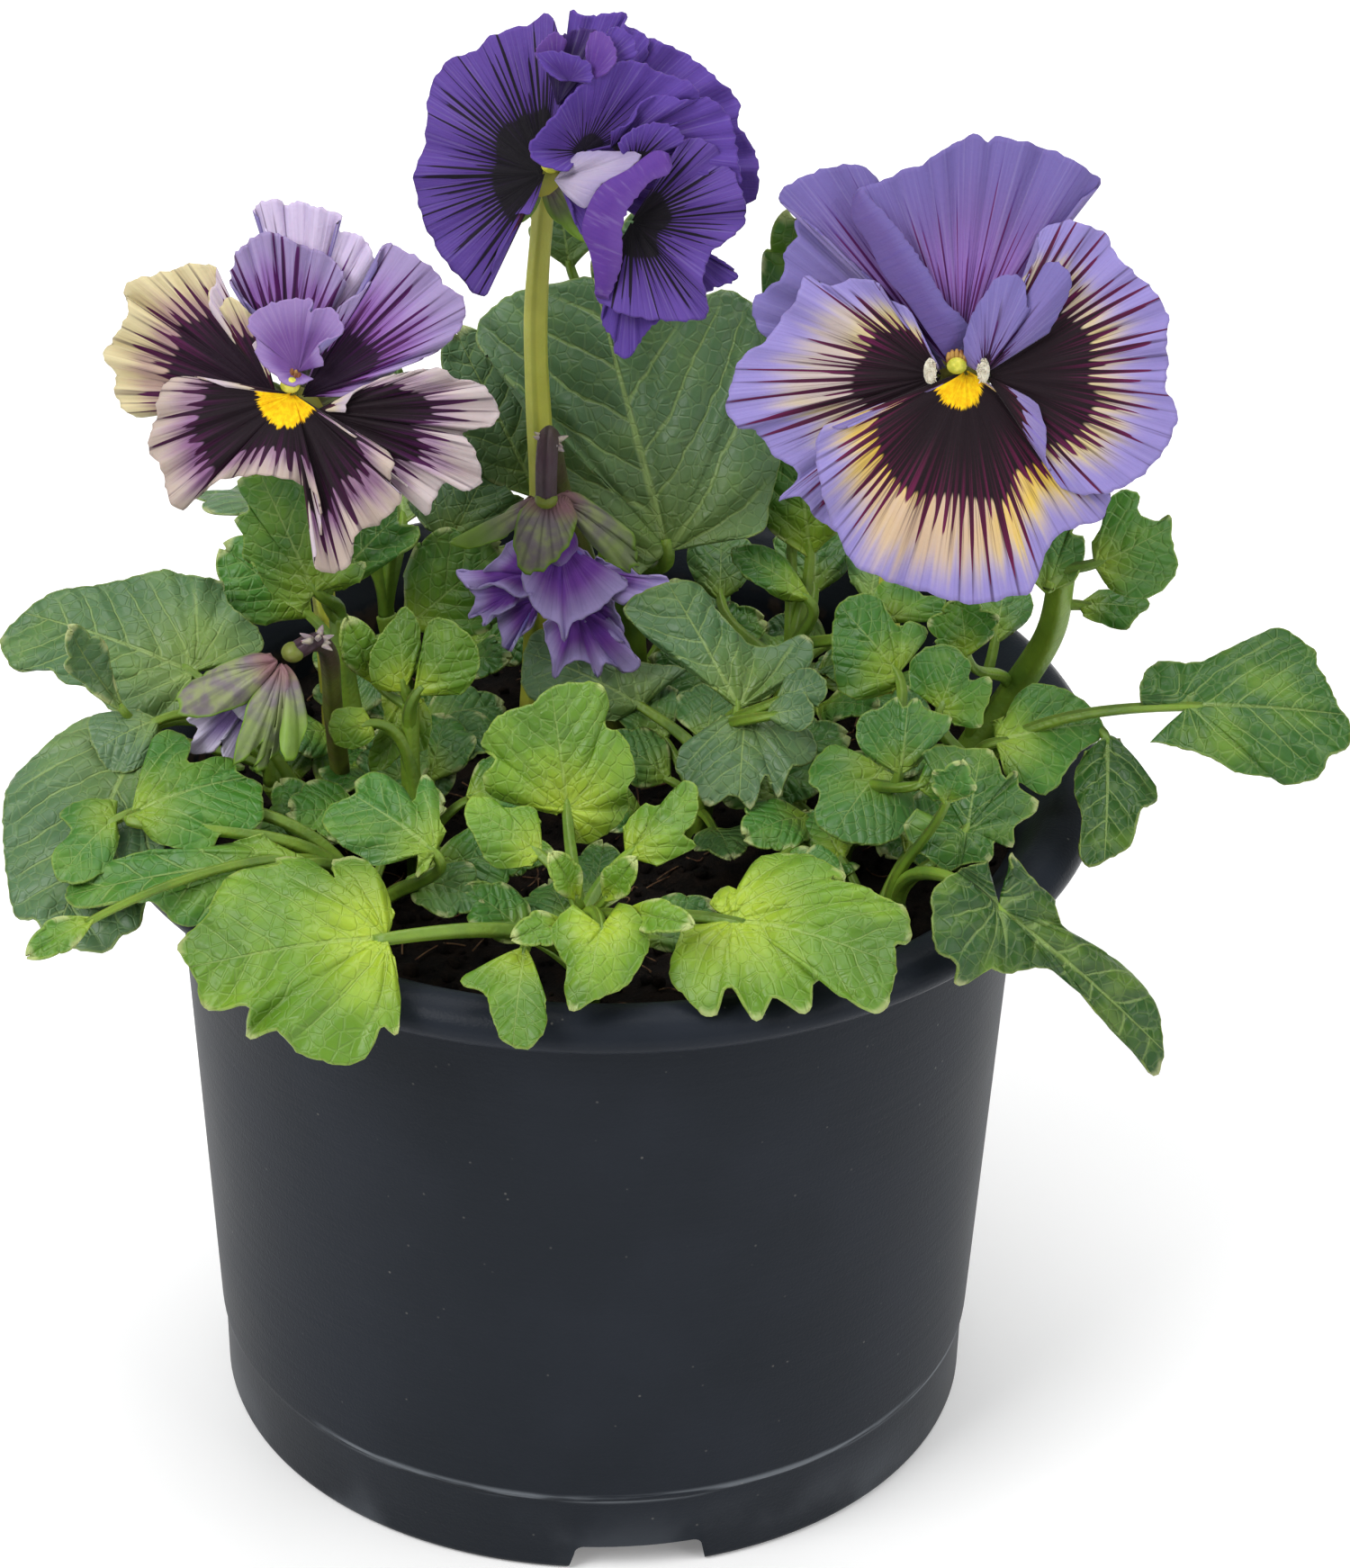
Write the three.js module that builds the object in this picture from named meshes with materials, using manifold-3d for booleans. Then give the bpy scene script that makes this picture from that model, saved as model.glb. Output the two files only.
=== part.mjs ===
// Potted horned violet: a plastic nursery pot, its peat, leafy shoots, three blooms and three buds.
// Millimetres, +Z up, origin at the middle of the pot's underside, -Y is the front.
import * as THREE from 'three';
import Module from 'manifold-3d';

// ---- Driving dimensions -------------------------------------------------------------------
const POT_HEIGHT = 96;
const LIP_RADIUS = 65;
const WALL_TOP_RADIUS = 55.3;
const SEAM_HEIGHT = 12;
const SEAM_RADIUS = 50.2;
const FOOT_RADIUS = 49.5;
const FOOT_WIDTH = 4.6;
const POT_WALL = 1.4;
const FLOOR_GAP = 4;
const PAD_RADIUS = 19;
const POT_SIDES = 32;
const NOTCH_COUNT = 3;
const NOTCH_WIDTH = 18;
const NOTCH_HEIGHT = 3.9;
const NOTCH_TURN = -82;
const DRAIN_RADIUS = 3.5;
const DRAIN_CIRCLE = 34;
const DRAIN_COUNT = 5;
const SOIL_TOP = 84;
const SOIL_BUMP = 1.1;
const SOIL_SIDES = 28;
const SEAT_GAP = 0.3;
const HOLE_GAP = 0.6;
const MERGE_TOLERANCE = 0.25;
const WELD_LENGTH = 0.04;
const STEM_SIDES = 5;
const ROOT_DEPTH = 12;
const LEAF_THICKNESS = 0.7;
const PETAL_THICKNESS = 0.8;
const LEAN_FORWARD = 0.06;
const LEAN_BACK = 0.03;
const STALK_SIDES = 3;
const STALK_BITE = 0.04;
const ROOT_SPREAD = 0.35;
const PETIOLE_RADIUS = 0.75;
const FAN_RING = 0.45;
const LEAF_RIPPLES = 2.4;

// ---- The front view the leaves are drawn in ------------------------------------------------
const EYE = [9.8, -792, 585.3];
const EYE_RIGHT = [1, 0.009, 0.015];
const EYE_UP = [-0.017, 0.53, 0.848];
const EYE_AWAY = [0, 0.848, -0.53];
const SHEET_MIDDLE = [750, 871];
const SHEET_REACH = 8000;

// ---- Colours ------------------------------------------------------------------------------
const POT_BLACK = { color: 0x2b2e33, roughness: 0.5, metalness: 0 };
const PEAT_BROWN = { color: 0x241a14, roughness: 1, metalness: 0 };
const YOUNG_GREEN = { color: 0x84ad3a, roughness: 0.6, metalness: 0 };
const MID_GREEN = { color: 0x4f8a3c, roughness: 0.6, metalness: 0 };
const OLD_GREEN = { color: 0x48684a, roughness: 0.6, metalness: 0 };
const STALK_GREEN = { color: 0x93a743, roughness: 0.5, metalness: 0 };
const LAVENDER = { color: 0x7d6cc4, roughness: 0.7, metalness: 0 };
const VIOLET = { color: 0x4b3396, roughness: 0.7, metalness: 0 };
const PALE_LILAC = { color: 0xa98cc4, roughness: 0.7, metalness: 0 };
const BUD_CREAM = { color: 0xdfe3a4, roughness: 0.6, metalness: 0 };

// ---- Leafy shoots ---------------------------------------------------------------------------
// Each shoot has one stem, given by the points it passes through from the peat up, and its leaves.
// A leaf grows from `at`, a fraction of the way up the stem, and its upper side looks along `face`.
// A leaf seen from the front is drawn as it looks from EYE, on a sheet SHEET_REACH squares away:
// `foot` is where its petiole meets the blade, `height` is the foot's height above the ground, and
// `outline` goes round the margin with the blade on its left. `arch` lifts the blade midway out,
// `wave` ripples its margin and `thick` is the radius of its petiole.
// A leaf further back runs from `from` to `to`: `wide` is its width, `peak` is how far out it is
// widest, and each side has `lobes` lobes cut in by the fraction `cut`. `arch` lifts the middle of
// its midrib, `cup` lifts its sides, `wave` ripples its margin and `heart` pushes its first lobes back.
const SHOOTS = [
  {
    name: 'front_rosette',
    finish: YOUNG_GREEN,
    stem: [[-1, -43, 73], [-1, -43, 87], [-1.5, -47, 95], [-1, -50, 101]],
    thick: 2,
    leaves: [
      {
        at: 0.8, foot: [630, 899], height: 107, face: [0.1, -0.9, 0.45], thick: 1, arch: 1.2, wave: 0.5,
        outline: [[630, 933], [652, 937], [688, 914], [699, 896], [696, 878], [705, 860],
          [701, 837], [690, 815], [672, 806], [676, 784], [669, 762], [642, 758], [610, 765],
          [592, 780], [569, 788], [552, 797], [535, 828], [550, 842], [537, 863], [545, 882],
          [596, 899], [618, 905]],
      },
      {
        at: 0.9, foot: [601, 950], height: 104, face: [0.2, -0.6, 0.75], thick: 1, arch: 0.8, wave: 0.4,
        outline: [[600, 913], [592, 897], [558, 899], [546, 886], [521, 888], [517, 909],
          [529, 934], [546, 961], [590, 963]],
      },
      {
        at: 0.9, foot: [696, 951], height: 105, face: [-0.2, -0.7, 0.6], thick: 1, arch: 0.8, wave: 0.4,
        outline: [[730, 962], [774, 937], [760, 928], [771, 915], [774, 874], [760, 867],
          [733, 896], [717, 894], [692, 919]],
      },
      {
        at: 1, foot: [669, 1031], height: 104.5, face: [0, -0.5, 0.85], thick: 1, arch: 1.4, wave: 0.5,
        outline: [[637, 1005], [612, 1033], [619, 1055], [630, 1074], [628, 1096], [635, 1121],
          [660, 1112], [696, 1094], [710, 1074], [721, 1051], [715, 1028], [701, 1008],
          [687, 1003]],
      },
      {
        at: 0.5, foot: [815, 1024], height: 102.5, face: [-0.1, -0.4, 0.9], thick: 1.2, arch: 1.6, wave: 0.5,
        outline: [[760, 1028], [744, 1083], [755, 1101], [790, 1125], [811, 1103], [840, 1129],
          [860, 1113], [896, 1119], [908, 1092], [937, 1108], [962, 1121], [980, 1121],
          [996, 1074], [996, 1053], [1010, 1042], [1003, 1005], [980, 1002], [960, 990],
          [924, 985], [940, 969], [899, 951], [878, 942], [842, 951], [828, 971], [817, 992],
          [806, 978], [796, 983], [790, 1010]],
      },
      {
        at: 0.4, foot: [429, 1043], height: 101.5, face: [0, -0.5, 0.85], thick: 1.3, arch: 1.6, wave: 0.6,
        outline: [[438, 1018], [428, 985], [419, 968], [400, 949], [369, 951], [372, 980],
          [342, 951], [306, 949], [312, 968], [260, 970], [240, 997], [229, 1025], [198, 1045],
          [217, 1088], [227, 1113], [277, 1122], [273, 1147], [308, 1149], [333, 1170],
          [383, 1180], [408, 1168], [425, 1145], [440, 1147], [444, 1118], [442, 1093],
          [438, 1068]],
      },
      {
        at: 0.3, foot: [583, 1053], height: 101.5, face: [0, -0.35, 0.95], thick: 1, arch: 1, wave: 0.3,
        outline: [[518, 1082], [512, 1092], [538, 1103], [546, 1130], [562, 1157], [588, 1163],
          [604, 1147], [606, 1118], [598, 1085]],
      },
      {
        at: 0.95, from: [-2, -50.5, 105], to: [-5, -51.5, 112], face: [0.3, -0.8, 0.5],
        wide: 4.5, peak: 0.55, lobes: 1, cut: 0.2, arch: 0.6, cup: 0.2, wave: 0.2, heart: 0,
      },
      {
        at: 0.95, from: [1.5, -50.5, 105], to: [5, -52.5, 112], face: [-0.3, -0.8, 0.5],
        wide: 4.5, peak: 0.55, lobes: 1, cut: 0.2, arch: 0.6, cup: 0.2, wave: 0.2, heart: 0,
      },
      {
        at: 0.95, from: [4, -53, 104.5], to: [12, -59, 107], face: [0, -0.6, 0.8],
        wide: 5, peak: 0.5, lobes: 1, cut: 0.15, arch: 0.8, cup: 0.1, wave: 0.2, heart: 0,
      },
      {
        at: 0.9, from: [-3, -54, 103.5], to: [-9.5, -58, 104], face: [0, -0.6, 0.8],
        wide: 5, peak: 0.5, lobes: 1, cut: 0.2, arch: 0.8, cup: 0.1, wave: 0.2, heart: 0,
      },
    ],
  },
  {
    name: 'front_left_shoot',
    finish: MID_GREEN,
    stem: [[-29, -30, 73], [-29, -30, 87], [-32, -31, 94]],
    thick: 1.7,
    leaves: [
      {
        at: 0.6, foot: [483, 947], height: 104, face: [0, -0.5, 0.85], thick: 1, arch: 1, wave: 0.5,
        outline: [[496, 925], [490, 915], [485, 880], [471, 859], [459, 893], [446, 872],
          [417, 857], [394, 867], [396, 884], [371, 892], [358, 913], [375, 934], [400, 951],
          [417, 961], [465, 953], [462, 972], [475, 968]],
      },
      {
        at: 1, foot: [147, 905], height: 103, face: [0, -0.4, 0.9], thick: 1, arch: 1.2, wave: 0.4,
        outline: [[157, 920], [180, 938], [217, 945], [237, 938], [246, 925], [264, 927],
          [290, 913], [292, 892], [287, 867], [262, 861], [271, 847], [246, 838], [225, 847],
          [208, 852], [212, 830], [200, 813], [179, 813], [156, 862]],
      },
      {
        at: 0.82, foot: [128, 910], height: 101.8, face: [0.05, -0.4, 0.9], thick: 1, arch: 0.8, wave: 0.3,
        outline: [[131, 890], [100, 888], [67, 901], [79, 926], [58, 951], [62, 972], [87, 982],
          [117, 967], [133, 930]],
      },
      {
        at: 0.9, foot: [345, 958], height: 99.5, face: [0, -0.4, 0.9], thick: 1, arch: 1.5, wave: 0.5,
        outline: [[292, 932], [250, 938], [187, 947], [125, 955], [73, 984], [83, 1005],
          [150, 1005], [168, 1001], [200, 1022], [229, 1022], [290, 1000], [330, 982]],
      },
      {
        at: 0.75, from: [-62, -46, 97.8], to: [-69.5, -50, 95], face: [0.2, -0.4, 0.9],
        wide: 5, peak: 0.5, lobes: 1, cut: 0.15, arch: 0.8, cup: 0.1, wave: 0.2, heart: 0,
      },
    ],
  },
  {
    name: 'left_shoot',
    finish: OLD_GREEN,
    stem: [[-38, -8, 73], [-38, -8, 87], [-42, -9, 95]],
    thick: 1.9,
    leaves: [
      {
        at: 1, foot: [213, 747], height: 108, face: [0.05, -0.5, 0.85], thick: 1, arch: 1.2, wave: 0.5,
        outline: [[238, 743], [267, 734], [292, 717], [283, 692], [262, 680], [250, 655],
          [246, 638], [221, 647], [200, 638], [183, 634], [158, 642], [100, 651], [50, 663],
          [8, 697], [0, 709], [17, 742], [54, 747], [71, 759], [100, 767], [121, 788], [146, 795],
          [179, 799], [204, 797], [211, 768]],
      },
      {
        at: 0.9, foot: [160, 815], height: 105, face: [-0.1, -0.42, 0.9], thick: 1, arch: 1.2, wave: 0.4,
        outline: [[142, 797], [100, 797], [71, 813], [50, 830], [17, 855], [8, 880], [4, 922],
          [8, 976], [17, 1013], [42, 1026], [54, 1042], [83, 1051], [117, 1055], [133, 1042],
          [154, 1030], [160, 1013], [185, 940], [190, 870], [179, 830]],
      },
      {
        at: 0.8, from: [-60, -14, 108], to: [-66, -19, 123], face: [0.4, -0.85, 0.2],
        wide: 6, peak: 0.6, lobes: 2, cut: 0.3, arch: -2, cup: 0.2, wave: 0.6, heart: 0,
      },
      {
        at: 0.7, foot: [175, 800], height: 107, face: [0, -0.5, 0.85], thick: 1, arch: 0.8, wave: 0.3,
        outline: [[155, 790], [100, 797], [104, 830], [121, 855], [146, 857], [175, 830]],
      },
    ],
  },
  {
    name: 'inner_left_shoot',
    finish: YOUNG_GREEN,
    stem: [[-23, -14, 73], [-23, -14, 87], [-24, -12, 100], [-24, -10, 108]],
    thick: 1.6,
    leaves: [
      {
        at: 1, foot: [449, 767], height: 110, face: [0.1, -0.9, 0.4], thick: 1, arch: 0.6, wave: 0.3,
        outline: [[462, 740], [467, 713], [465, 692], [450, 674], [437, 688], [417, 713],
          [410, 738], [417, 763], [433, 768]],
      },
      {
        at: 0.9, foot: [461, 772], height: 110, face: [-0.1, -0.9, 0.4], thick: 1, arch: 0.6, wave: 0.3,
        outline: [[512, 772], [529, 751], [533, 726], [521, 705], [496, 688], [479, 688],
          [470, 726], [465, 747]],
      },
      {
        at: 0.6, foot: [450, 771], height: 107, face: [0, -0.8, 0.5], thick: 1, arch: 0.6, wave: 0.3,
        outline: [[423, 772], [427, 800], [410, 838], [412, 857], [433, 851], [450, 834],
          [471, 834], [479, 801], [471, 776]],
      },
      {
        at: 0.55, foot: [412, 802], height: 106.5, face: [0.1, -0.8, 0.5], thick: 1, arch: 0.5, wave: 0.3,
        outline: [[404, 786], [375, 788], [365, 805], [375, 828], [400, 830], [417, 819]],
      },
      {
        at: 0.95, from: [-28.5, -7, 109], to: [-32, -6.5, 118], face: [0.1, -0.9, 0.4],
        wide: 5.5, peak: 0.55, lobes: 1, cut: 0.1, arch: 0.8, cup: 0.1, wave: 0.3, heart: 0,
      },
    ],
  },
  {
    name: 'left_back_shoot',
    finish: MID_GREEN,
    stem: [[-31, 6, 73], [-31, 6, 87], [-33, 7, 100], [-34, 8, 110]],
    thick: 1.8,
    leaves: [
      {
        at: 1, foot: [350, 657], height: 116.5, face: [0.1, -0.95, 0.3], thick: 1, arch: 1, wave: 0.5,
        outline: [[400, 646], [407, 625], [368, 628], [369, 577], [354, 537], [302, 525],
          [264, 534], [276, 563], [261, 577], [271, 596], [271, 620], [283, 628], [297, 653],
          [316, 668], [335, 680]],
      },
      {
        at: 0.95, foot: [362, 657], height: 114, face: [-0.1, -0.8, 0.6], thick: 1, arch: 0.8, wave: 0.4,
        outline: [[383, 655], [430, 625], [464, 601], [464, 584], [445, 582], [440, 553],
          [407, 558], [380, 600], [366, 632]],
      },
      {
        at: 0.7, from: [-38, 13, 107], to: [-49, 16, 115], face: [0, -0.8, 0.6],
        wide: 13, peak: 0.55, lobes: 3, cut: 0.08, arch: 1.6, cup: -0.05, wave: 0.4, heart: 0,
      },
      {
        at: 0.8, from: [-25.5, 12, 106], to: [-13.5, 14, 117], face: [0.1, -0.8, 0.6],
        wide: 15, peak: 0.55, lobes: 3, cut: 0.08, arch: 1.5, cup: -0.05, wave: 0.4, heart: 0.02,
      },
    ],
  },
  {
    name: 'tall_shoot',
    finish: OLD_GREEN,
    stem: [[4, 26, 73], [4, 26, 87], [3, 28, 105], [1, 33, 122], [-2, 36, 140]],
    thick: 2.2,
    leaves: [
      {
        at: 0.45, foot: [742, 612], height: 116, face: [0, -0.9, 0.45], thick: 1.5, arch: 2, wave: 0.7,
        outline: [[830, 596], [850, 588], [854, 563], [868, 500], [866, 430], [852, 377],
          [845, 349], [826, 330], [802, 322], [735, 349], [692, 320], [654, 308], [616, 315],
          [573, 325], [545, 344], [530, 363], [530, 382], [545, 400], [592, 470], [625, 540],
          [668, 600], [711, 638]],
      },
      {
        at: 0.6, from: [-9, 27, 118], to: [-19.5, 33, 138], face: [0, -0.85, 0.5],
        wide: 15, peak: 0.5, lobes: 3, cut: 0.12, arch: 1.2, cup: 0.08, wave: 0.6, heart: 0.05,
      },
      {
        at: 0.95, from: [-5, 37, 146], to: [-7, 34.5, 161], face: [0, -0.95, 0.3],
        wide: 9, peak: 0.5, lobes: 3, cut: 0.2, arch: 1, cup: 0.1, wave: 0.5, heart: 0,
      },
      {
        at: 0.9, from: [2, 40, 136], to: [5, 41, 152], face: [0, -0.9, 0.4],
        wide: 12, peak: 0.5, lobes: 3, cut: 0.15, arch: 1, cup: 0.1, wave: 0.5, heart: 0,
      },
      {
        at: 0.5, foot: [500, 602], height: 114, face: [0.1, -0.75, 0.65], thick: 1, arch: 0.8, wave: 0.4,
        outline: [[554, 587], [583, 553], [569, 549], [554, 520], [521, 510], [488, 525],
          [454, 553], [473, 587]],
      },
    ],
  },
  {
    name: 'centre_shoot',
    finish: OLD_GREEN,
    stem: [[13, -3, 73], [13, -3, 87], [15, -5, 98]],
    thick: 1.9,
    leaves: [
      {
        at: 1, foot: [821, 787], height: 107, face: [0.1, -0.65, 0.75], thick: 1, arch: 1, wave: 0.5,
        outline: [[851, 778], [878, 755], [901, 737], [903, 715], [896, 703], [860, 717],
          [833, 717], [815, 701], [796, 678], [778, 651], [760, 646], [701, 665], [694, 678],
          [762, 741], [795, 770]],
      },
      {
        at: 1, foot: [828, 793], height: 106, face: [0, -0.5, 0.85], thick: 1, arch: 1, wave: 0.5,
        outline: [[801, 796], [778, 815], [755, 833], [751, 851], [767, 874], [787, 894],
          [815, 887], [835, 896], [851, 862], [865, 885], [880, 856], [896, 851], [908, 833],
          [901, 815], [880, 806], [851, 797]],
      },
      {
        at: 1, foot: [852, 796], height: 108.5, face: [-0.2, -0.6, 0.75], thick: 1, arch: 0.5, wave: 0.2,
        outline: [[874, 812], [896, 810], [905, 792], [892, 769], [878, 769], [857, 783]],
      },
      {
        at: 1, foot: [862, 780], height: 109.5, face: [-0.2, -0.7, 0.65], thick: 1, arch: 0.5, wave: 0.2,
        outline: [[910, 785], [919, 769], [915, 753], [896, 742], [874, 751]],
      },
      {
        at: 0.8, foot: [712, 785], height: 98.5, face: [0, -0.55, 0.8], thick: 1, arch: 1.5, wave: 0.4,
        outline: [[765, 742], [710, 735], [650, 715], [596, 701], [580, 742], [587, 774],
          [683, 801]],
      },
    ],
  },
  {
    name: 'middle_back_shoot',
    finish: MID_GREEN,
    stem: [[23, 17, 73], [23, 17, 87], [25, 17, 100]],
    thick: 1.7,
    leaves: [
      {
        at: 1, foot: [902, 668], height: 108.5, face: [0.1, -0.6, 0.8], thick: 1, arch: 0.8, wave: 0.3,
        outline: [[875, 622], [851, 608], [812, 610], [826, 640], [851, 655], [878, 668]],
      },
      {
        at: 1, from: [27, 23, 112], to: [24.5, 28, 131], face: [-0.1, -0.85, 0.5],
        wide: 15, peak: 0.5, lobes: 3, cut: 0.2, arch: 1.4, cup: 0.1, wave: 0.7, heart: 0.05,
      },
      {
        at: 0.9, from: [24.5, 33, 125], to: [24, 34.5, 155], face: [-0.7, -0.7, 0.2],
        wide: 9, peak: 0.6, lobes: 3, cut: 0.3, arch: 1.5, cup: 0.3, wave: 1, heart: 0,
      },
      {
        at: 0.9, foot: [985, 692], height: 110.5, face: [-0.1, -0.6, 0.8], thick: 1, arch: 0.6, wave: 0.3,
        outline: [[1049, 691], [1049, 664], [1026, 662], [1008, 646], [979, 648], [968, 670]],
      },
    ],
  },
  {
    name: 'right_inner_shoot',
    finish: MID_GREEN,
    stem: [[31, -13, 73], [31, -13, 87], [33, -14, 96]],
    thick: 1.8,
    leaves: [
      {
        at: 1, foot: [998, 748], height: 108, face: [0, -0.75, 0.65], thick: 1, arch: 1, wave: 0.4,
        outline: [[1015, 728], [1030, 701], [1010, 690], [998, 698], [987, 683], [978, 665],
          [955, 660], [933, 671], [926, 692], [924, 715], [926, 742], [933, 767], [951, 776],
          [998, 766]],
      },
      {
        at: 1, foot: [1000, 860], height: 106.5, face: [0.1, -0.85, 0.5], thick: 1, arch: 0.8, wave: 0.4,
        outline: [[1019, 851], [1038, 826], [1058, 799], [1028, 787], [1017, 774], [1005, 787],
          [996, 774], [980, 785], [958, 794], [951, 812], [955, 828], [970, 845]],
      },
      {
        at: 1, foot: [1019, 874], height: 105.5, face: [0.1, -0.8, 0.5], thick: 1, arch: 0.4, wave: 0.2,
        outline: [[1037, 890], [1060, 885], [1062, 869], [1049, 840], [1028, 849]],
      },
      {
        at: 0.9, foot: [980, 856], height: 103.5, face: [0, -0.45, 0.9], thick: 1, arch: 1, wave: 0.4,
        outline: [[950, 838], [924, 828], [901, 851], [901, 874], [910, 883], [905, 910],
          [924, 928], [960, 940], [987, 937], [1008, 919], [1015, 892], [1008, 869]],
      },
      {
        at: 0.5, from: [25, -34, 98], to: [31, -33, 97.5], face: [0, -0.4, 0.9],
        wide: 9, peak: 0.5, lobes: 1, cut: 0.06, arch: 0.8, cup: 0.05, wave: 0.2, heart: 0,
      },
    ],
  },
  {
    name: 'right_shoot',
    finish: MID_GREEN,
    stem: [[46, -8, 73], [46, -8, 87], [48, -9, 97]],
    thick: 1.9,
    leaves: [
      {
        at: 1, foot: [1044, 788], height: 109.5, face: [0, -0.9, 0.45], thick: 1, arch: 0.6, wave: 0.4,
        outline: [[1060, 805], [1090, 808], [1092, 796], [1101, 769], [1101, 753], [1076, 755],
          [1078, 737], [1060, 719], [1037, 717], [1015, 730], [1010, 746], [1010, 765]],
      },
      {
        at: 1, foot: [1107, 824], height: 105, face: [0, -0.5, 0.85], thick: 1, arch: 0.8, wave: 0.4,
        outline: [[1113, 848], [1120, 864], [1135, 871], [1158, 882], [1174, 875], [1185, 857],
          [1204, 832], [1222, 821], [1224, 803], [1201, 775], [1185, 769], [1149, 762],
          [1131, 773], [1116, 798], [1101, 800]],
      },
      {
        at: 0.9, foot: [1230, 818], height: 105.5, face: [0.1, -0.4, 0.9], thick: 1, arch: 1, wave: 0.3,
        outline: [[1206, 836], [1197, 853], [1195, 875], [1201, 907], [1201, 953], [1215, 962],
          [1235, 953], [1258, 935], [1265, 907], [1285, 889], [1283, 873], [1258, 844],
          [1244, 822]],
      },
      {
        at: 0.8, foot: [1322, 785], height: 112, face: [0, -0.55, 0.85], thick: 1, arch: 1, wave: 0.5,
        outline: [[1279, 821], [1313, 832], [1349, 844], [1376, 857], [1415, 864], [1431, 870],
          [1467, 862], [1476, 844], [1497, 830], [1499, 803], [1485, 785], [1476, 760],
          [1463, 739], [1463, 721], [1445, 710], [1420, 698], [1395, 710], [1349, 730],
          [1322, 739], [1285, 735], [1267, 760], [1268, 782]],
      },
    ],
  },
  {
    name: 'front_right_shoot',
    finish: OLD_GREEN,
    stem: [[35, -30, 73], [35, -30, 87], [38, -32, 93]],
    thick: 1.8,
    leaves: [
      {
        at: 1, foot: [1110, 1010], height: 101, face: [0.45, -0.65, 0.6], thick: 1, arch: 1.2, wave: 0.5,
        outline: [[1097, 957], [1067, 966], [1038, 989], [1033, 1012], [1034, 1035], [1038, 1057],
          [1054, 1073], [1067, 1094], [1099, 1078], [1117, 1082], [1140, 1077], [1167, 1078],
          [1195, 1100], [1240, 1145], [1290, 1194], [1294, 1180], [1288, 1157], [1283, 1116],
          [1267, 1089], [1249, 1071], [1213, 1048], [1185, 1032], [1170, 1016], [1174, 1000],
          [1140, 978], [1126, 948], [1114, 968]],
      },
      {
        at: 1, foot: [1074, 924], height: 103.5, face: [0, -0.65, 0.75], thick: 1, arch: 1, wave: 0.5,
        outline: [[1019, 900], [1005, 915], [1010, 933], [1028, 951], [1051, 965], [1074, 960],
          [1101, 955], [1105, 937], [1124, 940], [1128, 919], [1151, 901], [1151, 887],
          [1133, 878], [1130, 853], [1117, 867], [1110, 851], [1101, 833], [1078, 833],
          [1042, 828], [1024, 837]],
      },
      {
        at: 0.9, from: [43.5, -35.5, 110.5], to: [45, -36.5, 117], face: [0, -0.85, 0.5],
        wide: 6, peak: 0.5, lobes: 2, cut: 0.3, arch: 0.4, cup: 0.1, wave: 0.3, heart: 0,
      },
    ],
  },
  {
    name: 'right_back_shoot',
    finish: MID_GREEN,
    stem: [[48, 12, 73], [48, 12, 87], [53.5, 12.5, 97], [58, 10, 108], [59, 6, 119]],
    thick: 2.4,
    leaves: [
      {
        at: 1, foot: [1216, 628], height: 121, face: [0.1, -0.9, 0.4], thick: 1, arch: 0.8, wave: 0.4,
        outline: [[1231, 653], [1249, 662], [1276, 664], [1299, 648], [1308, 628], [1301, 598],
          [1301, 573], [1286, 580], [1263, 568], [1265, 550], [1249, 544], [1231, 557],
          [1224, 587], [1213, 603]],
      },
      {
        at: 1, foot: [1162, 659], height: 118, face: [0.1, -0.9, 0.4], thick: 1, arch: -0.6, wave: 0.3,
        outline: [[1195, 644], [1204, 621], [1204, 598], [1190, 592], [1195, 580], [1185, 573],
          [1167, 589], [1147, 645]],
      },
      {
        at: 0.85, foot: [1199, 672], height: 113, face: [0, -0.5, 0.85], thick: 1, arch: 0.6, wave: 0.3,
        outline: [[1204, 687], [1235, 696], [1254, 698], [1263, 686], [1276, 676], [1276, 666],
          [1222, 655]],
      },
      {
        at: 0.5, from: [47, 3, 109], to: [46, 3.5, 117], face: [0, -0.9, 0.4],
        wide: 9.5, peak: 0.5, lobes: 2, cut: 0.3, arch: 0.5, cup: 0.1, wave: 0.5, heart: 0,
      },
    ],
  },
  {
    name: 'back_left_shoot',
    finish: OLD_GREEN,
    stem: [[-27, 30, 73], [-27, 30, 87], [-29, 32, 96]],
    thick: 1.9,
    leaves: [
      {
        at: 1, from: [-34, 34, 106], to: [-55, 42, 108], face: [0, 0.35, 0.95],
        wide: 19, peak: 0.5, lobes: 3, cut: 0.14, arch: 2.5, cup: -0.1, wave: 0.7, heart: 0.08,
      },
      {
        at: 1, from: [-27, 40, 106], to: [-31, 62, 106], face: [0, 0.3, 0.95],
        wide: 18, peak: 0.5, lobes: 3, cut: 0.2, arch: 2.5, cup: -0.1, wave: 0.7, heart: 0.1,
      },
      {
        at: 1, from: [-29, 37, 116], to: [-34, 42, 132], face: [0.1, 0.7, 0.7],
        wide: 14, peak: 0.5, lobes: 3, cut: 0.22, arch: 1.4, cup: 0.1, wave: 0.6, heart: 0.06,
      },
    ],
  },
  {
    name: 'back_shoot',
    finish: MID_GREEN,
    stem: [[0, 43, 73], [0, 43, 87], [0, 45, 98]],
    thick: 1.9,
    leaves: [
      {
        at: 1, from: [-3, 50, 107], to: [-6, 73, 104.5], face: [0, 0.35, 0.95],
        wide: 21, peak: 0.5, lobes: 3, cut: 0.2, arch: 3, cup: -0.1, wave: 0.8, heart: 0.12,
      },
      {
        at: 1, from: [-8, 49, 113], to: [-14, 56, 129], face: [0, 0.75, 0.65],
        wide: 14, peak: 0.5, lobes: 3, cut: 0.24, arch: 1.2, cup: 0.1, wave: 0.6, heart: 0.06,
      },
      {
        at: 1, from: [7, 49, 113.5], to: [13, 58, 129], face: [0, 0.75, 0.65],
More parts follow.
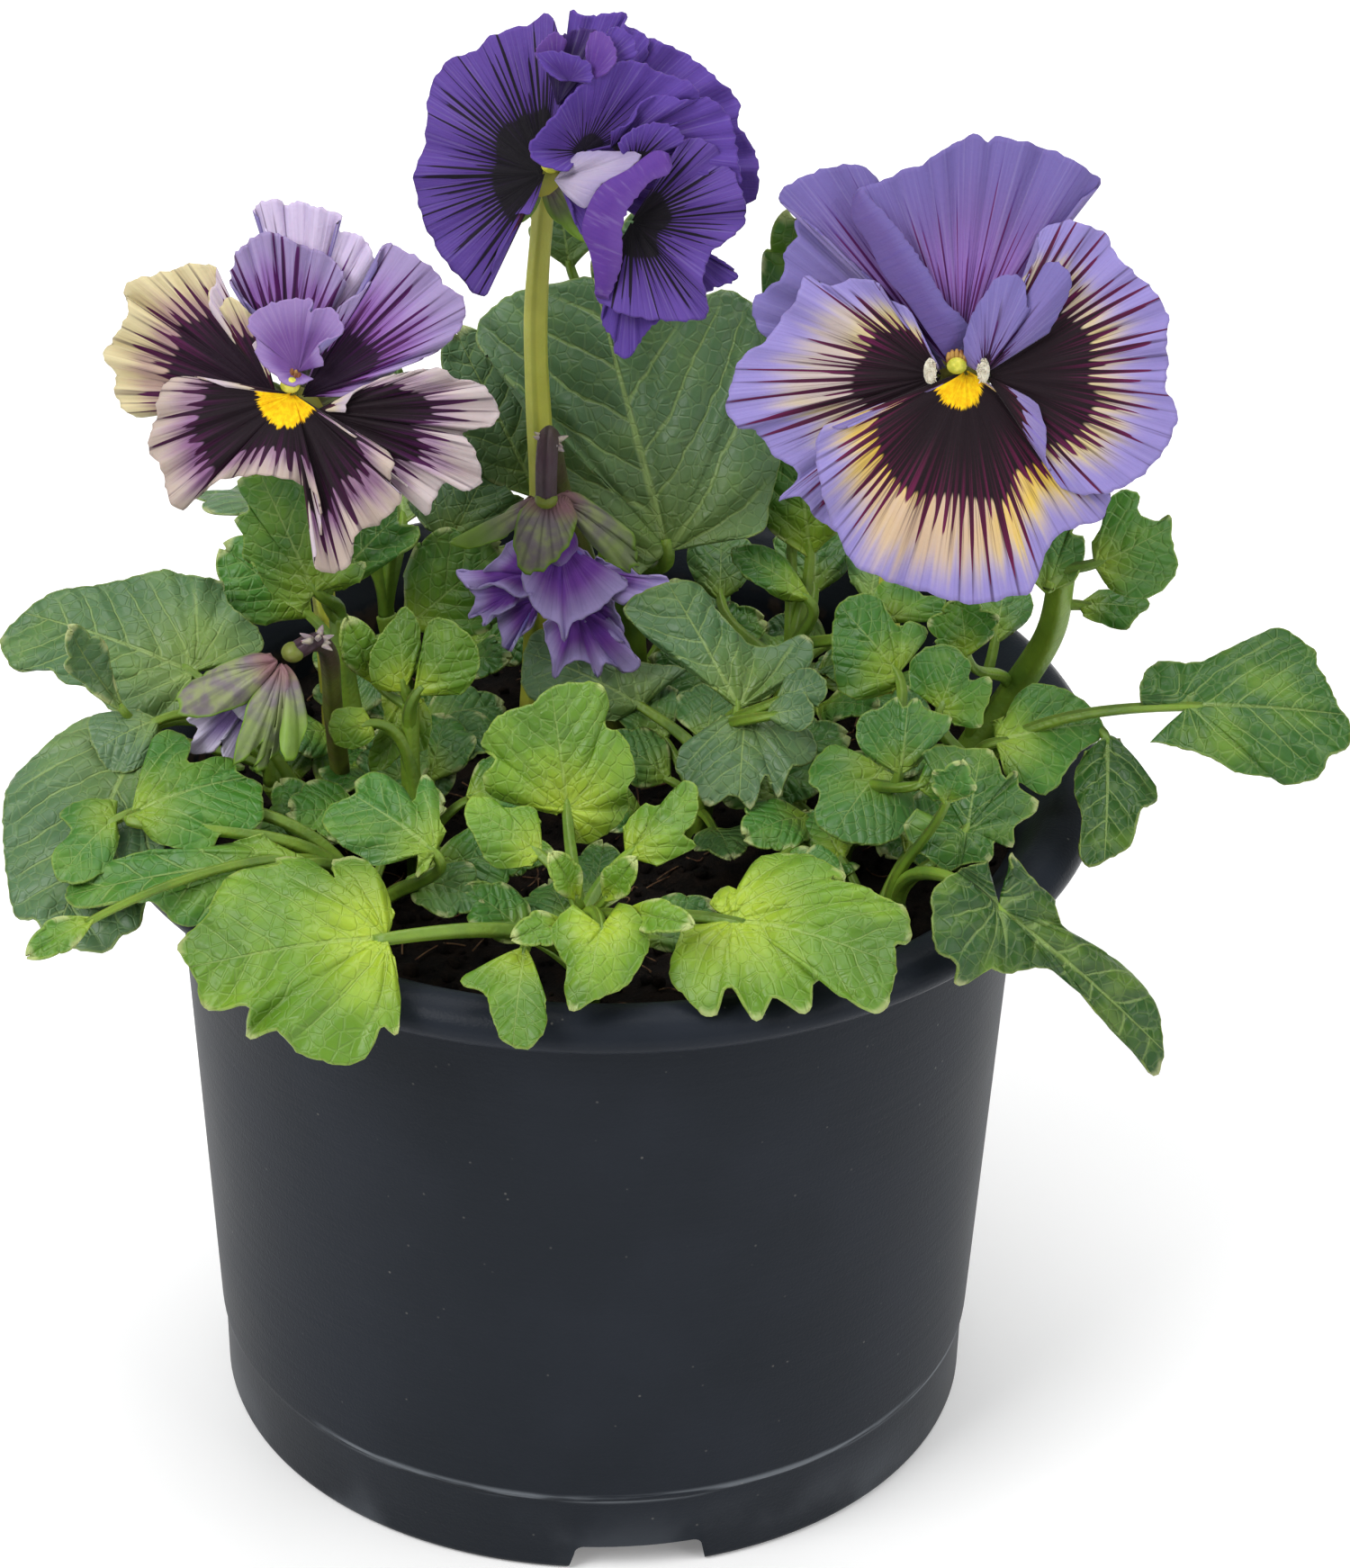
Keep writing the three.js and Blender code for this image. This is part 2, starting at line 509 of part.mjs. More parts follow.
        wide: 15, peak: 0.5, lobes: 3, cut: 0.2, arch: 1.2, cup: 0.1, wave: 0.6, heart: 0.06,
      },
    ],
  },
  {
    name: 'back_right_shoot',
    finish: OLD_GREEN,
    stem: [[34, 31, 73], [34, 31, 87], [36, 33, 97]],
    thick: 1.9,
    leaves: [
      {
        at: 1, from: [42, 36, 106], to: [62, 45, 106], face: [0, 0.35, 0.95],
        wide: 19, peak: 0.5, lobes: 3, cut: 0.16, arch: 2.5, cup: -0.1, wave: 0.7, heart: 0.1,
      },
      {
        at: 1, from: [34, 41, 107], to: [38, 62, 108], face: [0, 0.3, 0.95],
        wide: 17, peak: 0.5, lobes: 3, cut: 0.2, arch: 2.5, cup: -0.1, wave: 0.7, heart: 0.1,
      },
      {
        at: 1, from: [38, 37, 115], to: [42, 43, 131], face: [0, 0.75, 0.65],
        wide: 14, peak: 0.5, lobes: 3, cut: 0.22, arch: 1.4, cup: 0.1, wave: 0.6, heart: 0.06,
      },
    ],
  },
];

// ---- Blooms ---------------------------------------------------------------------------------
// A bloom has its throat at `throat` and looks along `facing`. Each petal is a fan from its `foot`
// to its `margin`, given in millimetres to the right of the throat, above it and out of it, and
// `lift` raises it midway. `pegs` are short stubs inside, where folded petals meet: right, up, and
// the two ends out of the throat. The stalk and green calyx stand behind the petals.
const BLOOMS = [
  {
    name: 'right_bloom',
    finish: LAVENDER,
    throat: [44, -8, 155.5],
    facing: [0.02, -0.88, 0.47],
    stalk: [[37, 19, 73], [37, 19, 88], [38, 18, 118], [42, 12, 146], [43.9, 1.5, 154]],
    thick: 1.8,
    pegs: [],
    petals: [
      {
        foot: [-1.5, 1, -1.2], lift: 0.4,
        margin: [[-3, 4, -1.5], [-9, 14, -2.6], [-14, 18.5, -3], [-18.2, 19.8, -2.6],
          [-20.2, 19.4, -3.4], [-20, 17.1, -2.6], [-21.3, 15.9, -3.2], [-21.8, 12.3, -2.4],
          [-23.8, 10.7, -3.2], [-25.4, 9.1, -2.6], [-24.5, 5.5, -3], [-15, 0, -2]],
      },
      {
        foot: [-1, 1.5, -0.8], lift: 0.4,
        margin: [[-10.3, 24.6, -2], [-13.1, 26.2, -1.2], [-15.9, 25.8, -2.2], [-19, 24.8, -1.4],
          [-22.4, 22.2, -2], [-3, 3, -0.4]],
      },
      {
        foot: [0.2, 1.6, -0.2], lift: 1.2,
        margin: [[3, 4, -0.4], [9, 12, -1.2], [17.6, 24.2, -1.8], [13.8, 27, -0.8], [11, 28.3, -2],
          [7.9, 29.1, -1], [4.5, 29.8, -2], [3.4, 29, -1.6], [1.9, 30.1, -1], [-0.4, 28.9, -1.8],
          [-2.4, 27.8, -0.8], [-4.8, 26.2, -1.6], [-7.2, 25.4, -0.8], [-9.5, 24.2, -1.2],
          [-12.6, 22.8, 0.2], [-10.5, 16, 0.4], [-6, 9, 0.4], [-2.4, 4, 0.2]],
      },
      {
        foot: [-2.2, 0.2, 1], lift: 1.2,
        margin: [[-2.6, 1.6, 1.4], [-5.2, 6.4, 1.4], [-6.4, 8.4, 1.8], [-9.9, 11.3, 1.2],
          [-13.1, 12.1, 0.2], [-15.9, 11.1, 0.8], [-19, 12.3, -0.4], [-20.2, 9.5, 0.4],
          [-22.4, 6.4, -0.6], [-24.2, 4, 0.2], [-26.6, 2.6, -0.6], [-28.1, -1.1, 0.6],
          [-28.7, -3.9, -0.4], [-27.4, -6.3, 0.4], [-25.2, -6.6, -0.6], [-24.2, -7.9, 0.3],
          [-22.2, -10.3, -0.6], [-20.2, -11.4, 0.2], [-19.8, -13, -0.6], [-22.2, -15.4, -0.2],
          [-19.4, -14.9, -0.8], [-17.9, -17, -0.4], [-13.9, -19.4, -1], [-9, -14, -0.4],
          [-4, -5, 0.4]],
      },
      {
        foot: [1, 0.8, 1.2], lift: 1.2,
        margin: [[-16.6, -6, 4.2], [-17.7, -9.1, 3.6], [-17.3, -12.2, 4.2], [-16.5, -15.8, 3.2],
          [-14.7, -19.8, 2], [-13.1, -22.9, 1.8], [-9.5, -24.9, 2.6], [-6, -26.1, 2], [-1.6, -27.3, 3],
          [1.9, -28.1, 2.2], [5.9, -27.3, 3], [9.1, -26.5, 2], [10.3, -23.7, 2.4], [11.8, -20.2, 1.4],
          [15, -18.4, 0.6], [18, -17.4, 0.2], [19, -14.2, -0.4], [14, -9, 0], [9, -5, 0.6],
          [4.6, -1.2, 1.4]],
      },
      {
        foot: [1, 0.2, 1.6], lift: 1.2,
        margin: [[13, -13.6, 2.8], [15.8, -14.4, 2.6], [19.8, -13.8, 2], [22.5, -12.2, 2.4],
          [24.5, -10.3, 1.6], [26.8, -6.3, 2.4], [27, -3.5, 1.4], [25.5, -1.1, 2], [26.1, 1.6, 1.2],
          [25.7, 4, 2], [25.9, 7.6, 1], [24.5, 10.3, 1.8], [22.1, 12.7, 0.8], [19.8, 14.7, 1.6],
          [18, 17.9, 0.4], [15.8, 18.8, 1.2], [13.4, 19.4, 0], [11.8, 19, 0.6], [9.9, 17.9, 0]],
      },
      {
        foot: [1, 0.4, 1.9], lift: 0.4,
        margin: [[11, 5.5, 2.5], [13.6, 11.5, 4.4], [13, 13.5, 4.2], [10.8, 14.2, 3.4],
          [7.6, 12.2, 4.4], [4.7, 12.4, 4], [3.1, 10.3, 4], [1.9, 8.4, 3.6], [0.6, 4.4, 3],
          [0.8, 1.6, 2.2]],
      },
    ],
  },
  {
    name: 'middle_bloom',
    finish: VIOLET,
    throat: [-8.5, 10, 174],
    facing: [-0.05, -0.86, 0.5],
    stalk: [[-9, 19, 73], [-9, 19, 88], [-8, 18, 120], [-9, 19, 148], [-8, 20.5, 166], [-5.8, 18, 171]],
    thick: 2,
    pegs: [[13, -5, -4.6, 2.6]],
    petals: [
      {
        foot: [1, 0, -2], lift: 0.4,
        margin: [[14, -6, -4], [26.8, -2.3, -5], [27.2, 1.6, -4.2], [26.5, 4, -5.2], [24.3, 7.4, -4.4],
          [24.5, 9.6, -5.4], [21.1, 12.9, -4.4], [17, 15.8, -5.4], [12.6, 17.4, -4.6],
          [9.7, 18.6, -5]],
      },
      {
        foot: [1.5, 2, -1], lift: 0.4,
        margin: [[12, 12, -3], [12.6, 17.4, -4], [9.7, 18.6, -3.4], [9.8, 20.2, -4.2],
          [4.7, 19.7, -3.4], [2.6, 20.3, -4]],
      },
      {
        foot: [13.6, -5.6, -1], lift: 0.4,
        margin: [[20.8, -14, -1.6], [21.3, -14.3, -1.6], [22.8, -13.6, -1], [25.4, -12.2, -1.8],
          [22.5, -9.8, -1]],
      },
      {
        foot: [13, -6, 0], lift: 0.4,
        margin: [[8.8, -16.5, 0], [8.8, -18.7, -0.6], [10.4, -20.9, 0], [10.5, -22.2, -0.4],
          [12.2, -22.9, 0.2], [13.5, -21, -0.4], [14.8, -19, 0], [16.5, -17.5, -0.6]],
      },
      {
        foot: [1, -1, 0], lift: 0.4,
        margin: [[5, -6.5, 0.4], [6.3, -8, 0], [9, -5, 0]],
      },
      {
        foot: [0.8, -0.4, 0.5], lift: 1.2,
        margin: [[2.6, 10, 0], [1.5, 17.4, -1], [0, 19.7, -1.6], [-1.6, 18.5, -2], [-7, 16.4, -1.4],
          [-8.6, 14.6, -2.6], [-11.5, 13.7, -2.2], [-14.1, 10.4, -3.2], [-14.5, 5.3, -2.6],
          [-14.7, 2.2, -3.4], [-15.7, -0.3, -2.8], [-15.3, -4.1, -3.6], [-14, -7.6, -2.8],
          [-12.1, -10.8, -3.4], [-9.2, -14, -2.6], [-6.4, -16, -3], [-1, -5.6, -0.2], [0, -3.5, 0.2]],
      },
      {
        foot: [0, 1, 1], lift: 0.4,
        margin: [[8, 15, 1.4], [6.5, 17.5, 1], [3.5, 17.4, 1], [1.5, 16, 1.4], [0, 14, 1.6]],
      },
      {
        foot: [0, 0, 1.6], lift: 0.4,
        margin: [[11.8, 14.4, 2.8], [11, 17, 2.4], [8.5, 18, 2], [7, 15, 3]],
      },
      {
        foot: [1, 1, 2], lift: 0.4,
        margin: [[13, 4, 2], [20, 9, 2.2], [18.6, 11.4, 3], [14.8, 12.6, 2.4], [11, 13.9, 3.4],
          [7, 11.8, 4], [4.6, 10, 4.4], [2.2, 6.8, 5], [-0.9, 2.5, 5.4], [-0.7, 1.5, 5.6],
          [0.9, 0.3, 5.2], [4, -0.3, 4.6]],
      },
      {
        foot: [0.5, 1, 2.2], lift: 0.4,
        margin: [[6.5, 10.7, 4.6], [6.2, 13, 4.8], [4, 14.1, 5], [1, 14.5, 4.6], [-0.5, 14.1, 4.2]],
      },
      {
        foot: [0.5, 0, 1.7], lift: 0.4,
        margin: [[22, -1, 1], [25.4, -0.6, 1.6], [25, 1.5, 1.2], [24.6, 4, 2], [23.6, 7.4, 1.6],
          [20.8, 9.8, 2.6], [18.5, 9.2, 3.4], [14.8, 9.8, 3], [12.5, 8.6, 3.8]],
      },
      {
        foot: [12.4, -5.6, 1.5], lift: 0.4,
        margin: [[8.5, -13, 3], [8, -15.5, 3], [11.4, -17.5, 3], [16, -18.1, 2.4], [20.6, -17.9, 3],
          [22, -17.1, 2], [21.3, -12.7, 2.8], [22.1, -9.5, 1.6], [25, -7, 2.6], [26.2, -4.8, 1.6],
          [25.4, -1.3, 2.4], [23, 2.5, 1.8], [20.9, 4.4, 2.8], [18.3, 4.4, 3.4], [16.5, 1.5, 3.6]],
      },
      {
        foot: [0.5, 0, 2.1], lift: 0.4,
        margin: [[18.3, 4, 4], [17.5, 5.5, 4.6], [14.5, 6.2, 4.8], [11.8, 5.2, 5.2]],
      },
      {
        foot: [0, 0, 1.5], lift: 0.4,
        margin: [[3.6, -3, 3], [6.5, -4.6, 5], [8.2, -1.9, 5.8], [11.6, 0.3, 5.4], [13, 2.2, 4.6],
          [8, 2.4, 4], [5, 2.3, 3.4]],
      },
    ],
  },
  {
    name: 'left_bloom',
    finish: PALE_LILAC,
    throat: [-38.5, -8, 149.5],
    facing: [-0.12, -0.82, 0.56],
    stalk: [[-35, 14, 73], [-35, 14, 88], [-37, 15, 118], [-38.5, 10, 142], [-38.4, 1, 147.6]],
    thick: 1.7,
    pegs: [],
    petals: [
      {
        foot: [0, 1, -2], lift: 0.4,
        margin: [[6, 13, -2.6], [8.1, 17.5, -3], [7.6, 20.4, -2.2], [5.4, 22.6, -3.2],
          [2.9, 22.9, -2.4], [3.1, 24.7, -3.2], [-0.7, 25.6, -2.4], [-2.5, 26.1, -3.4],
          [-4, 25.4, -2.4], [-5, 26, -3.2], [-6.8, 25.6, -2.4], [-8.1, 24.7, -3.2]],
      },
      {
        foot: [-0.5, 1, -0.8], lift: 0.4,
        margin: [[4.9, 16.4, -0.4], [2.5, 19.3, -1], [-1.8, 20.6, -0.2], [-5.4, 21.7, -1],
          [-7.9, 20.4, -0.4], [-9.2, 18.2, -1.2], [-9.7, 15.4, -0.4]],
      },
      {
        foot: [1, 1.5, 0], lift: 0.4,
        margin: [[7.2, 2, 0], [10.8, 4.9, -0.4], [13.7, 6.4, 0.4], [17.3, 8.9, -0.6],
          [19.8, 11.4, 0.2], [20, 15.4, -0.8], [17.6, 16.8, 0.2], [15.5, 19, -0.8], [11.9, 20.8, 0],
          [9.4, 21.5, -0.8], [4.7, 12.8, 0.6], [2.9, 8.5, 0.8]],
      },
      {
        foot: [-2, 0.8, 0.6], lift: 0.4,
        margin: [[-4.7, 8.2, 2.4], [-5.8, 10.3, 1.8], [-7.6, 12.3, 2.4], [-11.7, 16.7, 0],
          [-14.6, 16.7, -0.8], [-18.3, 15.4, 0], [-23.2, 13.2, -0.8], [-21.6, 10.3, 0.2],
          [-23.4, 7.4, -0.6], [-24.6, 4.9, 0.2], [-23, 2.4, -0.6], [-22.3, -0.8, 0.2],
          [-19.8, -2.7, -0.6], [-8, -1, 0.2]],
      },
      {
        foot: [1, -0.2, 0.6], lift: 0.4,
        margin: [[18, -11.8, 0.2], [22.7, -8.4, 0.2], [24.1, -7.3, -0.6], [23.4, -3.3, 0.4],
          [21.2, -1, -0.4], [23.4, -0.5, 0.6], [25.7, 0.6, -0.4], [24.8, 3.8, 0.6], [22.3, 5.3, -0.4],
          [19.8, 5.5, 0.8], [18.3, 6.4, -0.2], [15.5, 6, 0.8], [10.8, 4.5, 1]],
      },
      {
        foot: [0, 1.6, 1.2], lift: 1.2,
        margin: [[-13.1, 2.7, 1.6], [-15.8, 1.7, 2.4], [-16.6, -0.8, 1.4], [-17, -4.4, 2.4],
          [-17.4, -6.9, 1.2], [-15.8, -8.7, 2.2], [-14.7, -11.3, 1.2], [-12.6, -14.1, 2],
          [-7.6, -9.8, 2], [-2.5, -8.9, 2.6], [1.1, -9.2, 2.4], [5.6, -19.9, 2.6], [9, -19.2, 1.4],
          [10.4, -14.9, 2.8], [13.7, -12.3, 1.6], [15.3, -9.8, 3], [14, -6.2, 3.2], [11.9, -4.1, 2]],
      },
      {
        foot: [0, 1, 1.6], lift: 0.4,
        margin: [[4, 5.3, 3.4], [6.1, 9.6, 4.6], [4, 12.6, 3.4], [1.8, 13.2, 3.6], [-1.8, 12.9, 4.2],
          [-5.4, 11, 4.2], [-5.8, 9.2, 4.8], [-4.3, 5.6, 4.6]],
      },
    ],
  },
];

// ---- Buds -------------------------------------------------------------------------------------
// A bud hangs from the end of its stalk. Its sepals and its petals run from its neck to their tips.
const BUDS = [
  {
    name: 'hanging_bud',
    finish: VIOLET,
    stalk: [
      [2, 19, 73], [2, 19, 88], [-2, 17.5, 112], [-5.8, 13.5, 128],
      [-7, 9, 133.5], [-7.6, 6, 132.5], [-7.6, 4.5, 128],
    ],
    thick: 1.4,
    neck: [-7.6, 4.2, 127],
    sepals: [
      { to: [-5.8, -5, 112.5], face: [0, -0.9, 0.4], wide: 8, push: -2.6 },
      { to: [3.5, 0.5, 113], face: [0.6, -0.7, 0.4], wide: 6.5, push: -2.2 },
      { to: [-17, 1, 117], face: [-0.6, -0.6, 0.5], wide: 4.5, push: -2.2 },
      { to: [-9.5, 9, 113], face: [-0.2, 0.9, 0.3], wide: 7, push: -2.6 },
    ],
    petals: [
      { to: [-17.5, -2, 108], face: [-0.5, -0.7, 0.5], wide: 9 },
      { to: [-6.5, -6.2, 101], face: [0, -0.9, 0.3], wide: 10 },
      { to: [6.5, -1.5, 107], face: [0.5, -0.7, 0.5], wide: 9 },
      { to: [0.5, 3.5, 101.5], face: [0.6, 0.6, 0.3], wide: 9 },
      { to: [-12.5, 5, 102], face: [-0.5, 0.7, 0.3], wide: 9 },
    ],
  },
  {
    name: 'left_bud',
    finish: PALE_LILAC,
    stalk: [
      [-33, -4, 73], [-33, -4, 88], [-34, -7, 104], [-34.5, -12, 117],
      [-36, -15, 119.8], [-38.5, -16.2, 119],
    ],
    thick: 1.3,
    neck: [-39.3, -16.6, 118.2],
    sepals: [
      { to: [-53.5, -17.5, 109.5], face: [-0.3, -0.6, 0.75], wide: 6.5, push: -1.8 },
      { to: [-44.5, -20, 104], face: [0.6, -0.7, 0.2], wide: 6, push: -1.8 },
      { to: [-47, -11.5, 106.5], face: [-0.3, 0.8, 0.4], wide: 6, push: -1.8 },
    ],
    petals: [
      { to: [-51.2, -19.3, 104], face: [-0.3, -0.8, 0.3], wide: 5.5 },
      { to: [-48.5, -15.2, 102.5], face: [-0.3, 0.6, 0.3], wide: 5.5 },
    ],
  },
];
const NECK_RADIUS = 1.7;
const BUD_CORE_DROP = 2.4;

const wasm = await Module();
wasm.setup();

// ---- Helpers ------------------------------------------------------------------------------

function vec(values) {
  return new THREE.Vector3(values[0], values[1], values[2]);
}

// A closed surface from its points and triangles, as a manifold solid.
function solid(points, triangles) {
  const vertProperties = new Float32Array(points.flatMap((p) => [p.x, p.y, p.z]));
  const triVerts = new Uint32Array(triangles.flat());
  return new wasm.Manifold(new wasm.Mesh({ numProp: 3, vertProperties, triVerts }));
}

// The solid of a three.js geometry whose faces close on each other.
function fromGeometry(geometry) {
  const position = geometry.getAttribute('position');
  const found = new Map();
  const points = [];
  const place = [];
  for (let i = 0; i < position.count; i += 1) {
    const p = new THREE.Vector3().fromBufferAttribute(position, i);
    const key = [p.x, p.y, p.z].map((v) => Math.round(v * 1e4)).join();
    if (!found.has(key)) {
      found.set(key, points.length);
      points.push(p);
    }
    place.push(found.get(key));
  }
  const corners = geometry.index ? Array.from(geometry.index.array) : place.map((_, i) => i);
  const triangles = [];
  for (let i = 0; i < corners.length; i += 3) {
    const t = [place[corners[i]], place[corners[i + 1]], place[corners[i + 2]]];
    if (t[0] !== t[1] && t[1] !== t[2] && t[2] !== t[0]) triangles.push(t);
  }
  return solid(points, triangles);
}

// A round stalk along a curve, closed at both ends, as thick as `radius(u)` at each fraction u.
function stalk(curve, steps, sides, radius) {
  const frames = curve.computeFrenetFrames(steps, false);
  const points = [];
  for (let i = 0; i <= steps; i += 1) {
    const centre = curve.getPointAt(i / steps);
    for (let k = 0; k < sides; k += 1) {
      const angle = (k / sides) * 2 * Math.PI;
      const out = frames.normals[i].clone().multiplyScalar(Math.cos(angle));
      out.addScaledVector(frames.binormals[i], Math.sin(angle));
      points.push(centre.clone().addScaledVector(out, radius(i / steps)));
    }
  }
  const triangles = [];
  for (let i = 0; i < steps; i += 1) {
    for (let k = 0; k < sides; k += 1) {
      const a = i * sides + k;
      const b = i * sides + ((k + 1) % sides);
      triangles.push([a, b, b + sides], [a, b + sides, a + sides]);
    }
  }
  for (let k = 1; k < sides - 1; k += 1) {
    triangles.push([0, k + 1, k]);
    triangles.push([steps * sides, steps * sides + k, steps * sides + k + 1]);
  }
  return solid(points, triangles);
}

// A thin shell about a sheet of points: both faces are split into the same triangles, and `rim`
// lists the sheet's edge in the order that keeps the sheet on its left.
function shell(points, triangles, rim, thickness) {
  const normals = points.map(() => new THREE.Vector3());
  for (const [a, b, c] of triangles) {
    const ab = points[b].clone().sub(points[a]);
    const ac = points[c].clone().sub(points[a]);
    const n = ab.cross(ac);
    for (const i of [a, b, c]) normals[i].add(n);
  }
  const half = thickness / 2;
  const top = points.map((p, i) => p.clone().addScaledVector(normals[i].clone().normalize(), half));
  const under = points.map((p, i) => p.clone().addScaledVector(normals[i].clone().normalize(), -half));
  const count = points.length;
  const all = triangles.concat(triangles.map(([a, b, c]) => [a + count, c + count, b + count]));
  for (let i = 0; i < rim.length; i += 1) {
    const a = rim[i];
    const b = rim[(i + 1) % rim.length];
    all.push([a, b + count, b], [a, a + count, b + count]);
  }
  return solid(top.concat(under), all);
}

// The directions of a blade: along it, out of its upper side, and to its left.
function bladeFrame(from, to, face) {
  const along = to.clone().sub(from);
  const length = along.length();
  along.normalize();
  const up = vec(face);
  up.addScaledVector(along, -up.dot(along)).normalize();
  const left = new THREE.Vector3().crossVectors(up, along);
  return { along, up, left, length };
}

// A lobed blade: a midrib and one margin point each side at every lobe and every notch.
function blade(leaf, thickness) {
  const from = vec(leaf.from);
  const { along, up, left, length } = bladeFrame(from, vec(leaf.to), leaf.face);
  const steps = 2 * leaf.lobes + 1;
  const power = Math.log(0.5) / Math.log(leaf.peak);
  const midrib = (s) => from.clone()
    .addScaledVector(along, length * s)
    .addScaledVector(up, leaf.arch * 4 * s * (1 - s));
  const points = [midrib(0)];
  for (let j = 1; j < steps; j += 1) {
    const s = j / steps;
    const lobe = j % 2 === 1;
    const half = (leaf.wide / 2) * Math.sin(Math.PI * s ** power) ** 0.7 * (lobe ? 1 : 1 - leaf.cut);
    const lean = length * (lobe ? LEAN_FORWARD : -LEAN_BACK) - (j === 1 ? length * leaf.heart : 0);
    for (const turn of [1, 0, -1]) {
      const ripple = leaf.wave * Math.sin(1.7 * j + 2 * turn + 5 * leaf.wide);
      const p = midrib(s);
      if (turn !== 0) {
        p.addScaledVector(left, turn * half);
        p.addScaledVector(along, lean);
        p.addScaledVector(up, leaf.cup * half + ripple);
      }
      points.push(p);
    }
  }
  points.push(midrib(1));
  const last = points.length - 1;
  const triangles = [[0, 2, 1], [0, 3, 2]];
  for (let j = 1; j < steps - 1; j += 1) {
    const a = 3 * j - 2;
    const b = a + 3;
    triangles.push([a, a + 1, b + 1], [a, b + 1, b]);
    triangles.push([a + 1, a + 2, b + 1], [a + 2, b + 2, b + 1]);
  }
  const end = last - 3;
  triangles.push([end, end + 1, last], [end + 1, end + 2, last]);
  const rim = [0];
  for (let j = 1; j < steps; j += 1) rim.push(3 * j);
  rim.push(last);
  for (let j = steps - 1; j >= 1; j -= 1) rim.push(3 * j - 2);
  return shell(points, triangles, rim, thickness);
}

// The direction from the eye through a square of the drawing sheet.
function sight([u, v]) {
  return vec(EYE_AWAY)
    .addScaledVector(vec(EYE_RIGHT), (u - SHEET_MIDDLE[0]) / SHEET_REACH)
    .addScaledVector(vec(EYE_UP), (SHEET_MIDDLE[1] - v) / SHEET_REACH);
}

// Where the sight line through a leaf's foot reaches the height of that foot.
function drawnFoot(leaf) {
  const ray = sight(leaf.foot);
  return vec(EYE).addScaledVector(ray, (leaf.height - EYE[2]) / ray.z);
}

// The margin of a drawn leaf: each sight line meets the blade's plane, and a ripple moves the
// margin nearer and further along that line, so its outline stays as drawn.
function drawnMargin(leaf, foot) {
  const normal = vec(leaf.face).normalize();
  const height = foot.clone().sub(vec(EYE)).dot(normal);
  return leaf.outline.map((square, i) => {
    const ray = sight(square);
    const ripple = leaf.wave * Math.sin(LEAF_RIPPLES * i + leaf.height);
    return vec(EYE).addScaledVector(ray, height / ray.dot(normal) + ripple);
  });
}

// A thin fan from a foot through a few inner points, raised by `lift`, to its margin.
function fan(foot, margin, lift, thickness) {
  const count = margin.length;
  const inner = Math.max(3, Math.ceil(count / 3));
  const place = Array.from({ length: inner }, (_, j) => Math.round((j * (count - 1)) / (inner - 1)));
  const middle = place.map((i) => foot.clone().lerp(margin[i], FAN_RING).add(lift));
  const points = [foot, ...middle, ...margin];
  const edge = (i) => 1 + inner + i;
  const triangles = [];
  for (let j = 1; j < inner; j += 1) {
    const turn = Math.ceil((place[j - 1] + place[j]) / 2);
    triangles.push([0, j, j + 1], [j, edge(turn), j + 1]);
    for (let i = place[j - 1]; i < place[j]; i += 1) {
      triangles.push([i < turn ? j : j + 1, edge(i), edge(i + 1)]);
    }
  }
  const rim = [0, 1, ...margin.map((_, i) => edge(i)), inner];
  return shell(points, triangles, rim, thickness);
}

// The blade of a drawn leaf, fanned out from its foot.
function drawnBlade(leaf) {
  const foot = drawnFoot(leaf);
  const lift = vec(leaf.face).normalize().multiplyScalar(leaf.arch);
  return fan(foot, drawnMargin(leaf, foot), lift, LEAF_THICKNESS);
}

// Where a leaf's petiole arrives: the foot, the way the blade runs on, and a point inside the blade.
function leafSeat(leaf) {
  if (!leaf.outline) {
    const from = vec(leaf.from);
    const { along, up, length } = bladeFrame(from, vec(leaf.to), leaf.face);
    const inside = from.clone().addScaledVector(along, STALK_BITE * length);
    inside.addScaledVector(up, leaf.arch * 4 * STALK_BITE * (1 - STALK_BITE));
    return { from, along, inside, radius: PETIOLE_RADIUS + 0.02 * leaf.wide };
  }
  const from = drawnFoot(leaf);
  const centre = new THREE.Vector3();
  const margin = drawnMargin(leaf, from);
  for (const p of margin) centre.addScaledVector(p, 1 / margin.length);
  const along = centre.sub(from).normalize();
  return { from, along, inside: from.clone().addScaledVector(along, 0.8), radius: leaf.thick };
}

// The same solid with every edge shorter than WELD_LENGTH drawn together into one point.
function weld(body) {
  const data = body.getMesh();
  const count = data.vertProperties.length / 3;
  const point = (i) => new THREE.Vector3().fromArray(data.vertProperties, 3 * i);
  const owner = Array.from({ length: count }, (_, i) => i);
  const find = (i) => {
    let at = i;
    while (owner[at] !== at) at = owner[at];
    return at;
  };
  const corners = Array.from(data.triVerts);
  for (let i = 0; i < corners.length; i += 1) {
    const a = corners[i];
    const b = corners[i % 3 === 2 ? i - 2 : i + 1];
    if (point(a).distanceTo(point(b)) < WELD_LENGTH) owner[find(a)] = find(b);
  }
  const kept = new Map();
  for (let i = 0; i < corners.length; i += 3) {
    const t = [find(corners[i]), find(corners[i + 1]), find(corners[i + 2])];
    if (t[0] === t[1] || t[1] === t[2] || t[2] === t[0]) continue;
    const key = [...t].sort((a, b) => a - b).join();
    if (kept.has(key)) kept.delete(key);
    else kept.set(key, t);
  }
  const used = new Map();
  const points = [];
  const triangles = [...kept.values()].map((t) => t.map((i) => {
    if (!used.has(i)) {
      used.set(i, points.length);
      points.push(point(i));
    }
    return used.get(i);
  }));
  return solid(points, triangles);
}

// All solids in one, without sealed hollows and loose scraps.
function fuse(solids, name) {
  const whole = weld(wasm.Manifold.union(solids).simplify(MERGE_TOLERANCE));
  const parts = whole.decompose();
  parts.sort((a, b) => b.volume() - a.volume());
  for (const loose of parts.slice(1)) {
    if (loose.volume() > 0.5) console.warn(`${name}: a loose piece of ${loose.volume().toFixed(1)} mm3`);
  }
  return parts[0];
}

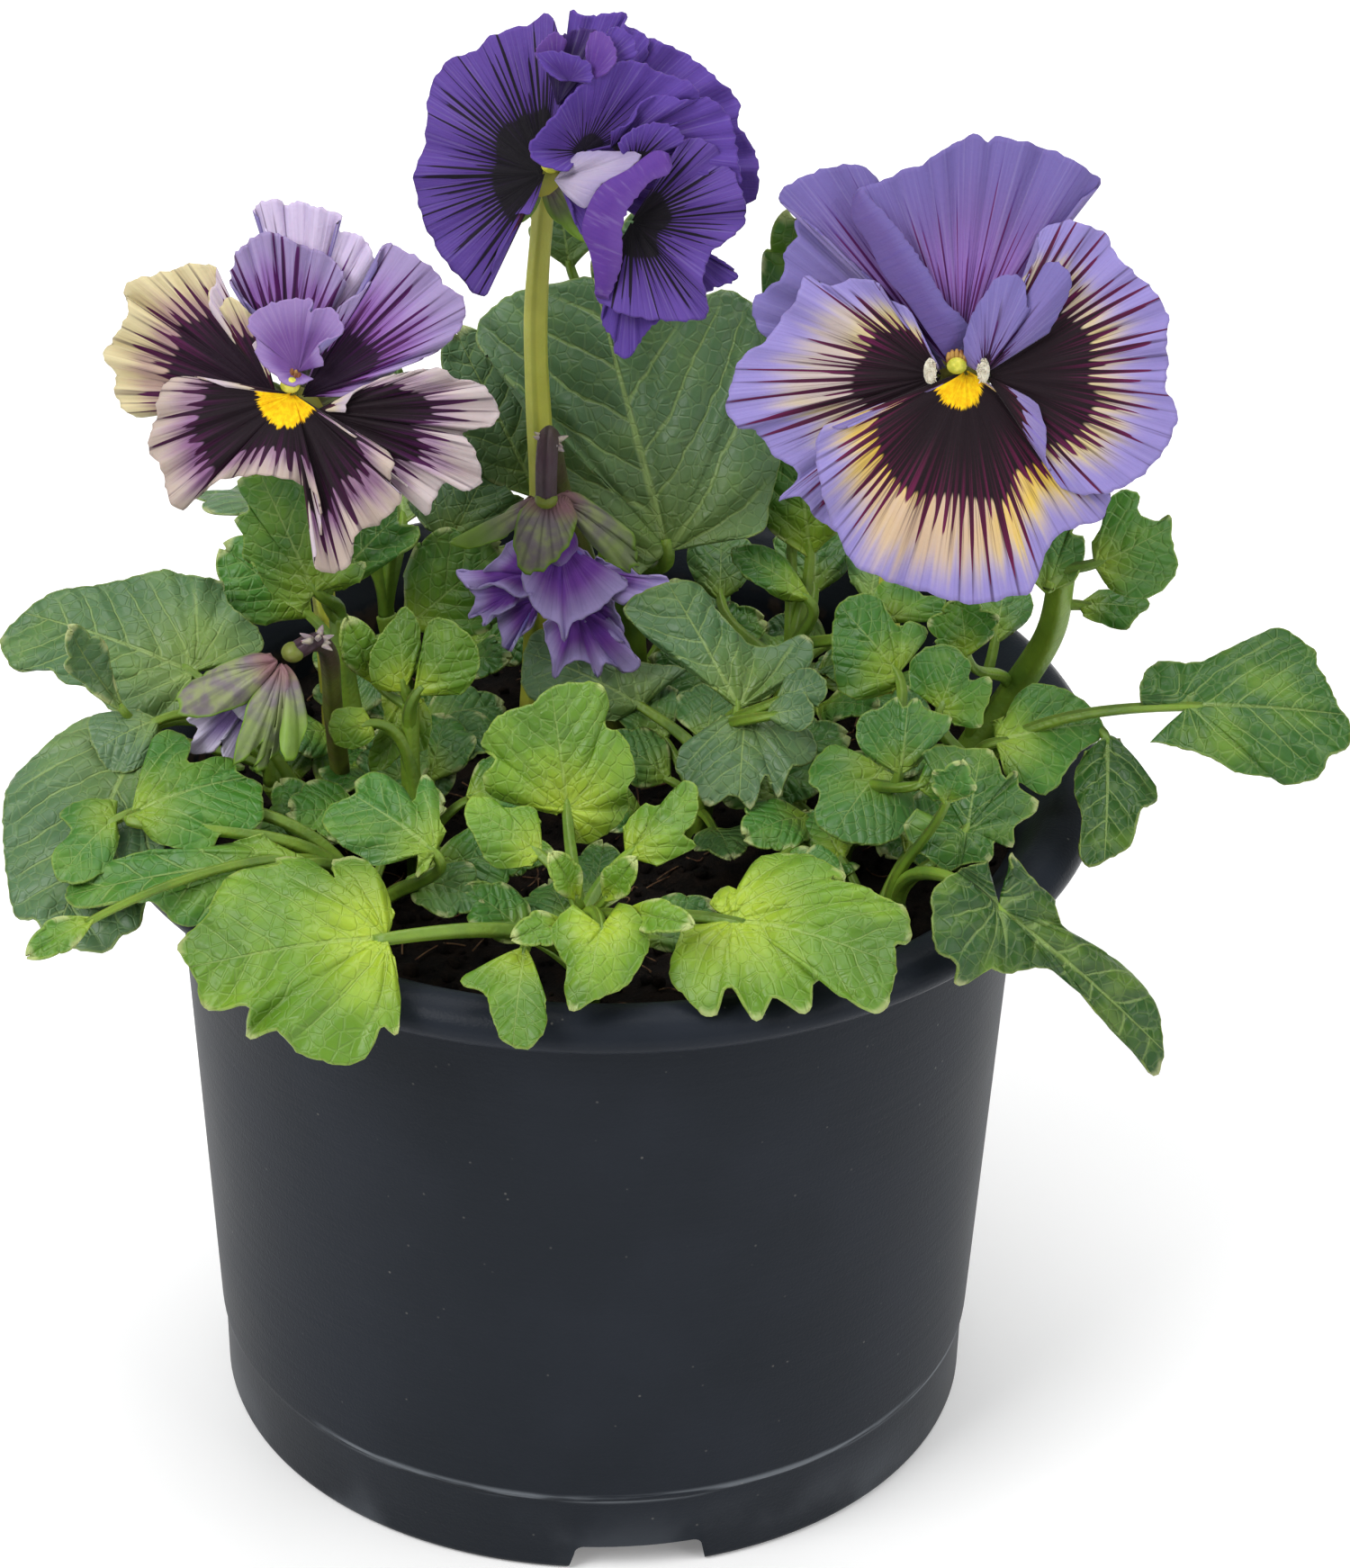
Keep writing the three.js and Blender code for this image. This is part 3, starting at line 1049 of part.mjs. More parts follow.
function mesh(body, name, finish) {
  const data = body.getMesh();
  const geometry = new THREE.BufferGeometry();
  geometry.setAttribute('position', new THREE.BufferAttribute(new Float32Array(data.vertProperties), 3));
  geometry.setIndex(new THREE.BufferAttribute(new Uint32Array(data.triVerts), 1));
  geometry.computeVertexNormals();
  const made = new THREE.Mesh(geometry, new THREE.MeshStandardMaterial(finish));
  made.name = name;
  return made;
}

function lathe(profile, sides) {
  const points = profile.map(([r, z]) => new THREE.Vector2(r, z));
  const geometry = new THREE.LatheGeometry(points, sides);
  geometry.rotateX(Math.PI / 2);
  return fromGeometry(geometry);
}

function upright(radius, low, high, x, y, sides) {
  const geometry = new THREE.CylinderGeometry(radius, radius, high - low, sides);
  geometry.rotateX(Math.PI / 2);
  geometry.translate(x, y, (low + high) / 2);
  return fromGeometry(geometry);
}

// A random number from 0 to 1 that is always the same for the same two whole numbers.
function chance(a, b) {
  const value = Math.sin(a * 127.1 + b * 311.7) * 43758.5453;
  return value - Math.floor(value);
}

// ---- Pot -------------------------------------------------------------------------------------
// Inside radius of the pot's wall at a height.
function wallInside(z) {
  const slope = (WALL_TOP_RADIUS - SEAM_RADIUS) / (POT_HEIGHT - 8 - SEAM_HEIGHT);
  return SEAM_RADIUS + (z - SEAM_HEIGHT) * slope - POT_WALL;
}

function makePot() {
  const floorTop = FLOOR_GAP + POT_WALL;
  const profile = [
    [0, 0],
    [PAD_RADIUS, 0],
    [PAD_RADIUS + 1.5, FLOOR_GAP],
    [FOOT_RADIUS - FOOT_WIDTH - 1, FLOOR_GAP],
    [FOOT_RADIUS - FOOT_WIDTH, 0],
    [FOOT_RADIUS - 0.9, 0],
    [FOOT_RADIUS, 0.9],
    [SEAM_RADIUS - 0.4, SEAM_HEIGHT - 0.5],
    [SEAM_RADIUS, SEAM_HEIGHT],
    [WALL_TOP_RADIUS, POT_HEIGHT - 8],
    [WALL_TOP_RADIUS + 2.4, POT_HEIGHT - 6.2],
    [LIP_RADIUS - 1.6, POT_HEIGHT - 5.2],
    [LIP_RADIUS, POT_HEIGHT - 3.4],
    [LIP_RADIUS - 1.2, POT_HEIGHT - 1],
    [LIP_RADIUS - 4.6, POT_HEIGHT],
    [WALL_TOP_RADIUS + 1.6, POT_HEIGHT - 2.6],
    [wallInside(POT_HEIGHT - 8) + 0.3, POT_HEIGHT - 7.6],
    [wallInside(SEAM_HEIGHT), SEAM_HEIGHT],
    [wallInside(floorTop) - 1.6, floorTop],
    [PAD_RADIUS + 1, floorTop],
    [PAD_RADIUS - 1.2, POT_WALL + 0.6],
    [0, POT_WALL + 0.6],
  ];
  const shellOfPot = lathe(profile, POT_SIDES);
  const cuts = [];
  for (let i = 0; i < NOTCH_COUNT; i += 1) {
    const angle = NOTCH_TURN + (i * 360) / NOTCH_COUNT;
    const outline = new THREE.Shape();
    outline.moveTo(-NOTCH_WIDTH / 2 - 1, -1);
    outline.lineTo(NOTCH_WIDTH / 2, -1);
    outline.lineTo(NOTCH_WIDTH / 2 - 1.1, NOTCH_HEIGHT - 0.8);
    outline.lineTo(NOTCH_WIDTH / 2 - 1.9, NOTCH_HEIGHT);
    outline.lineTo(-NOTCH_WIDTH / 2 + 1.7, NOTCH_HEIGHT);
    outline.lineTo(-NOTCH_WIDTH / 2 + 0.9, NOTCH_HEIGHT - 0.8);
    outline.closePath();
    const prism = new THREE.ExtrudeGeometry(outline, { depth: 12, bevelEnabled: false });
    prism.rotateX(Math.PI / 2);
    prism.rotateZ(Math.PI / 2);
    prism.translate(FOOT_RADIUS - FOOT_WIDTH - 2.5, 0, 0);
    prism.rotateZ((angle * Math.PI) / 180);
    cuts.push(fromGeometry(prism));
  }
  for (let i = 0; i < DRAIN_COUNT; i += 1) {
    const angle = (i * 2 * Math.PI) / DRAIN_COUNT;
    const x = DRAIN_CIRCLE * Math.cos(angle);
    const y = DRAIN_CIRCLE * Math.sin(angle);
    cuts.push(upright(DRAIN_RADIUS, FLOOR_GAP - 1, floorTop + 1, x, y, 8));
  }
  return weld(shellOfPot.subtract(wasm.Manifold.union(cuts)));
}

// ---- Peat --------------------------------------------------------------------------------------
function makePeat(roots) {
  const floorTop = FLOOR_GAP + POT_WALL + SEAT_GAP;
  const rings = [0.36, 0.7, 1];
  const low = [
    [0, POT_WALL + 0.6 + SEAT_GAP],
    [PAD_RADIUS - 1.7, POT_WALL + 0.6 + SEAT_GAP],
    [PAD_RADIUS + 0.7, floorTop],
    [wallInside(floorTop) - 2.2, floorTop],
    [wallInside(SEAM_HEIGHT) - SEAT_GAP - 0.1, SEAM_HEIGHT],
  ];
  const edge = wallInside(SOIL_TOP) - SEAT_GAP - 0.1;
  const inner = rings.slice(0, -1).reverse();
  const profile = low.concat([[edge, SOIL_TOP]], inner.map((f) => [edge * f, SOIL_TOP]));
  profile.push([0, SOIL_TOP]);
  const points = profile.map(([r, z]) => new THREE.Vector2(r, z));
  const geometry = new THREE.LatheGeometry(points, SOIL_SIDES);
  geometry.rotateX(Math.PI / 2);
  const position = geometry.getAttribute('position');
  for (let i = 0; i < position.count; i += 1) {
    const x = position.getX(i);
    const y = position.getY(i);
    const z = position.getZ(i);
    const fade = 1 - (Math.hypot(x, y) / edge) ** 6;
    if (z > SOIL_TOP - 1 && fade > 0.01) {
      const bump = chance(Math.round(x * 3), Math.round(y * 3)) * 2 - 0.6;
      position.setZ(i, z + fade * SOIL_BUMP * bump);
    }
  }
  const holes = roots.map(([x, y, r]) => {
    return upright(r + HOLE_GAP, SOIL_TOP + 2 - ROOT_DEPTH - 1 - SEAT_GAP, SOIL_TOP + 9, x, y, 5);
  });
  return weld(fromGeometry(geometry).subtract(wasm.Manifold.union(holes)));
}

// ---- Shoots --------------------------------------------------------------------------------------
function curveThrough(points) {
  return new THREE.CatmullRomCurve3(points.map(vec), false, 'centripetal');
}

// One shoot: its stem, and for every leaf a petiole and a blade, fused.
function makeShoot(shoot) {
  const curve = curveThrough(shoot.stem);
  const steps = Math.ceil(1.5 * (shoot.stem.length - 1));
  const solids = [stalk(curve, steps, STEM_SIDES, (u) => shoot.thick * (1 - 0.3 * u))];
  for (const leaf of shoot.leaves) {
    const { from, along, inside, radius } = leafSeat(leaf);
    const root = curve.getPointAt(leaf.at);
    const heading = new THREE.Vector3(from.x - root.x, from.y - root.y, 0).normalize();
    root.addScaledVector(heading, ROOT_SPREAD);
    root.z -= ROOT_SPREAD * (1 + heading.x);
    const away = from.distanceTo(root);
    const rise = root.clone().add(new THREE.Vector3(0, 0, 0.4 * away));
    const arrive = from.clone().addScaledVector(along, -0.35 * away);
    const path = new THREE.CubicBezierCurve3(root, rise, arrive, inside);
    solids.push(stalk(path, away > 12 ? 3 : 2, STALK_SIDES, (u) => radius * (1 - 0.35 * u)));
    solids.push(leaf.outline ? drawnBlade(leaf) : blade(leaf, LEAF_THICKNESS));
  }
  return fuse(solids, shoot.name);
}

// ---- Blooms --------------------------------------------------------------------------------------
const HUB_RADIUS = 3.7;
const HUB_DEPTH = 2.2;
const HUB_FRONT = 2.6;
const PEG_RADIUS = 1.6;

// The directions of a bloom: to its right, up and out, as seen from in front.
function bloomFrame(bloom) {
  const out = vec(bloom.facing).normalize();
  const up = new THREE.Vector3(0, 0, 1);
  up.addScaledVector(out, -up.dot(out)).normalize();
  const right = new THREE.Vector3().crossVectors(up, out);
  return { right, up, out };
}

// A point given as millimetres to the right of a bloom's throat, above it and out of it.
function bloomPoint(bloom, [x, y, z]) {
  const { right, up, out } = bloomFrame(bloom);
  return vec(bloom.throat).addScaledVector(right, x).addScaledVector(up, y).addScaledVector(out, z);
}

function petal(bloom, shape) {
  const foot = bloomPoint(bloom, shape.foot);
  const margin = shape.margin.map((p) => bloomPoint(bloom, p));
  const lift = bloomFrame(bloom).out.multiplyScalar(shape.lift);
  return fan(foot, margin, lift, PETAL_THICKNESS);
}

// How far behind its throat a bloom's petals begin.
function bloomBack(bloom) {
  return Math.min(...bloom.petals.map((shape) => shape.foot[2])) - HUB_DEPTH;
}

function makeBloom(bloom) {
  const { out } = bloomFrame(bloom);
  const throat = vec(bloom.throat);
  const back = throat.clone().addScaledVector(out, bloomBack(bloom));
  const front = throat.clone().addScaledVector(out, HUB_FRONT);
  const solids = [stalk(new THREE.LineCurve3(back, front), 1, 8, () => HUB_RADIUS)];
  for (const [x, y, low, high] of bloom.pegs) {
    const peg = new THREE.LineCurve3(bloomPoint(bloom, [x, y, low]), bloomPoint(bloom, [x, y, high]));
    solids.push(stalk(peg, 1, 6, () => PEG_RADIUS));
  }
  for (const shape of bloom.petals) solids.push(petal(bloom, shape));
  return fuse(solids, bloom.name);
}

function makeBloomStalk(bloom) {
  const { right, up, out } = bloomFrame(bloom);
  const throat = vec(bloom.throat);
  const seat = throat.clone().addScaledVector(out, bloomBack(bloom) - SEAT_GAP);
  const path = bloom.stalk.map(vec);
  const receptacle = seat.clone().addScaledVector(out, -3.2);
  path[path.length - 1] = receptacle;
  const curve = new THREE.CatmullRomCurve3(path, false, 'centripetal');
  const solids = [stalk(curve, 9, STEM_SIDES, (u) => bloom.thick * (1 - 0.35 * u))];
  const cup = new THREE.LineCurve3(receptacle.clone().addScaledVector(out, -1.2), seat);
  solids.push(stalk(cup, 1, 6, (u) => 1.6 + 1.6 * u));
  for (let i = 0; i < 5; i += 1) {
    const angle = ((90 + i * 72) * Math.PI) / 180;
    const spoke = right.clone().multiplyScalar(Math.cos(angle)).addScaledVector(up, Math.sin(angle));
    const from = receptacle.clone().addScaledVector(spoke, 0.8).addScaledVector(out, 1);
    const to = from.clone().addScaledVector(spoke, 9).addScaledVector(out, -1.4);
    solids.push(blade({
      from: from.toArray(), to: to.toArray(), face: out.toArray(),
      wide: 4.4, peak: 0.4, lobes: 1, cut: 0.1, arch: 0.2, cup: 0, wave: 0, heart: 0,
    }, LEAF_THICKNESS));
  }
  return fuse(solids, `${bloom.name}_stalk`);
}

// ---- Buds ------------------------------------------------------------------------------------------
function makeBudStalk(bud) {
  const curve = curveThrough(bud.stalk);
  const neck = vec(bud.neck);
  const solids = [stalk(curve, 10, STEM_SIDES, (u) => bud.thick * (1 - 0.2 * u))];
  const cap = new THREE.SphereGeometry(NECK_RADIUS + 0.5, 6, 4);
  cap.translate(neck.x, neck.y, neck.z);
  solids.push(fromGeometry(cap));
  for (const sepal of bud.sepals) {
    solids.push(blade({
      from: bud.neck, to: sepal.to, face: sepal.face, wide: sepal.wide,
      peak: 0.45, lobes: 1, cut: 0.1, arch: -sepal.push, cup: -0.2, wave: 0, heart: 0,
    }, LEAF_THICKNESS));
  }
  return fuse(solids, `${bud.name}_stalk`);
}

function makeBudPetals(bud) {
  const centre = new THREE.Vector3();
  for (const shape of bud.petals) centre.add(vec(shape.to));
  centre.divideScalar(bud.petals.length);
  const axis = centre.sub(vec(bud.neck)).normalize();
  const core = vec(bud.neck).addScaledVector(axis, NECK_RADIUS + 0.5 + BUD_CORE_DROP);
  const end = core.clone().addScaledVector(axis, 6);
  const solids = [stalk(new THREE.LineCurve3(core, end), 1, 7, () => NECK_RADIUS)];
  for (const shape of bud.petals) {
    solids.push(blade({
      from: core.clone().addScaledVector(axis, 0.8).toArray(), to: shape.to, face: shape.face,
      wide: shape.wide, peak: 0.68, lobes: 2, cut: 0.16, arch: -1.2, cup: -0.1, wave: 0.4, heart: 0,
    }, PETAL_THICKNESS));
  }
  return fuse(solids, bud.name);
}

// ---- The whole plant -----------------------------------------------------------------------------
const plant = new THREE.Group();
plant.name = 'potted_horned_violet';
const roots = [];
for (const shoot of SHOOTS) roots.push([shoot.stem[0][0], shoot.stem[0][1], shoot.thick]);
for (const bloom of BLOOMS) roots.push([bloom.stalk[0][0], bloom.stalk[0][1], bloom.thick]);
for (const bud of BUDS) roots.push([bud.stalk[0][0], bud.stalk[0][1], bud.thick]);

plant.add(mesh(makePot(), 'pot', POT_BLACK));
plant.add(mesh(makePeat(roots), 'peat', PEAT_BROWN));
for (const shoot of SHOOTS) plant.add(mesh(makeShoot(shoot), shoot.name, shoot.finish));
for (const bloom of BLOOMS) {
  plant.add(mesh(makeBloomStalk(bloom), `${bloom.name}_stalk`, STALK_GREEN));
  plant.add(mesh(makeBloom(bloom), bloom.name, bloom.finish));
}
for (const bud of BUDS) {
  plant.add(mesh(makeBudStalk(bud), `${bud.name}_stalk`, STALK_GREEN));
  plant.add(mesh(makeBudPetals(bud), bud.name, bud.finish));
}

export default plant;
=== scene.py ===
"""Dressed model of a potted horned violet: pot, peat, leafy shoots, blooms and buds.

Lengths in the tables are millimetres in the frame's own axes: +Z up, -Y towards the side that the
blooms face, origin at the middle of the pot's underside.
"""

from __future__ import annotations

import logging
import math
from dataclasses import dataclass
from enum import IntEnum
from typing import Sequence, Union

import bpy
import numpy as np
from mathutils import Matrix


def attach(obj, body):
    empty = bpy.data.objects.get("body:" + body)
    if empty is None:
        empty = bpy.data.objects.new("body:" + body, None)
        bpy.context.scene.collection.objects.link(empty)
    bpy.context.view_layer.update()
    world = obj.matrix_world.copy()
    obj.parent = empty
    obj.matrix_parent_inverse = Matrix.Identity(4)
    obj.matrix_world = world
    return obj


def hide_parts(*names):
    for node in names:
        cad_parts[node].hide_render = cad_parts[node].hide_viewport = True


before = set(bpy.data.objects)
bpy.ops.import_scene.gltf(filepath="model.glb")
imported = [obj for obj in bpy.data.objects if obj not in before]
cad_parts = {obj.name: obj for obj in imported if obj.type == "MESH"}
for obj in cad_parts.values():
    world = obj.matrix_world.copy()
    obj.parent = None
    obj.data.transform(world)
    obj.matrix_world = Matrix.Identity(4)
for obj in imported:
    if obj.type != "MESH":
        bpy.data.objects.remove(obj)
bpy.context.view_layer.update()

LOG = logging.getLogger("violet")
MM = 0.001
SEED = 20
POT_HEIGHT = 96.0

# The camera's place and directions. What faces the camera is drawn on a sheet of small squares. SHEET
# holds the square that the camera looks at, and how many squares wide one unit is at a depth of one.
EYE = np.array([9.8, -792.0, 585.3])
EYE_RIGHT = np.array([1.0, 0.009, 0.015])
EYE_UP = np.array([-0.017, 0.53, 0.848])
EYE_AWAY = np.array([0.0, 0.848, -0.53])
SHEET = (750.0, 871.0, 8000.0)

UP = np.array([0.0, 0.0, 1.0])
Vec = tuple[float, float, float]
Array = np.ndarray
Chance = np.random.Generator
Value = Union[float, tuple, "Signal"]
Color = Union[str, tuple, "Signal"]


# ---- Numbers and curves ---------------------------------------------------------------------


def unit(vector: Array) -> Array:
    """Scales vectors to length one.

    Args:
        vector: one vector or an array of them, along the last axis.

    Returns:
        The same directions, each of length one.
    """
    return vector / np.maximum(np.linalg.norm(vector, axis=-1, keepdims=True), 1e-9)


def smooth_step(low: float, high: float, value: Array) -> Array:
    """Rises smoothly from 0 to 1.

    Args:
        low: where the rise starts.
        high: where it ends.
        value: where it is measured.

    Returns:
        The height of the rise at each value.
    """
    x = np.clip((value - low) / (high - low), 0.0, 1.0)
    return x * x * (3.0 - 2.0 * x)


def ripple(t: Array, waves: float, seed: float) -> Array:
    """An uneven wave, the sum of three sines whose counts don't fit each other.

    Args:
        t: where along the edge, from -1 to 1.
        waves: about how many waves fit on the edge.
        seed: shifts the wave, so that no two edges are alike.

    Returns:
        The wave's height, roughly from -1 to 1.
    """
    a = np.sin(waves * np.pi * t + seed)
    b = np.sin(waves * 1.73 * np.pi * t + 2.1 * seed + 1.0)
    c = np.sin(waves * 0.61 * np.pi * t + 3.7 * seed + 2.0)
    return 0.5 * a + 0.3 * b + 0.3 * c


def bezier(points: Sequence[Array], count: int) -> Array:
    """A cubic curve.

    Args:
        points: its four control points.
        count: how many points to take on it.

    Returns:
        The points, as (count, 3).
    """
    u = np.linspace(0.0, 1.0, count)[:, None]
    a, b, c, d = (np.asarray(p, float) for p in points)
    return (1 - u) ** 3 * a + 3 * (1 - u) ** 2 * u * b + 3 * (1 - u) * u * u * c + u**3 * d


def through(points: Sequence[Vec], count: int) -> Array:
    """A centripetal Catmull-Rom curve through points, taken at even lengths.

    Args:
        points: what it passes through.
        count: how many points to take on it.

    Returns:
        The points, as (count, 3).
    """
    p = np.asarray(points, float)
    p = np.vstack([2 * p[0] - p[1], p, 2 * p[-1] - p[-2]])
    knots = np.sqrt(np.linalg.norm(np.diff(p, axis=0), axis=1))
    pieces = []
    for i in range(len(points) - 1):
        before, here, after = knots[i : i + 3]
        p0, p1, p2, p3 = p[i : i + 4]
        leave = (p1 - p0) / before - (p2 - p0) / (before + here) + (p2 - p1) / here
        arrive = (p2 - p1) / here - (p3 - p1) / (here + after) + (p3 - p2) / after
        leave, arrive = leave * here, arrive * here
        u = np.linspace(0.0, 1.0, 40)[:, None]
        cubic = 2 * p1 - 2 * p2 + leave + arrive
        square = -3 * p1 + 3 * p2 - 2 * leave - arrive
        pieces.append(p1 + leave * u + square * u**2 + cubic * u**3)
    line = np.vstack(pieces)
    far = np.concatenate([[0], np.cumsum(np.linalg.norm(np.diff(line, axis=0), axis=1))])
    even = np.linspace(0.0, far[-1], count)
    return np.stack([np.interp(even, far, line[:, k]) for k in range(3)], axis=1)


# ---- Meshes ----------------------------------------------------------------------------------


def closed_rings(count: int, sides: int) -> Array:
    """The faces of a stack of rings, closed by a point at each end, facing outwards if the rings
    turn anticlockwise as seen from the last.

    Args:
        count: how many rings there are.
        sides: points in a ring.

    Returns:
        (n, 4) corners. The two end points come after the rings', and a triangle repeats its last.
    """
    index = np.arange(count * sides).reshape(count, sides)
    beside = np.roll(index, -1, axis=1)
    wall = np.stack([index[:-1], beside[:-1], beside[1:], index[1:]], -1).reshape(-1, 4)
    first = np.full(sides, count * sides)
    start = np.stack([beside[0], index[0], first, first], -1)
    end = np.stack([index[-1], beside[-1], first + 1, first + 1], -1)
    return np.vstack([wall, start, end])


class Mesher:
    """Gathers closed surfaces into one mesh with three maps.

    The map "paint" holds the place on a blade, petal or stalk. The map "tone" holds a leaf's age
    and how strong its relief is, or how far a petal's blotch reaches and the place from side to
    side. The map "rim" holds the centimetres from a leaf's margin and the nearness to a lobe's tip.
    """

    def __init__(self) -> None:
        """Starts with nothing gathered."""
        self.points: list[Array] = []
        self.quads: list[Array] = []
        self.paint: list[Array] = []
        self.tone: list[Array] = []
        self.slots: list[Array] = []
        self.count = 0

    def add(
        self, points: Array, quads: Array, paint: Array, tone: Union[tuple, Array], slot: Union[int, Array]
    ) -> None:
        """Adds one closed surface.

        Args:
            points: (n, 3) in millimetres.
            quads: (m, 4) corners; a triangle repeats its last corner.
            paint: (n, 2) or (n, 4), what the maps "paint" and "rim" hold at each point.
            tone: two values for all of it, or for each point.
            slot: which of the mesh's finishes it takes, or each face takes.
        """
        self.points.append(points)
        self.quads.append(quads + self.count)
        self.paint.append(np.pad(paint, ((0, 0), (0, 4 - paint.shape[1]))))
        self.tone.append(np.broadcast_to(np.asarray(tone, float), (len(points), 2)))
        self.slots.append(np.broadcast_to(slot, len(quads)))
        self.count += len(points)

    def shell(
        self,
        sheet: Array,
        paint: Array,
        tone: Union[tuple, Array],
        slot: int,
        thickness: float,
        under: int | None = None,
    ) -> None:
        """Adds a sheet as a thin closed shell: the sheet pushed half its thickness both ways along
        its normal, thinner at the edges, with a strip all round that joins the two faces.

        Args:
            sheet: (rows, columns, 3) points in millimetres.
            paint: (rows, columns, 2 or 4), what the maps hold.
            tone: two values for all of it, or for each point.
            slot: which finish the upper face takes.
            thickness: of the sheet, in millimetres.
            under: which finish the underside takes, if another.
        """
        rows, cols = sheet.shape[:2]
        normal = unit(np.cross(np.gradient(sheet, axis=0), np.gradient(sheet, axis=1)))
        t = np.linspace(-1.0, 1.0, cols)[None, :, None]
        half = 0.5 * thickness * (1.0 - 0.4 * t**6)
        top = (sheet + normal * half).reshape(-1, 3)
        low = (sheet - normal * half).reshape(-1, 3)
        index = np.arange(rows * cols).reshape(rows, cols)
        face = np.stack([index[:-1, :-1], index[1:, :-1], index[1:, 1:], index[:-1, 1:]], -1)
        face = face.reshape(-1, 4)
        rim = np.concatenate([index[:-1, 0], index[-1, :-1], index[:0:-1, -1], index[0, :0:-1]])
        after = np.roll(rim, -1)
        back = rows * cols
        strip = np.stack([after, rim, rim + back, after + back], -1)
        quads = np.vstack([face, face[:, ::-1] + back, strip])
        flat = paint.reshape(rows * cols, -1)
        if isinstance(tone, np.ndarray):
            tone = np.vstack([tone.reshape(-1, 2)] * 2)
        low_slot = slot if under is None else under
        slots = np.repeat([slot, low_slot, slot], [len(face), len(face), len(strip)])
        self.add(np.vstack([top, low]), quads, np.vstack([flat, flat]), tone, slots)

    def tube(
        self, path: Array, radii: Array, sides: int, tone: tuple, slot: int, ribs: float = 0.05
    ) -> None:
        """Adds a closed stalk along a path: rings of points about each path point, with faint ribs.

        Args:
            path: (n, 3) points in millimetres.
            radii: the radius at each of them.
            sides: points in a ring.
            tone: two values for all of it.
            slot: which finish it takes.
            ribs: how deep the ribs are, as a part of the radius.
        """
        tangent = unit(np.gradient(path, axis=0))
        mean = unit(path[-1] - path[0] + 1e-6)
        guide = np.eye(3)[int(np.argmin(np.abs(mean)))]
        across = unit(np.cross(tangent, guide))
        up = np.cross(tangent, across)
        angle = np.linspace(0, 2 * np.pi, sides, endpoint=False)
        wide = 1.0 + ribs * np.cos(4 * angle)
        ring = across[:, None] * np.cos(angle)[None, :, None] - up[:, None] * np.sin(angle)[None, :, None]
        points = path[:, None] + ring * (radii[:, None] * wide[None])[..., None]
        count = len(path)
        points = np.vstack([points.reshape(-1, 3), path[:1], path[-1:]])
        # These rings turn the other way, so every face is turned over.
        quads = closed_rings(count, sides)
        triangle = quads[:, 2:3] == quads[:, 3:]
        quads = np.where(triangle, quads[:, [1, 0, 2, 3]], quads[:, [0, 3, 2, 1]])
        along = np.repeat(np.linspace(0, 1, count), sides)
        around = np.tile(np.linspace(-1, 1, sides), count)
        paint = np.vstack([np.stack([along, around], -1), [[0.0, 0.0], [1.0, 0.0]]])
        self.add(points, quads, paint, tone, slot)

    def ball(
        self, centre: Array, radii: Array, axes: Array, tone: tuple, slot: int, size: int
    ) -> None:
        """Adds an egg shape: a sphere's grid stretched along three directions.

        Args:
            centre: its middle.
            radii: its three half lengths.
            axes: (3, 3), the three directions, one a row.
            tone: two values for all of it.
            slot: which finish it takes.
            size: how fine its grid is.
        """
        v = np.linspace(-0.5 * np.pi, 0.5 * np.pi, size)[1:-1]
        angle = np.linspace(0, 2 * np.pi, size, endpoint=False)
        ring = np.stack([np.cos(angle), np.sin(angle)], -1)
        grid = np.concatenate(
            [np.cos(v)[:, None, None] * ring[None], np.repeat(np.sin(v)[:, None, None], size, 1)], -1
        )
        points = np.vstack([grid.reshape(-1, 3), [[0, 0, -1.0], [0, 0, 1.0]]])
        points = centre + (points * radii) @ axes
        self.add(points, closed_rings(len(v), size), np.zeros((len(points), 2)), tone, slot)

    def build(self, name: str, finishes: Sequence[bpy.types.Material]) -> bpy.types.Object:
        """Makes the mesh object.

        Args:
            name: of the piece.
            finishes: its materials, in the order of the slots.

        Returns:
            The new object, in the scene, at the origin.
        """
        points = np.vstack(self.points) * MM
        quads = np.vstack(self.quads)
        triangle = quads[:, 2] == quads[:, 3]
        totals = np.where(triangle, 3, 4)
        corners = quads[np.stack([np.ones_like(triangle)] * 3 + [~triangle], -1)]
        mesh = bpy.data.meshes.new(name)
        mesh.vertices.add(len(points))
        mesh.vertices.foreach_set("co", points.astype(np.float32).ravel())
        mesh.loops.add(len(corners))
        mesh.loops.foreach_set("vertex_index", corners.astype(np.int32))
        mesh.polygons.add(len(quads))
        starts = np.concatenate([[0], np.cumsum(totals)[:-1]])
        mesh.polygons.foreach_set("loop_start", starts.astype(np.int32))
        mesh.polygons.foreach_set("material_index", np.concatenate(self.slots).astype(np.int32))
        mesh.update(calc_edges=True)
        mesh.polygons.foreach_set("use_smooth", np.ones(len(quads), bool))
        values = np.hstack([np.vstack(self.paint), np.vstack(self.tone)])[corners]
        for label, first in (("paint", 0), ("rim", 2), ("tone", 4)):
            layer = mesh.uv_layers.new(name=label)
            layer.data.foreach_set("uv", values[:, first : first + 2].astype(np.float32).ravel())
        for finish in finishes:
            mesh.materials.append(finish)
        mesh.validate(clean_customdata=False)
        made = bpy.data.objects.new(name, mesh)
        bpy.context.scene.collection.objects.link(made)
        return made


# ---- Finishes --------------------------------------------------------------------------------


def linear(code: str) -> tuple[float, float, float, float]:
    """Turns an sRGB hex colour into linear values.

    Args:
        code: such as "8a7cc8".

    Returns:
        Linear red, green and blue, and an alpha of 1.
    """
    parts = [int(code[i : i + 2], 16) / 255.0 for i in (0, 2, 4)]
    made = [c / 12.92 if c <= 0.04045 else ((c + 0.055) / 1.055) ** 2.4 for c in parts]
    return (made[0], made[1], made[2], 1.0)


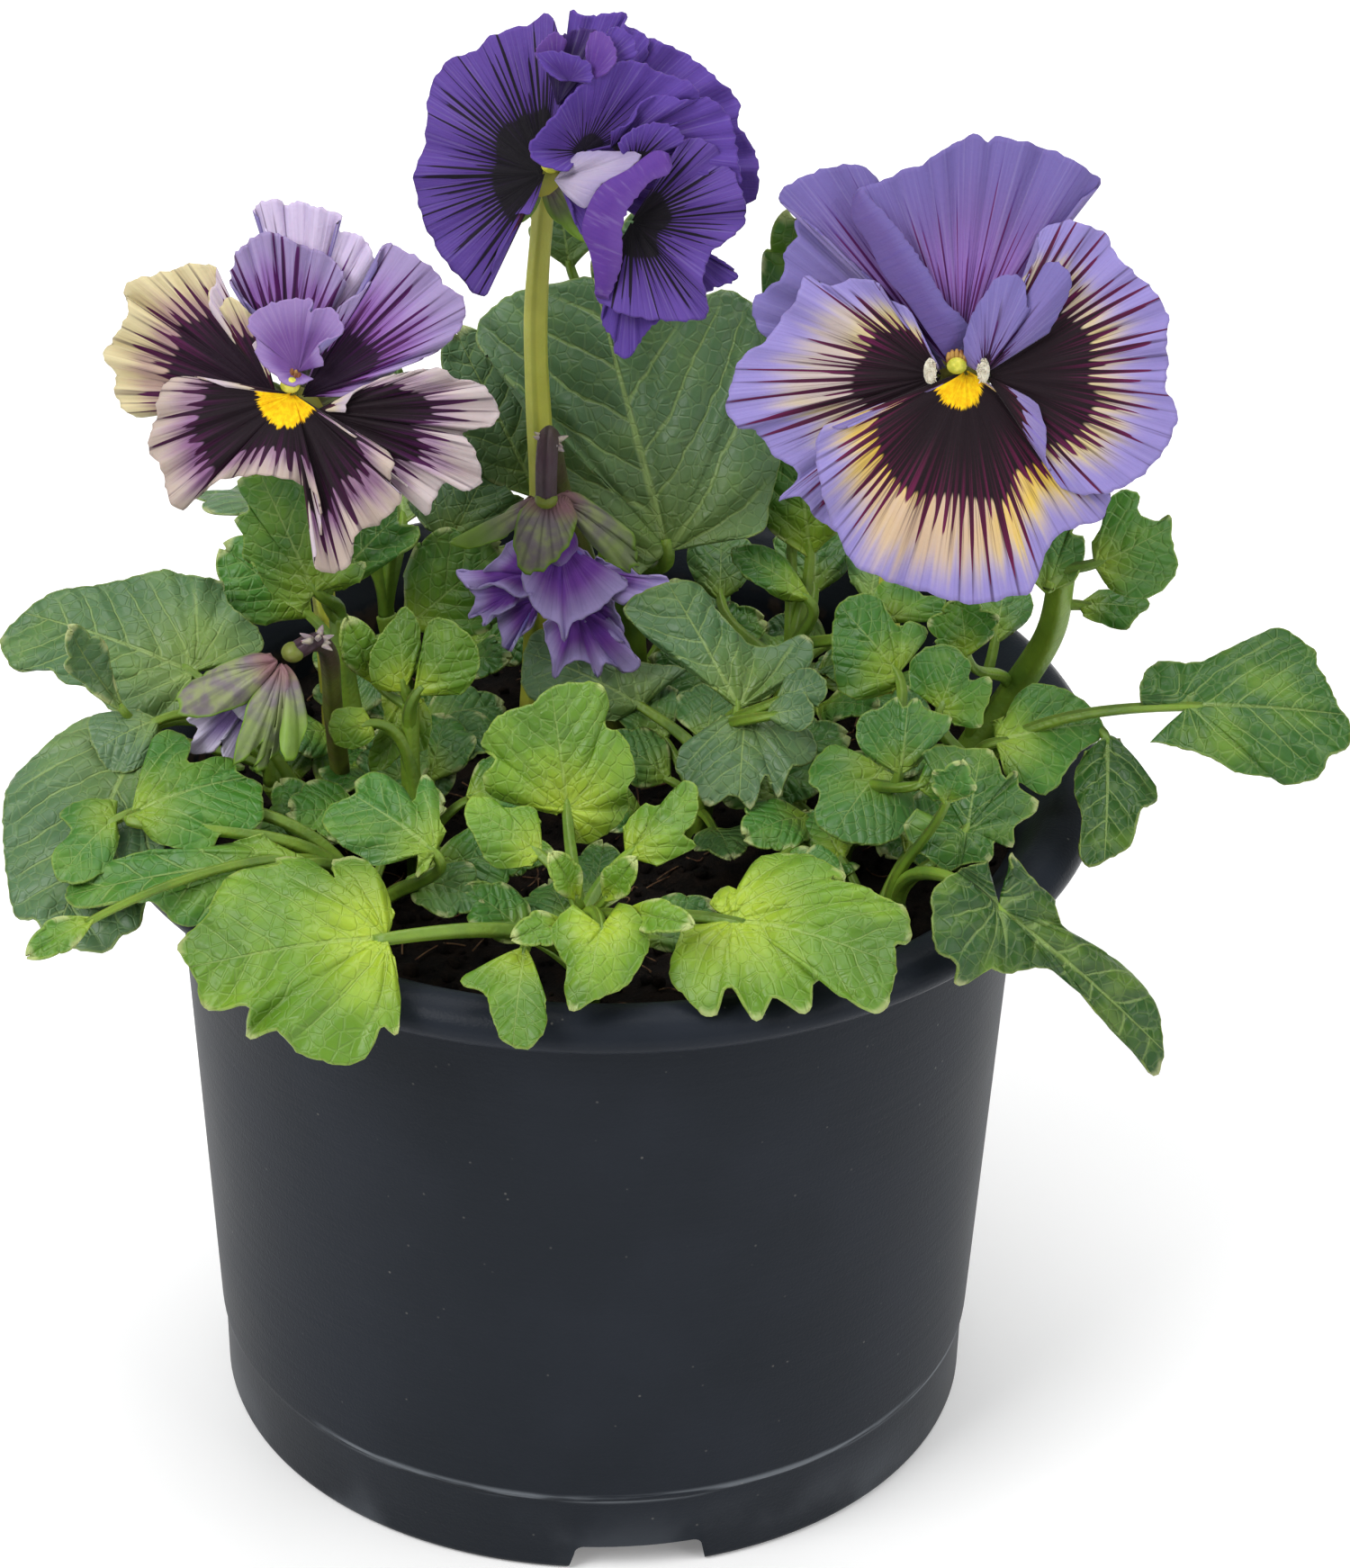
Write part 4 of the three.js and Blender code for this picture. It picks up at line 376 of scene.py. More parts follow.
@dataclass(frozen=True)
class Signal:
    """A node's output, on which the usual signs add Math nodes.

    Attributes:
        graph: the material's graph.
        socket: the output.
    """

    graph: Graph
    socket: bpy.types.NodeSocket

    def __add__(self, other: Value) -> Signal:
        """Adds a value."""
        return self.graph.calc("ADD", self, other)

    def __sub__(self, other: Value) -> Signal:
        """Takes a value away."""
        return self.graph.calc("SUBTRACT", self, other)

    def __rsub__(self, other: Value) -> Signal:
        """Takes this away from a value."""
        return self.graph.calc("SUBTRACT", other, self)

    def __mul__(self, other: Value) -> Signal:
        """Multiplies by a value."""
        return self.graph.calc("MULTIPLY", self, other)

    def __truediv__(self, other: Value) -> Signal:
        """Divides by a value."""
        return self.graph.calc("DIVIDE", self, other)

    def __pow__(self, other: Value) -> Signal:
        """Raises to a power."""
        return self.graph.calc("POWER", self, other)

    def __abs__(self) -> Signal:
        """Drops the sign."""
        return self.graph.calc("ABSOLUTE", self)


class Graph:
    """A material's node tree, with short ways to add the nodes that the finishes share."""

    def __init__(self, name: str) -> None:
        """Starts an empty tree.

        Args:
            name: of the material.
        """
        self.material = bpy.data.materials.new(name)
        self.material.use_nodes = True
        self.tree = self.material.node_tree
        self.tree.nodes.clear()

    def node(self, kind: str, inputs: dict | None = None, **settings: object) -> bpy.types.Node:
        """Adds a node with settings and links.

        Args:
            kind: the node's type, without ShaderNode.
            inputs: socket name or number to a value, or to the signal it is linked from.
            settings: the node's own properties.

        Returns:
            The node.
        """
        made = self.tree.nodes.new("ShaderNode" + kind)
        for key, value in settings.items():
            setattr(made, key, value)
        for key, value in (inputs or {}).items():
            if isinstance(value, Signal):
                self.tree.links.new(value.socket, made.inputs[key])
            else:
                made.inputs[key].default_value = value
        return made

    def take(
        self, kind: str, inputs: dict | None = None, output: int | str = 0, **settings: object
    ) -> Signal:
        """Adds a node and takes one of its outputs.

        Args:
            kind: the node's type, without ShaderNode.
            inputs: socket name or number to a value, or to the signal it is linked from.
            output: the output's number or name.
            settings: the node's own properties.

        Returns:
            The output's signal.
        """
        return Signal(self, self.node(kind, inputs, **settings).outputs[output])

    def calc(self, operation: str, a: Value, b: Value = 0.0) -> Signal:
        """Adds a Math node.

        Args:
            operation: its name, such as "MULTIPLY".
            a: the first value.
            b: the second value.

        Returns:
            Its result.
        """
        return self.take("Math", {0: a, 1: b}, operation=operation)

    def rise(self, value: Value, low: Value, high: Value) -> Signal:
        """A smooth step from 0 at low to 1 at high, or down if low is above high.

        Args:
            value: what is measured.
            low: where the step starts.
            high: where it ends.

        Returns:
            The step's height.
        """
        return self.take("MapRange", {0: value, 1: low, 2: high}, interpolation_type="SMOOTHSTEP")

    def mix(self, amount: Value, a: Color, b: Color) -> Signal:
        """Mixes two colours.

        Args:
            amount: how much of b.
            a: the first colour, as a signal, linear values or an sRGB hex code.
            b: the second colour, likewise.

        Returns:
            The mixed colour.
        """
        a, b = (linear(color) if isinstance(color, str) else color for color in (a, b))
        return self.take("Mix", {0: amount, 6: a, 7: b}, 2, data_type="RGBA")

    def noise(
        self, scale: float, detail: float, vector: Signal | None = None, rough: float = 0.5
    ) -> Signal:
        """A noise texture, over the object in metres unless a vector is given.

        Args:
            scale: how many lumps a metre, or a unit of the vector.
            detail: how many finer layers it has.
            vector: what it is laid over.
            rough: how strong the finer layers are.

        Returns:
            Its value, around one half.
        """
        inputs = {"Scale": scale, "Detail": detail, "Roughness": rough, "Vector": vector or self.place()}
        return self.take("TexNoise", inputs)

    def cells(self, scale: float, where: Signal, feature: str = "F1") -> Signal:
        """A cell texture.

        Args:
            scale: how many cells a metre.
            where: what it is laid over.
            feature: the distance that it measures, from a cell's middle ("F1") or edge.

        Returns:
            The distance.
        """
        return self.take("TexVoronoi", {"Scale": scale, "Vector": where}, feature=feature)

    def place(self) -> Signal:
        """The place in the object's own metres, as a vector."""
        return self.take("TexCoord", output="Object")

    def split(self, vector: Signal) -> list[Signal]:
        """Takes a vector apart.

        Args:
            vector: what is taken apart.

        Returns:
            Its three values.
        """
        made = self.node("SeparateXYZ", {0: vector})
        return [Signal(self, output) for output in made.outputs]

    def uv(self, name: str) -> list[Signal]:
        """Reads one of the piece's maps.

        Args:
            name: "paint", "rim" or "tone".

        Returns:
            Its two values.
        """
        return self.split(self.take("UVMap", uv_map=name))[:2]

    def vector(self, x: Value, y: Value, z: Value) -> Signal:
        """Joins three values into a vector.

        Args:
            x: the first.
            y: the second.
            z: the third.

        Returns:
            The vector.
        """
        return self.take("CombineXYZ", {0: x, 1: y, 2: z})

    def finish(
        self, color: Signal, roughness: Value, height: Signal | None, depth: float, **fixed: object
    ) -> bpy.types.Material:
        """Adds the surface itself.

        Args:
            color: the base colour.
            roughness: its roughness.
            height: what the bump follows, from 0 to 1.
            depth: how far a height of one stands out, in metres.
            fixed: other sockets by name, with underscores for spaces.

        Returns:
            The material.
        """
        inputs = {"Base Color": color, "Roughness": roughness}
        for key, value in fixed.items():
            inputs[key.replace("_", " ")] = value
        if height is not None:
            inputs["Normal"] = self.take("Bump", {"Height": height, "Distance": depth, "Strength": 1.0})
        self.node("OutputMaterial", {"Surface": self.take("BsdfPrincipled", inputs)})
        return self.material


@dataclass(frozen=True)
class LeafGreen:
    """The blade of a violet's leaf: a waxy green sheet with paler veins.

    Attributes:
        young: the yellow-green of a blade that has just opened.
        grown: the green of a full-grown blade.
        old: the grey-green of a waxy old blade.
        vein: the colour of the veins.
        glow: the yellow-green about the foot of a young blade.
        tip: the cream of the lobes' tips.
        waxy: the paler grey-green of the waxiest blades.
        deep: a dark green painted on a blade as the shade that it lies in.
        dark: the colour of the broad dark clouds.
        fresh: the colour of the bright clouds.
        rim: the pale line along the margin.
        rough: the roughness of the wax.
        pair: how far apart the side veins leave the midrib, as a part of the blade's length.
    """

    young: str = "5d8420"
    grown: str = "3b7020"
    old: str = "506f4a"
    vein: str = "98b063"
    glow: str = "a9bd30"
    tip: str = "ced196"
    waxy: str = "7c9a78"
    deep: str = "1d3f10"
    dark: str = "1c4a12"
    fresh: str = "8aac2e"
    rim: str = "a9bb5a"
    rough: float = 0.40
    pair: float = 0.17

    def veins(self, g: Graph) -> tuple[Signal, Signal, Signal]:
        """Works out the veins from the place on the blade.

        The midrib runs straight from the foot. Side veins leave it at even steps and bend towards
        the tip with the square of the distance from it. Behind the first pair, veins fan out from
        the foot at even angles.

        Args:
            g: the material's graph, whose map "paint" holds the place along and across the blade.

        Returns:
            How strong the veins are, how far the nearest is, and how far the foot is.
        """
        along, across = g.uv("paint")
        inward, _ = g.uv("rim")
        side = abs(across)
        radius = g.calc("SQRT", along * along + side * side)
        wander = (g.noise(160.0, 2.0) - 0.5) * 0.11
        bend = side * (side * 0.8 + 0.8) + g.calc("GREATER_THAN", across, 0.0) * -0.05 + wander
        start = along - bend
        ahead = start / self.pair
        turn = g.calc("ARCTAN2", side, along) - g.calc("ARCTAN2", side, bend)
        behind = turn / -0.5
        front = g.calc("GREATER_THAN", start, 0.0)
        rank = ahead * front + behind * (1.0 - front)
        beat = abs(g.calc("FRACT", rank) - 0.5)
        step = g.calc("MINIMUM", radius * 0.5, 0.7 * self.pair)
        gap = (0.5 - beat) * step
        side_veins = g.rise(gap, 0.0085, 0.002) * g.rise(inward, 0.0, 0.45)
        taper = 1.15 - along
        middle = g.rise(side / taper, 0.019, 0.006) * g.rise(along, -0.01, 0.01)
        return g.calc("MAXIMUM", middle, side_veins * 0.75), gap, radius

    def material(self) -> bpy.types.Material:
        """Builds the material.

        Returns:
            The leaf blade's material, which reads all three maps.
        """
        g = Graph("violet_leaf_blade")
        age, size = g.uv("tone")
        # An age below 0 asks for painted shade: this is how much of the deep green is mixed in.
        deep = g.rise(age, 0.0, -1.0) ** 0.6
        age = g.calc("MAXIMUM", age, g.rise(age, 0.0, -0.1) * 0.5)
        inward, lobe = g.uv("rim")
        veins, gap, radius = self.veins(g)
        net = g.rise(g.cells(620.0, g.place(), "DISTANCE_TO_EDGE"), 0.11, 0.02)
        cloud = g.noise(130.0, 4.0)
        broad = g.noise(48.0, 2.0)
        grain = g.noise(1500.0, 3.0)
        base = g.mix(g.rise(age, 0.0, 0.5), self.young, self.grown)
        base = g.mix(g.rise(age, 0.45, 1.0), base, self.old)
        base = g.mix(g.rise(age, 0.92, 1.5), base, self.waxy)
        # Painted shade: the deep green darkens the blades that lie in shade.
        base = g.mix(deep, base, self.deep)
        base = g.mix(g.rise(broad, 0.35, 0.7) * 0.45, base, self.dark)
        fresh = 0.5 - age * 0.36
        base = g.mix(g.rise(cloud, 0.45, 0.75) * fresh, base, self.fresh)
        glow = g.rise(radius, 0.55, 0.02) * (0.66 - age * 0.5) * g.rise(deep, 0.5, 0.0)
        base = g.mix(glow, base, self.glow)
        base = g.mix(net * 0.10, base, self.vein)
        strong = age * 0.18 + 0.34
        base = g.mix(veins * strong, base, self.vein)
        base = g.mix(g.rise(inward, 0.035, 0.0) * 0.30, base, self.rim)
        cream = g.rise(lobe, 0.5, 0.85) * g.rise(inward, 0.10, 0.02)
        base = g.mix(cream * 0.4, base, self.tip)
        lift = (g.rise(gap, 0.0, 0.05) * 0.9 - veins * 0.4) * size
        lift = lift + cloud * 1.1 - net * 0.16 + grain * 0.12
        rough = cloud * 0.22 + (self.rough - 0.1)
        return g.finish(base, rough, lift, 0.0005, Specular_IOR_Level=0.38, Subsurface_Weight=0.06,
                        Subsurface_Scale=0.001)


@dataclass(frozen=True)
class StalkGreen:
    """A fleshy stalk: yellow-green with darker ribs, browner where it is old.

    Attributes:
        name: the material's name.
        fresh: its main green.
        tint: the colour that clouds it.
        rib: the colour of its ribs.
        end: the colour it turns to at its far end.
        turned: how much of the end colour shows.
    """

    name: str
    fresh: str = "93a832"
    tint: str = "6f8f2a"
    rib: str = "5c6f22"
    end: str = "7d7a35"
    turned: float = 0.4

    def material(self) -> bpy.types.Material:
        """Builds the material.

        Returns:
            The stalk's material.
        """
        g = Graph(self.name)
        along, around = g.uv("paint")
        stripe = g.calc("SINE", around * 12.56)
        cloud = g.noise(160.0, 4.0)
        grain = g.noise(1400.0, 2.0)
        base = g.mix(g.rise(cloud, 0.35, 0.7), self.fresh, self.tint)
        base = g.mix(g.rise(stripe, 0.2, 1.0) * 0.3, base, self.rib)
        aged = g.rise(along, 0.55, 1.0) * self.turned
        base = g.mix(aged, base, self.end)
        lift = stripe * 0.4 + grain
        rough = grain * 0.2 + 0.38
        return g.finish(base, rough, lift, 0.00012, Specular_IOR_Level=0.45, Subsurface_Weight=0.15,
                        Subsurface_Scale=0.0015)


@dataclass(frozen=True)
class PetalPaint:
    """The colours of one kind of petal, laid from its foot (0) to its margin (1).

    Attributes:
        name: the material's name.
        blotch: the near-black of the blotch.
        warm: the wine red or purple that shows through the blotch.
        halo: the colour between the spokes.
        gold: a stronger colour that comes and goes in the halo.
        ground: the colour beyond the halo.
        margin: the colour of the outer edge.
        streak: the colour of the spokes' ends.
        spokes: how far the spokes run beyond the blotch, as a part of the petal.
        halo_end: where the halo gives way to the ground.
        halo_amount: how strong the halo is.
        comb: how many spokes fit in a centimetre of the margin.
        pale: how strong the pale threads are.
        eye: the middle of the yellow eye in the frame, if it has one.
        eye_size: the eye's radius, in millimetres.
    """

    name: str
    blotch: str = "160710"
    warm: str = "4a0f2c"
    halo: str = "ded3a2"
    gold: str = "ecc93a"
    ground: str = "8d80cc"
    margin: str = "7668bf"
    streak: str = "2c0b2c"
    spokes: float = 0.3
    halo_end: float = 0.84
    halo_amount: float = 0.0
    comb: float = 5.2
    pale: float = 0.05
    eye: Vec | None = None
    eye_size: float = 3.0

    THREAD = "e8e4f4"
    EYE_COLORS = ("efb400", "f7cc0a")

    def material(self) -> bpy.types.Material:
        """Builds the material.

        The blotch ends in spikes: its reach is a wave along the margin, unevenly spaced and of
        uneven height, so each spike runs out from the foot and tapers to a point.

        Returns:
            The petal's material.
        """
        g = Graph(self.name)
        reach, arc = g.uv("paint")
        end, side = g.uv("tone")
        edge = abs(side)

        def comb(many: float, change: float, seed: float, rough: float = 0.5) -> Signal:
            """Noise stretched along the petal.

            Args:
                many: how many waves fit in a centimetre of the margin.
                change: how fast it changes towards the margin.
                seed: makes it its own.
                rough: how much its finer parts count.

            Returns:
                The noise.
            """
            spot = g.vector(arc * many, reach * change, seed)
            return g.noise(1.0, 2.0, spot, rough)

        coarse = comb(0.5 * self.comb, 0.4, 0.0)
        fine = comb(1.3 * self.comb, 0.6, 7.0, 0.6)
        hair = comb(3.6 * self.comb, 1.0, 13.0, 0.6)
        soft = comb(0.35, 1.6, 3.0)
        cloth = g.noise(1700.0, 2.0)
        turn = arc * (2 * math.pi * self.comb) + coarse * 9.0
        wave = g.calc("SINE", turn) * 0.5 + 0.5
        tall = g.rise(fine, 0.36, 0.64) * 0.95 + 0.25
        teeth = wave**1.5 * tall
        length = end + (teeth - 0.25) * self.spokes + (soft - 0.5) * 0.2
        length = length - g.rise(edge, 0.8, 1.0) * (end * 0.4)
        over = length - reach
        has = g.rise(end, 0.01, 0.05)
        dark = g.rise(over, -0.014, 0.014) * has
        ground = g.rise(reach + soft * 0.14, 0.55, 1.02)
        base = g.mix(ground, self.ground, self.margin)
        lap = (soft - 0.5) * 0.35 + (fine - 0.5) * 0.4
        near = g.rise(reach + lap, self.halo_end + 0.09, self.halo_end - 0.14)
        patch = g.rise(soft, 0.38, 0.6) * 0.45 + 0.55
        near = near * patch * g.rise(edge, 1.0, 0.93)
        halo = g.mix(g.rise(reach - end + lap, 0.0, 0.3), self.gold, self.halo)
        base = g.mix(near * self.halo_amount, base, halo)
        thread = g.rise(wave, 0.8, 0.98) * g.rise(over, -0.28, -0.02) * g.rise(fine, 0.4, 0.55)
        thread = g.calc("MAXIMUM", thread, g.rise(hair, 0.52, 0.66) * g.rise(over, -0.3, 0.0))
        base = g.mix(thread * (has * 0.66), base, self.streak)
        base = g.mix(g.rise(hair, 0.5, 0.7) * 0.14, base, self.streak)
        base = g.mix(g.rise(hair, 0.48, 0.3) * self.pale, base, self.THREAD)
        wine = g.rise(over, 0.42, 0.0) * g.rise(wave, 0.25, 0.8)
        ink = g.mix(wine, self.blotch, self.warm)
        ink = g.mix(g.rise(hair, 0.45, 0.65) * 0.5, ink, self.blotch)
        base = g.mix(dark, base, ink)
        if self.eye:
            middle = tuple(c * MM for c in self.eye)
            away = g.take("VectorMath", {0: g.place(), 1: middle}, 1, operation="DISTANCE")
            size = (fine - 0.5) * 0.0026 + self.eye_size * MM
            sun = g.mix(g.rise(cloth, 0.35, 0.65), *self.EYE_COLORS)
            base = g.mix(g.rise(away - size, 0.0002, -0.0002), base, sun)
        lift = fine * 0.5 + hair * 0.5 + cloth * 0.35
        return g.finish(base, 0.66, lift, 0.00022, Specular_IOR_Level=0.18, Sheen_Weight=0.06,
                        Sheen_Roughness=0.4, Subsurface_Weight=0.05, Subsurface_Scale=0.001)


@dataclass(frozen=True)
class FleckPaint:
    """A small soft part in one mottled colour, such as a stigma or a tuft of hairs.

    Attributes:
        name: the material's name.
        main: its colour.
        other: the colour of its mottling.
        rough: its roughness.
    """

    name: str
    main: str
    other: str
    rough: float = 0.6

    def material(self) -> bpy.types.Material:
        """Builds the material.

        Returns:
            The mottled material.
        """
        g = Graph(self.name)
        spots = g.noise(900.0, 3.0)
        base = g.mix(g.rise(spots, 0.4, 0.65), self.main, self.other)
        return g.finish(base, self.rough, spots, 0.0002, Specular_IOR_Level=0.3, Subsurface_Weight=0.1,
                        Subsurface_Scale=0.001)


@dataclass(frozen=True)
class SepalPaint:
    """A sepal: grey-olive washed with purple, rose at its foot, green at its toothed margin.

    Attributes:
        olive: its main colour.
        wash: the purple-grey between its ribs.
        rose: the colour at its foot.
        green: the colour of its margin, and of the younger sepals all over.
        rib: the dark colour of its ribs.
    """

    olive: str = "868e62"
    wash: str = "746a70"
    rose: str = "805860"
    green: str = "6f9426"
    rib: str = "3a3340"

    def material(self) -> bpy.types.Material:
        """Builds the material.

        Returns:
            The sepal's material, which reads all three maps.
        """
        g = Graph("violet_sepal")
        along, across = g.uv("paint")
        age, _ = g.uv("tone")
        inward, _ = g.uv("rim")
        fan = across / (g.calc("MAXIMUM", along, 0.0) + 0.18)
        stripe = g.calc("SINE", fan * 34.0)
        cloud = g.noise(420.0, 4.0)
        base = g.mix(g.rise(cloud, 0.36, 0.64), self.olive, self.wash)
        base = g.mix(g.rise(stripe, 0.4, 1.0) * 0.4, base, self.rib)
        fresh = g.rise(along, 0.25, 0.75) * (age * 0.9)
        base = g.mix(fresh, base, self.green)
        base = g.mix(g.rise(inward, 0.09, 0.01) * 0.85, base, self.green)
        base = g.mix(g.rise(along, 0.30, 0.04) * 0.9, base, self.rose)
        lift = stripe * 0.25 + cloud
        return g.finish(base, 0.52, lift, 0.00025, Specular_IOR_Level=0.35)


@dataclass(frozen=True)
class PotPlastic:
    """Thin black nursery plastic: satin, blue-grey where rubbed, dusty with peat, with a painted highlight
    along the seam.

    Attributes:
        body: its colour.
        cloud: the colour that clouds it.
        wear_and_highlight: the paler colour of rubbed places, also painted along the seam as a highlight.
        speck: the colour of its specks.
        dust: the colour of the peat dust.
        height: of the pot, in metres.
        seam: the height of the seam above the foot.
        foot: the wall's outer radius at the ground.
        slope: how much wider the wall gets a metre up.
    """

    body: str = "20242a"
    cloud: str = "24282f"
    wear_and_highlight: str = "6e7379"
    speck: str = "8f8c86"
    dust: str = "574636"
    height: float = POT_HEIGHT * MM
    seam: float = 0.012
    foot: float = 0.0495
    slope: float = 0.0645

    def material(self) -> bpy.types.Material:
        """Builds the material.

        Returns:
            The pot's material.
        """
        g = Graph("violet_pot_black_polypropylene")
        where = g.place()
        x, y, z = g.split(where)
        radius = g.take("VectorMath", {0: g.vector(x, y, 0.0)}, 1, operation="LENGTH")
        cloud = g.noise(42.0, 4.0)
        squeezed = g.take("VectorMath", {0: where, 1: (60.0, 60.0, 900.0)}, operation="MULTIPLY")
        brushed = g.noise(1.0, 4.0, squeezed)
        grain = g.noise(2600.0, 2.0)
        speck = g.rise(g.cells(520.0, where), 0.12, 0.05) * g.rise(g.noise(260.0, 2.0), 0.56, 0.66)
        base = g.mix(g.rise(cloud, 0.35, 0.75), self.body, self.cloud)
        # Along the seam the paler colour is partly scuffs and partly a painted highlight on the seam's
        # ledge; below the seam it is rubbed wear.
        seam_scuff_and_highlight = g.rise(abs(z - self.seam), 0.0011, 0.0003) * g.rise(brushed, 0.42, 0.62)
        rubbed = g.rise(z, self.seam, 0.0) * g.rise(cloud, 0.45, 0.62)
        base = g.mix(g.calc("MAXIMUM", seam_scuff_and_highlight * 0.8, rubbed * 0.25), base, self.wear_and_highlight)
        base = g.mix(speck * 0.3, base, self.speck)
        top = self.height
        line = g.rise(abs(z - (top - 0.0072)), 0.0026, 0.0002) * g.rise(radius, 0.0545, 0.057)
        line = line * g.rise(g.noise(330.0, 4.0), 0.46, 0.58)
        depth = z * self.slope + self.foot - radius
        inner = g.rise(z, top - 0.004, top - 0.009) * g.rise(depth, 0.0005, 0.0009)
        inner = inner * g.rise(g.noise(300.0, 5.0), 0.45, 0.62)
        dirt = g.calc("MAXIMUM", line * 0.75, inner * 0.6)
        base = g.mix(dirt, base, self.dust)
        rough = cloud * 0.16 + dirt * 0.4 + g.rise(z, top - 0.006, top - 0.003) * -0.1 + 0.33
        lift = grain * 0.25 + brushed * 0.25 + dirt * 0.8
        return g.finish(base, rough, lift, 0.0002, Specular_IOR_Level=0.06)


@dataclass(frozen=True)
class PeatBrown:
    """Damp peat: near-black crumbs with brown fibres.

    Attributes:
        name: the material's name.
        dark: the colour of the hollows.
        light: the colour of the dry crumbs.
        straw: the colour of the finest fibres.
    """

    name: str = "violet_peat_crumbs"
    dark: str = "0a0705"
    light: str = "241a12"
    straw: str = "3f2e20"

    def material(self) -> bpy.types.Material:
        """Builds the material.

        Returns:
            The peat's material.
        """
        g = Graph(self.name)
        lumps = g.noise(260.0, 6.0, rough=0.65)
        grain = g.noise(1500.0, 5.0, rough=0.7)
        cells = g.cells(420.0, g.place())
        base = g.mix(g.rise(lumps, 0.38, 0.7), self.dark, self.light)
        base = g.mix(g.rise(grain, 0.55, 0.75) * 0.6, base, self.straw)
        lift = lumps + grain * 0.6 + cells * 0.5
        return g.finish(base, 0.92, lift, 0.0012, Specular_IOR_Level=0.2)


# ---- Leaves and shoots -----------------------------------------------------------------------


class Age(IntEnum):
    """How old a shoot's leaves are, which sets their green."""

    YOUNG = 0
    GROWN = 1
    OLD = 2


@dataclass(frozen=True)
class Leaf:
    """A leaf: a blade from its foot to its tip, on a thin petiole that starts at the stem.

    Attributes:
        at: where on the stem the petiole starts, from 0 at the root to 1 at the top.
        foot: where the blade starts.
        tip: where it ends.
        face: which way its upper face looks.
        wide: its greatest width.
        peak: how far along it is widest.
        lobes: how many rounded teeth each side has.
        cut: how deep the notches between them are, as a part of the half width.
        arch: how far the midrib rises in its middle.
        cup: how far the margins rise above the midrib, as a part of the half width.
        wave: how far the margins wave up and down.
        heart: how far the lowest teeth reach back past the foot, as a part of the length.
    """

    at: float
    foot: Vec
    tip: Vec
    face: Vec
    wide: float
    peak: float
    lobes: int
    cut: float
    arch: float
    cup: float
    wave: float
    heart: float

    ROWS = 52
    COLUMNS = 19

    def sheet(self) -> tuple[Array, Array]:
        """The blade's middle surface.

        The half width is a sine hump, skewed so that its top is at the peak, and pulled in between
        the teeth. The teeth lean towards the tip. Margins rise with the square of the distance from
        the midrib and wave as they go.

        Returns:
            The (rows, columns, 3) points, and (rows, columns, 4) paint: the place along and across
            the blade as parts of its length, centimetres from the margin, and nearness to a
            tooth's tip.
        """
        foot, tip = np.array(self.foot, float), np.array(self.tip, float)
        length = float(np.linalg.norm(tip - foot))
        along = (tip - foot) / length
        face = np.array(self.face, float)
        up = unit(face - along * (face @ along))
        left = np.cross(up, along)
        count = 2 * self.lobes + 1
        s = np.linspace(0.004, 0.996, self.ROWS)[:, None]
        t = np.linspace(-1.0, 1.0, self.COLUMNS)[None, :]
        t = np.sign(t) * np.abs(t) ** 0.85
        phase = s * count
        skew = math.log(0.5) / math.log(self.peak)
        tooth = np.abs(np.sin(0.5 * np.pi * phase)) ** 0.55
        half = 0.5 * self.wide * np.sin(np.pi * s**skew) ** 0.66 * (1 - self.cut * (1 - tooth))
        back = self.heart * np.exp(-(((phase - 1.0) / 0.75) ** 2))
        lean = length * (0.09 * tooth - 0.03 - back)
        midrib = foot + along * (length * s)[..., None] + up * (self.arch * 4 * s * (1 - s))[..., None]
        side = np.abs(t)
        turn = np.sign(t)
        rise = self.cup * half * side**1.7
        rise = rise + self.wave * np.sin(1.7 * phase + 2 * turn + 5 * self.wide) * side**2.2
        rise = rise + 0.28 * np.sin(1.3 * phase + 3 * turn * side + self.wide) * side * (1 - side) * 4
        rise = rise - 0.25 * (1 - side) ** 6
        sheet = midrib + left * (t * half)[..., None] + along * (lean * side**1.6)[..., None]
        place = np.stack([(sheet - foot) @ along, (sheet - foot) @ left], -1) / length
        sheet = sheet + up * rise[..., None]
        inward = np.minimum((1 - side) * half, (1 - s) * length + 0 * t) / 10
        paint = np.concatenate([place, np.stack([inward, tooth**6 + 0 * t], -1)], -1)
        return sheet, paint

    def seat(self) -> tuple[Array, Array, Array, float]:
        """Where the petiole arrives.

        Returns:
            The foot, the way the blade runs on, a point inside the blade and the petiole's radius.
        """
        foot, tip = np.array(self.foot, float), np.array(self.tip, float)
        length = float(np.linalg.norm(tip - foot))
        along = (tip - foot) / length
        return foot, along, foot + along * 0.1 * length, 0.72 + 0.018 * self.wide


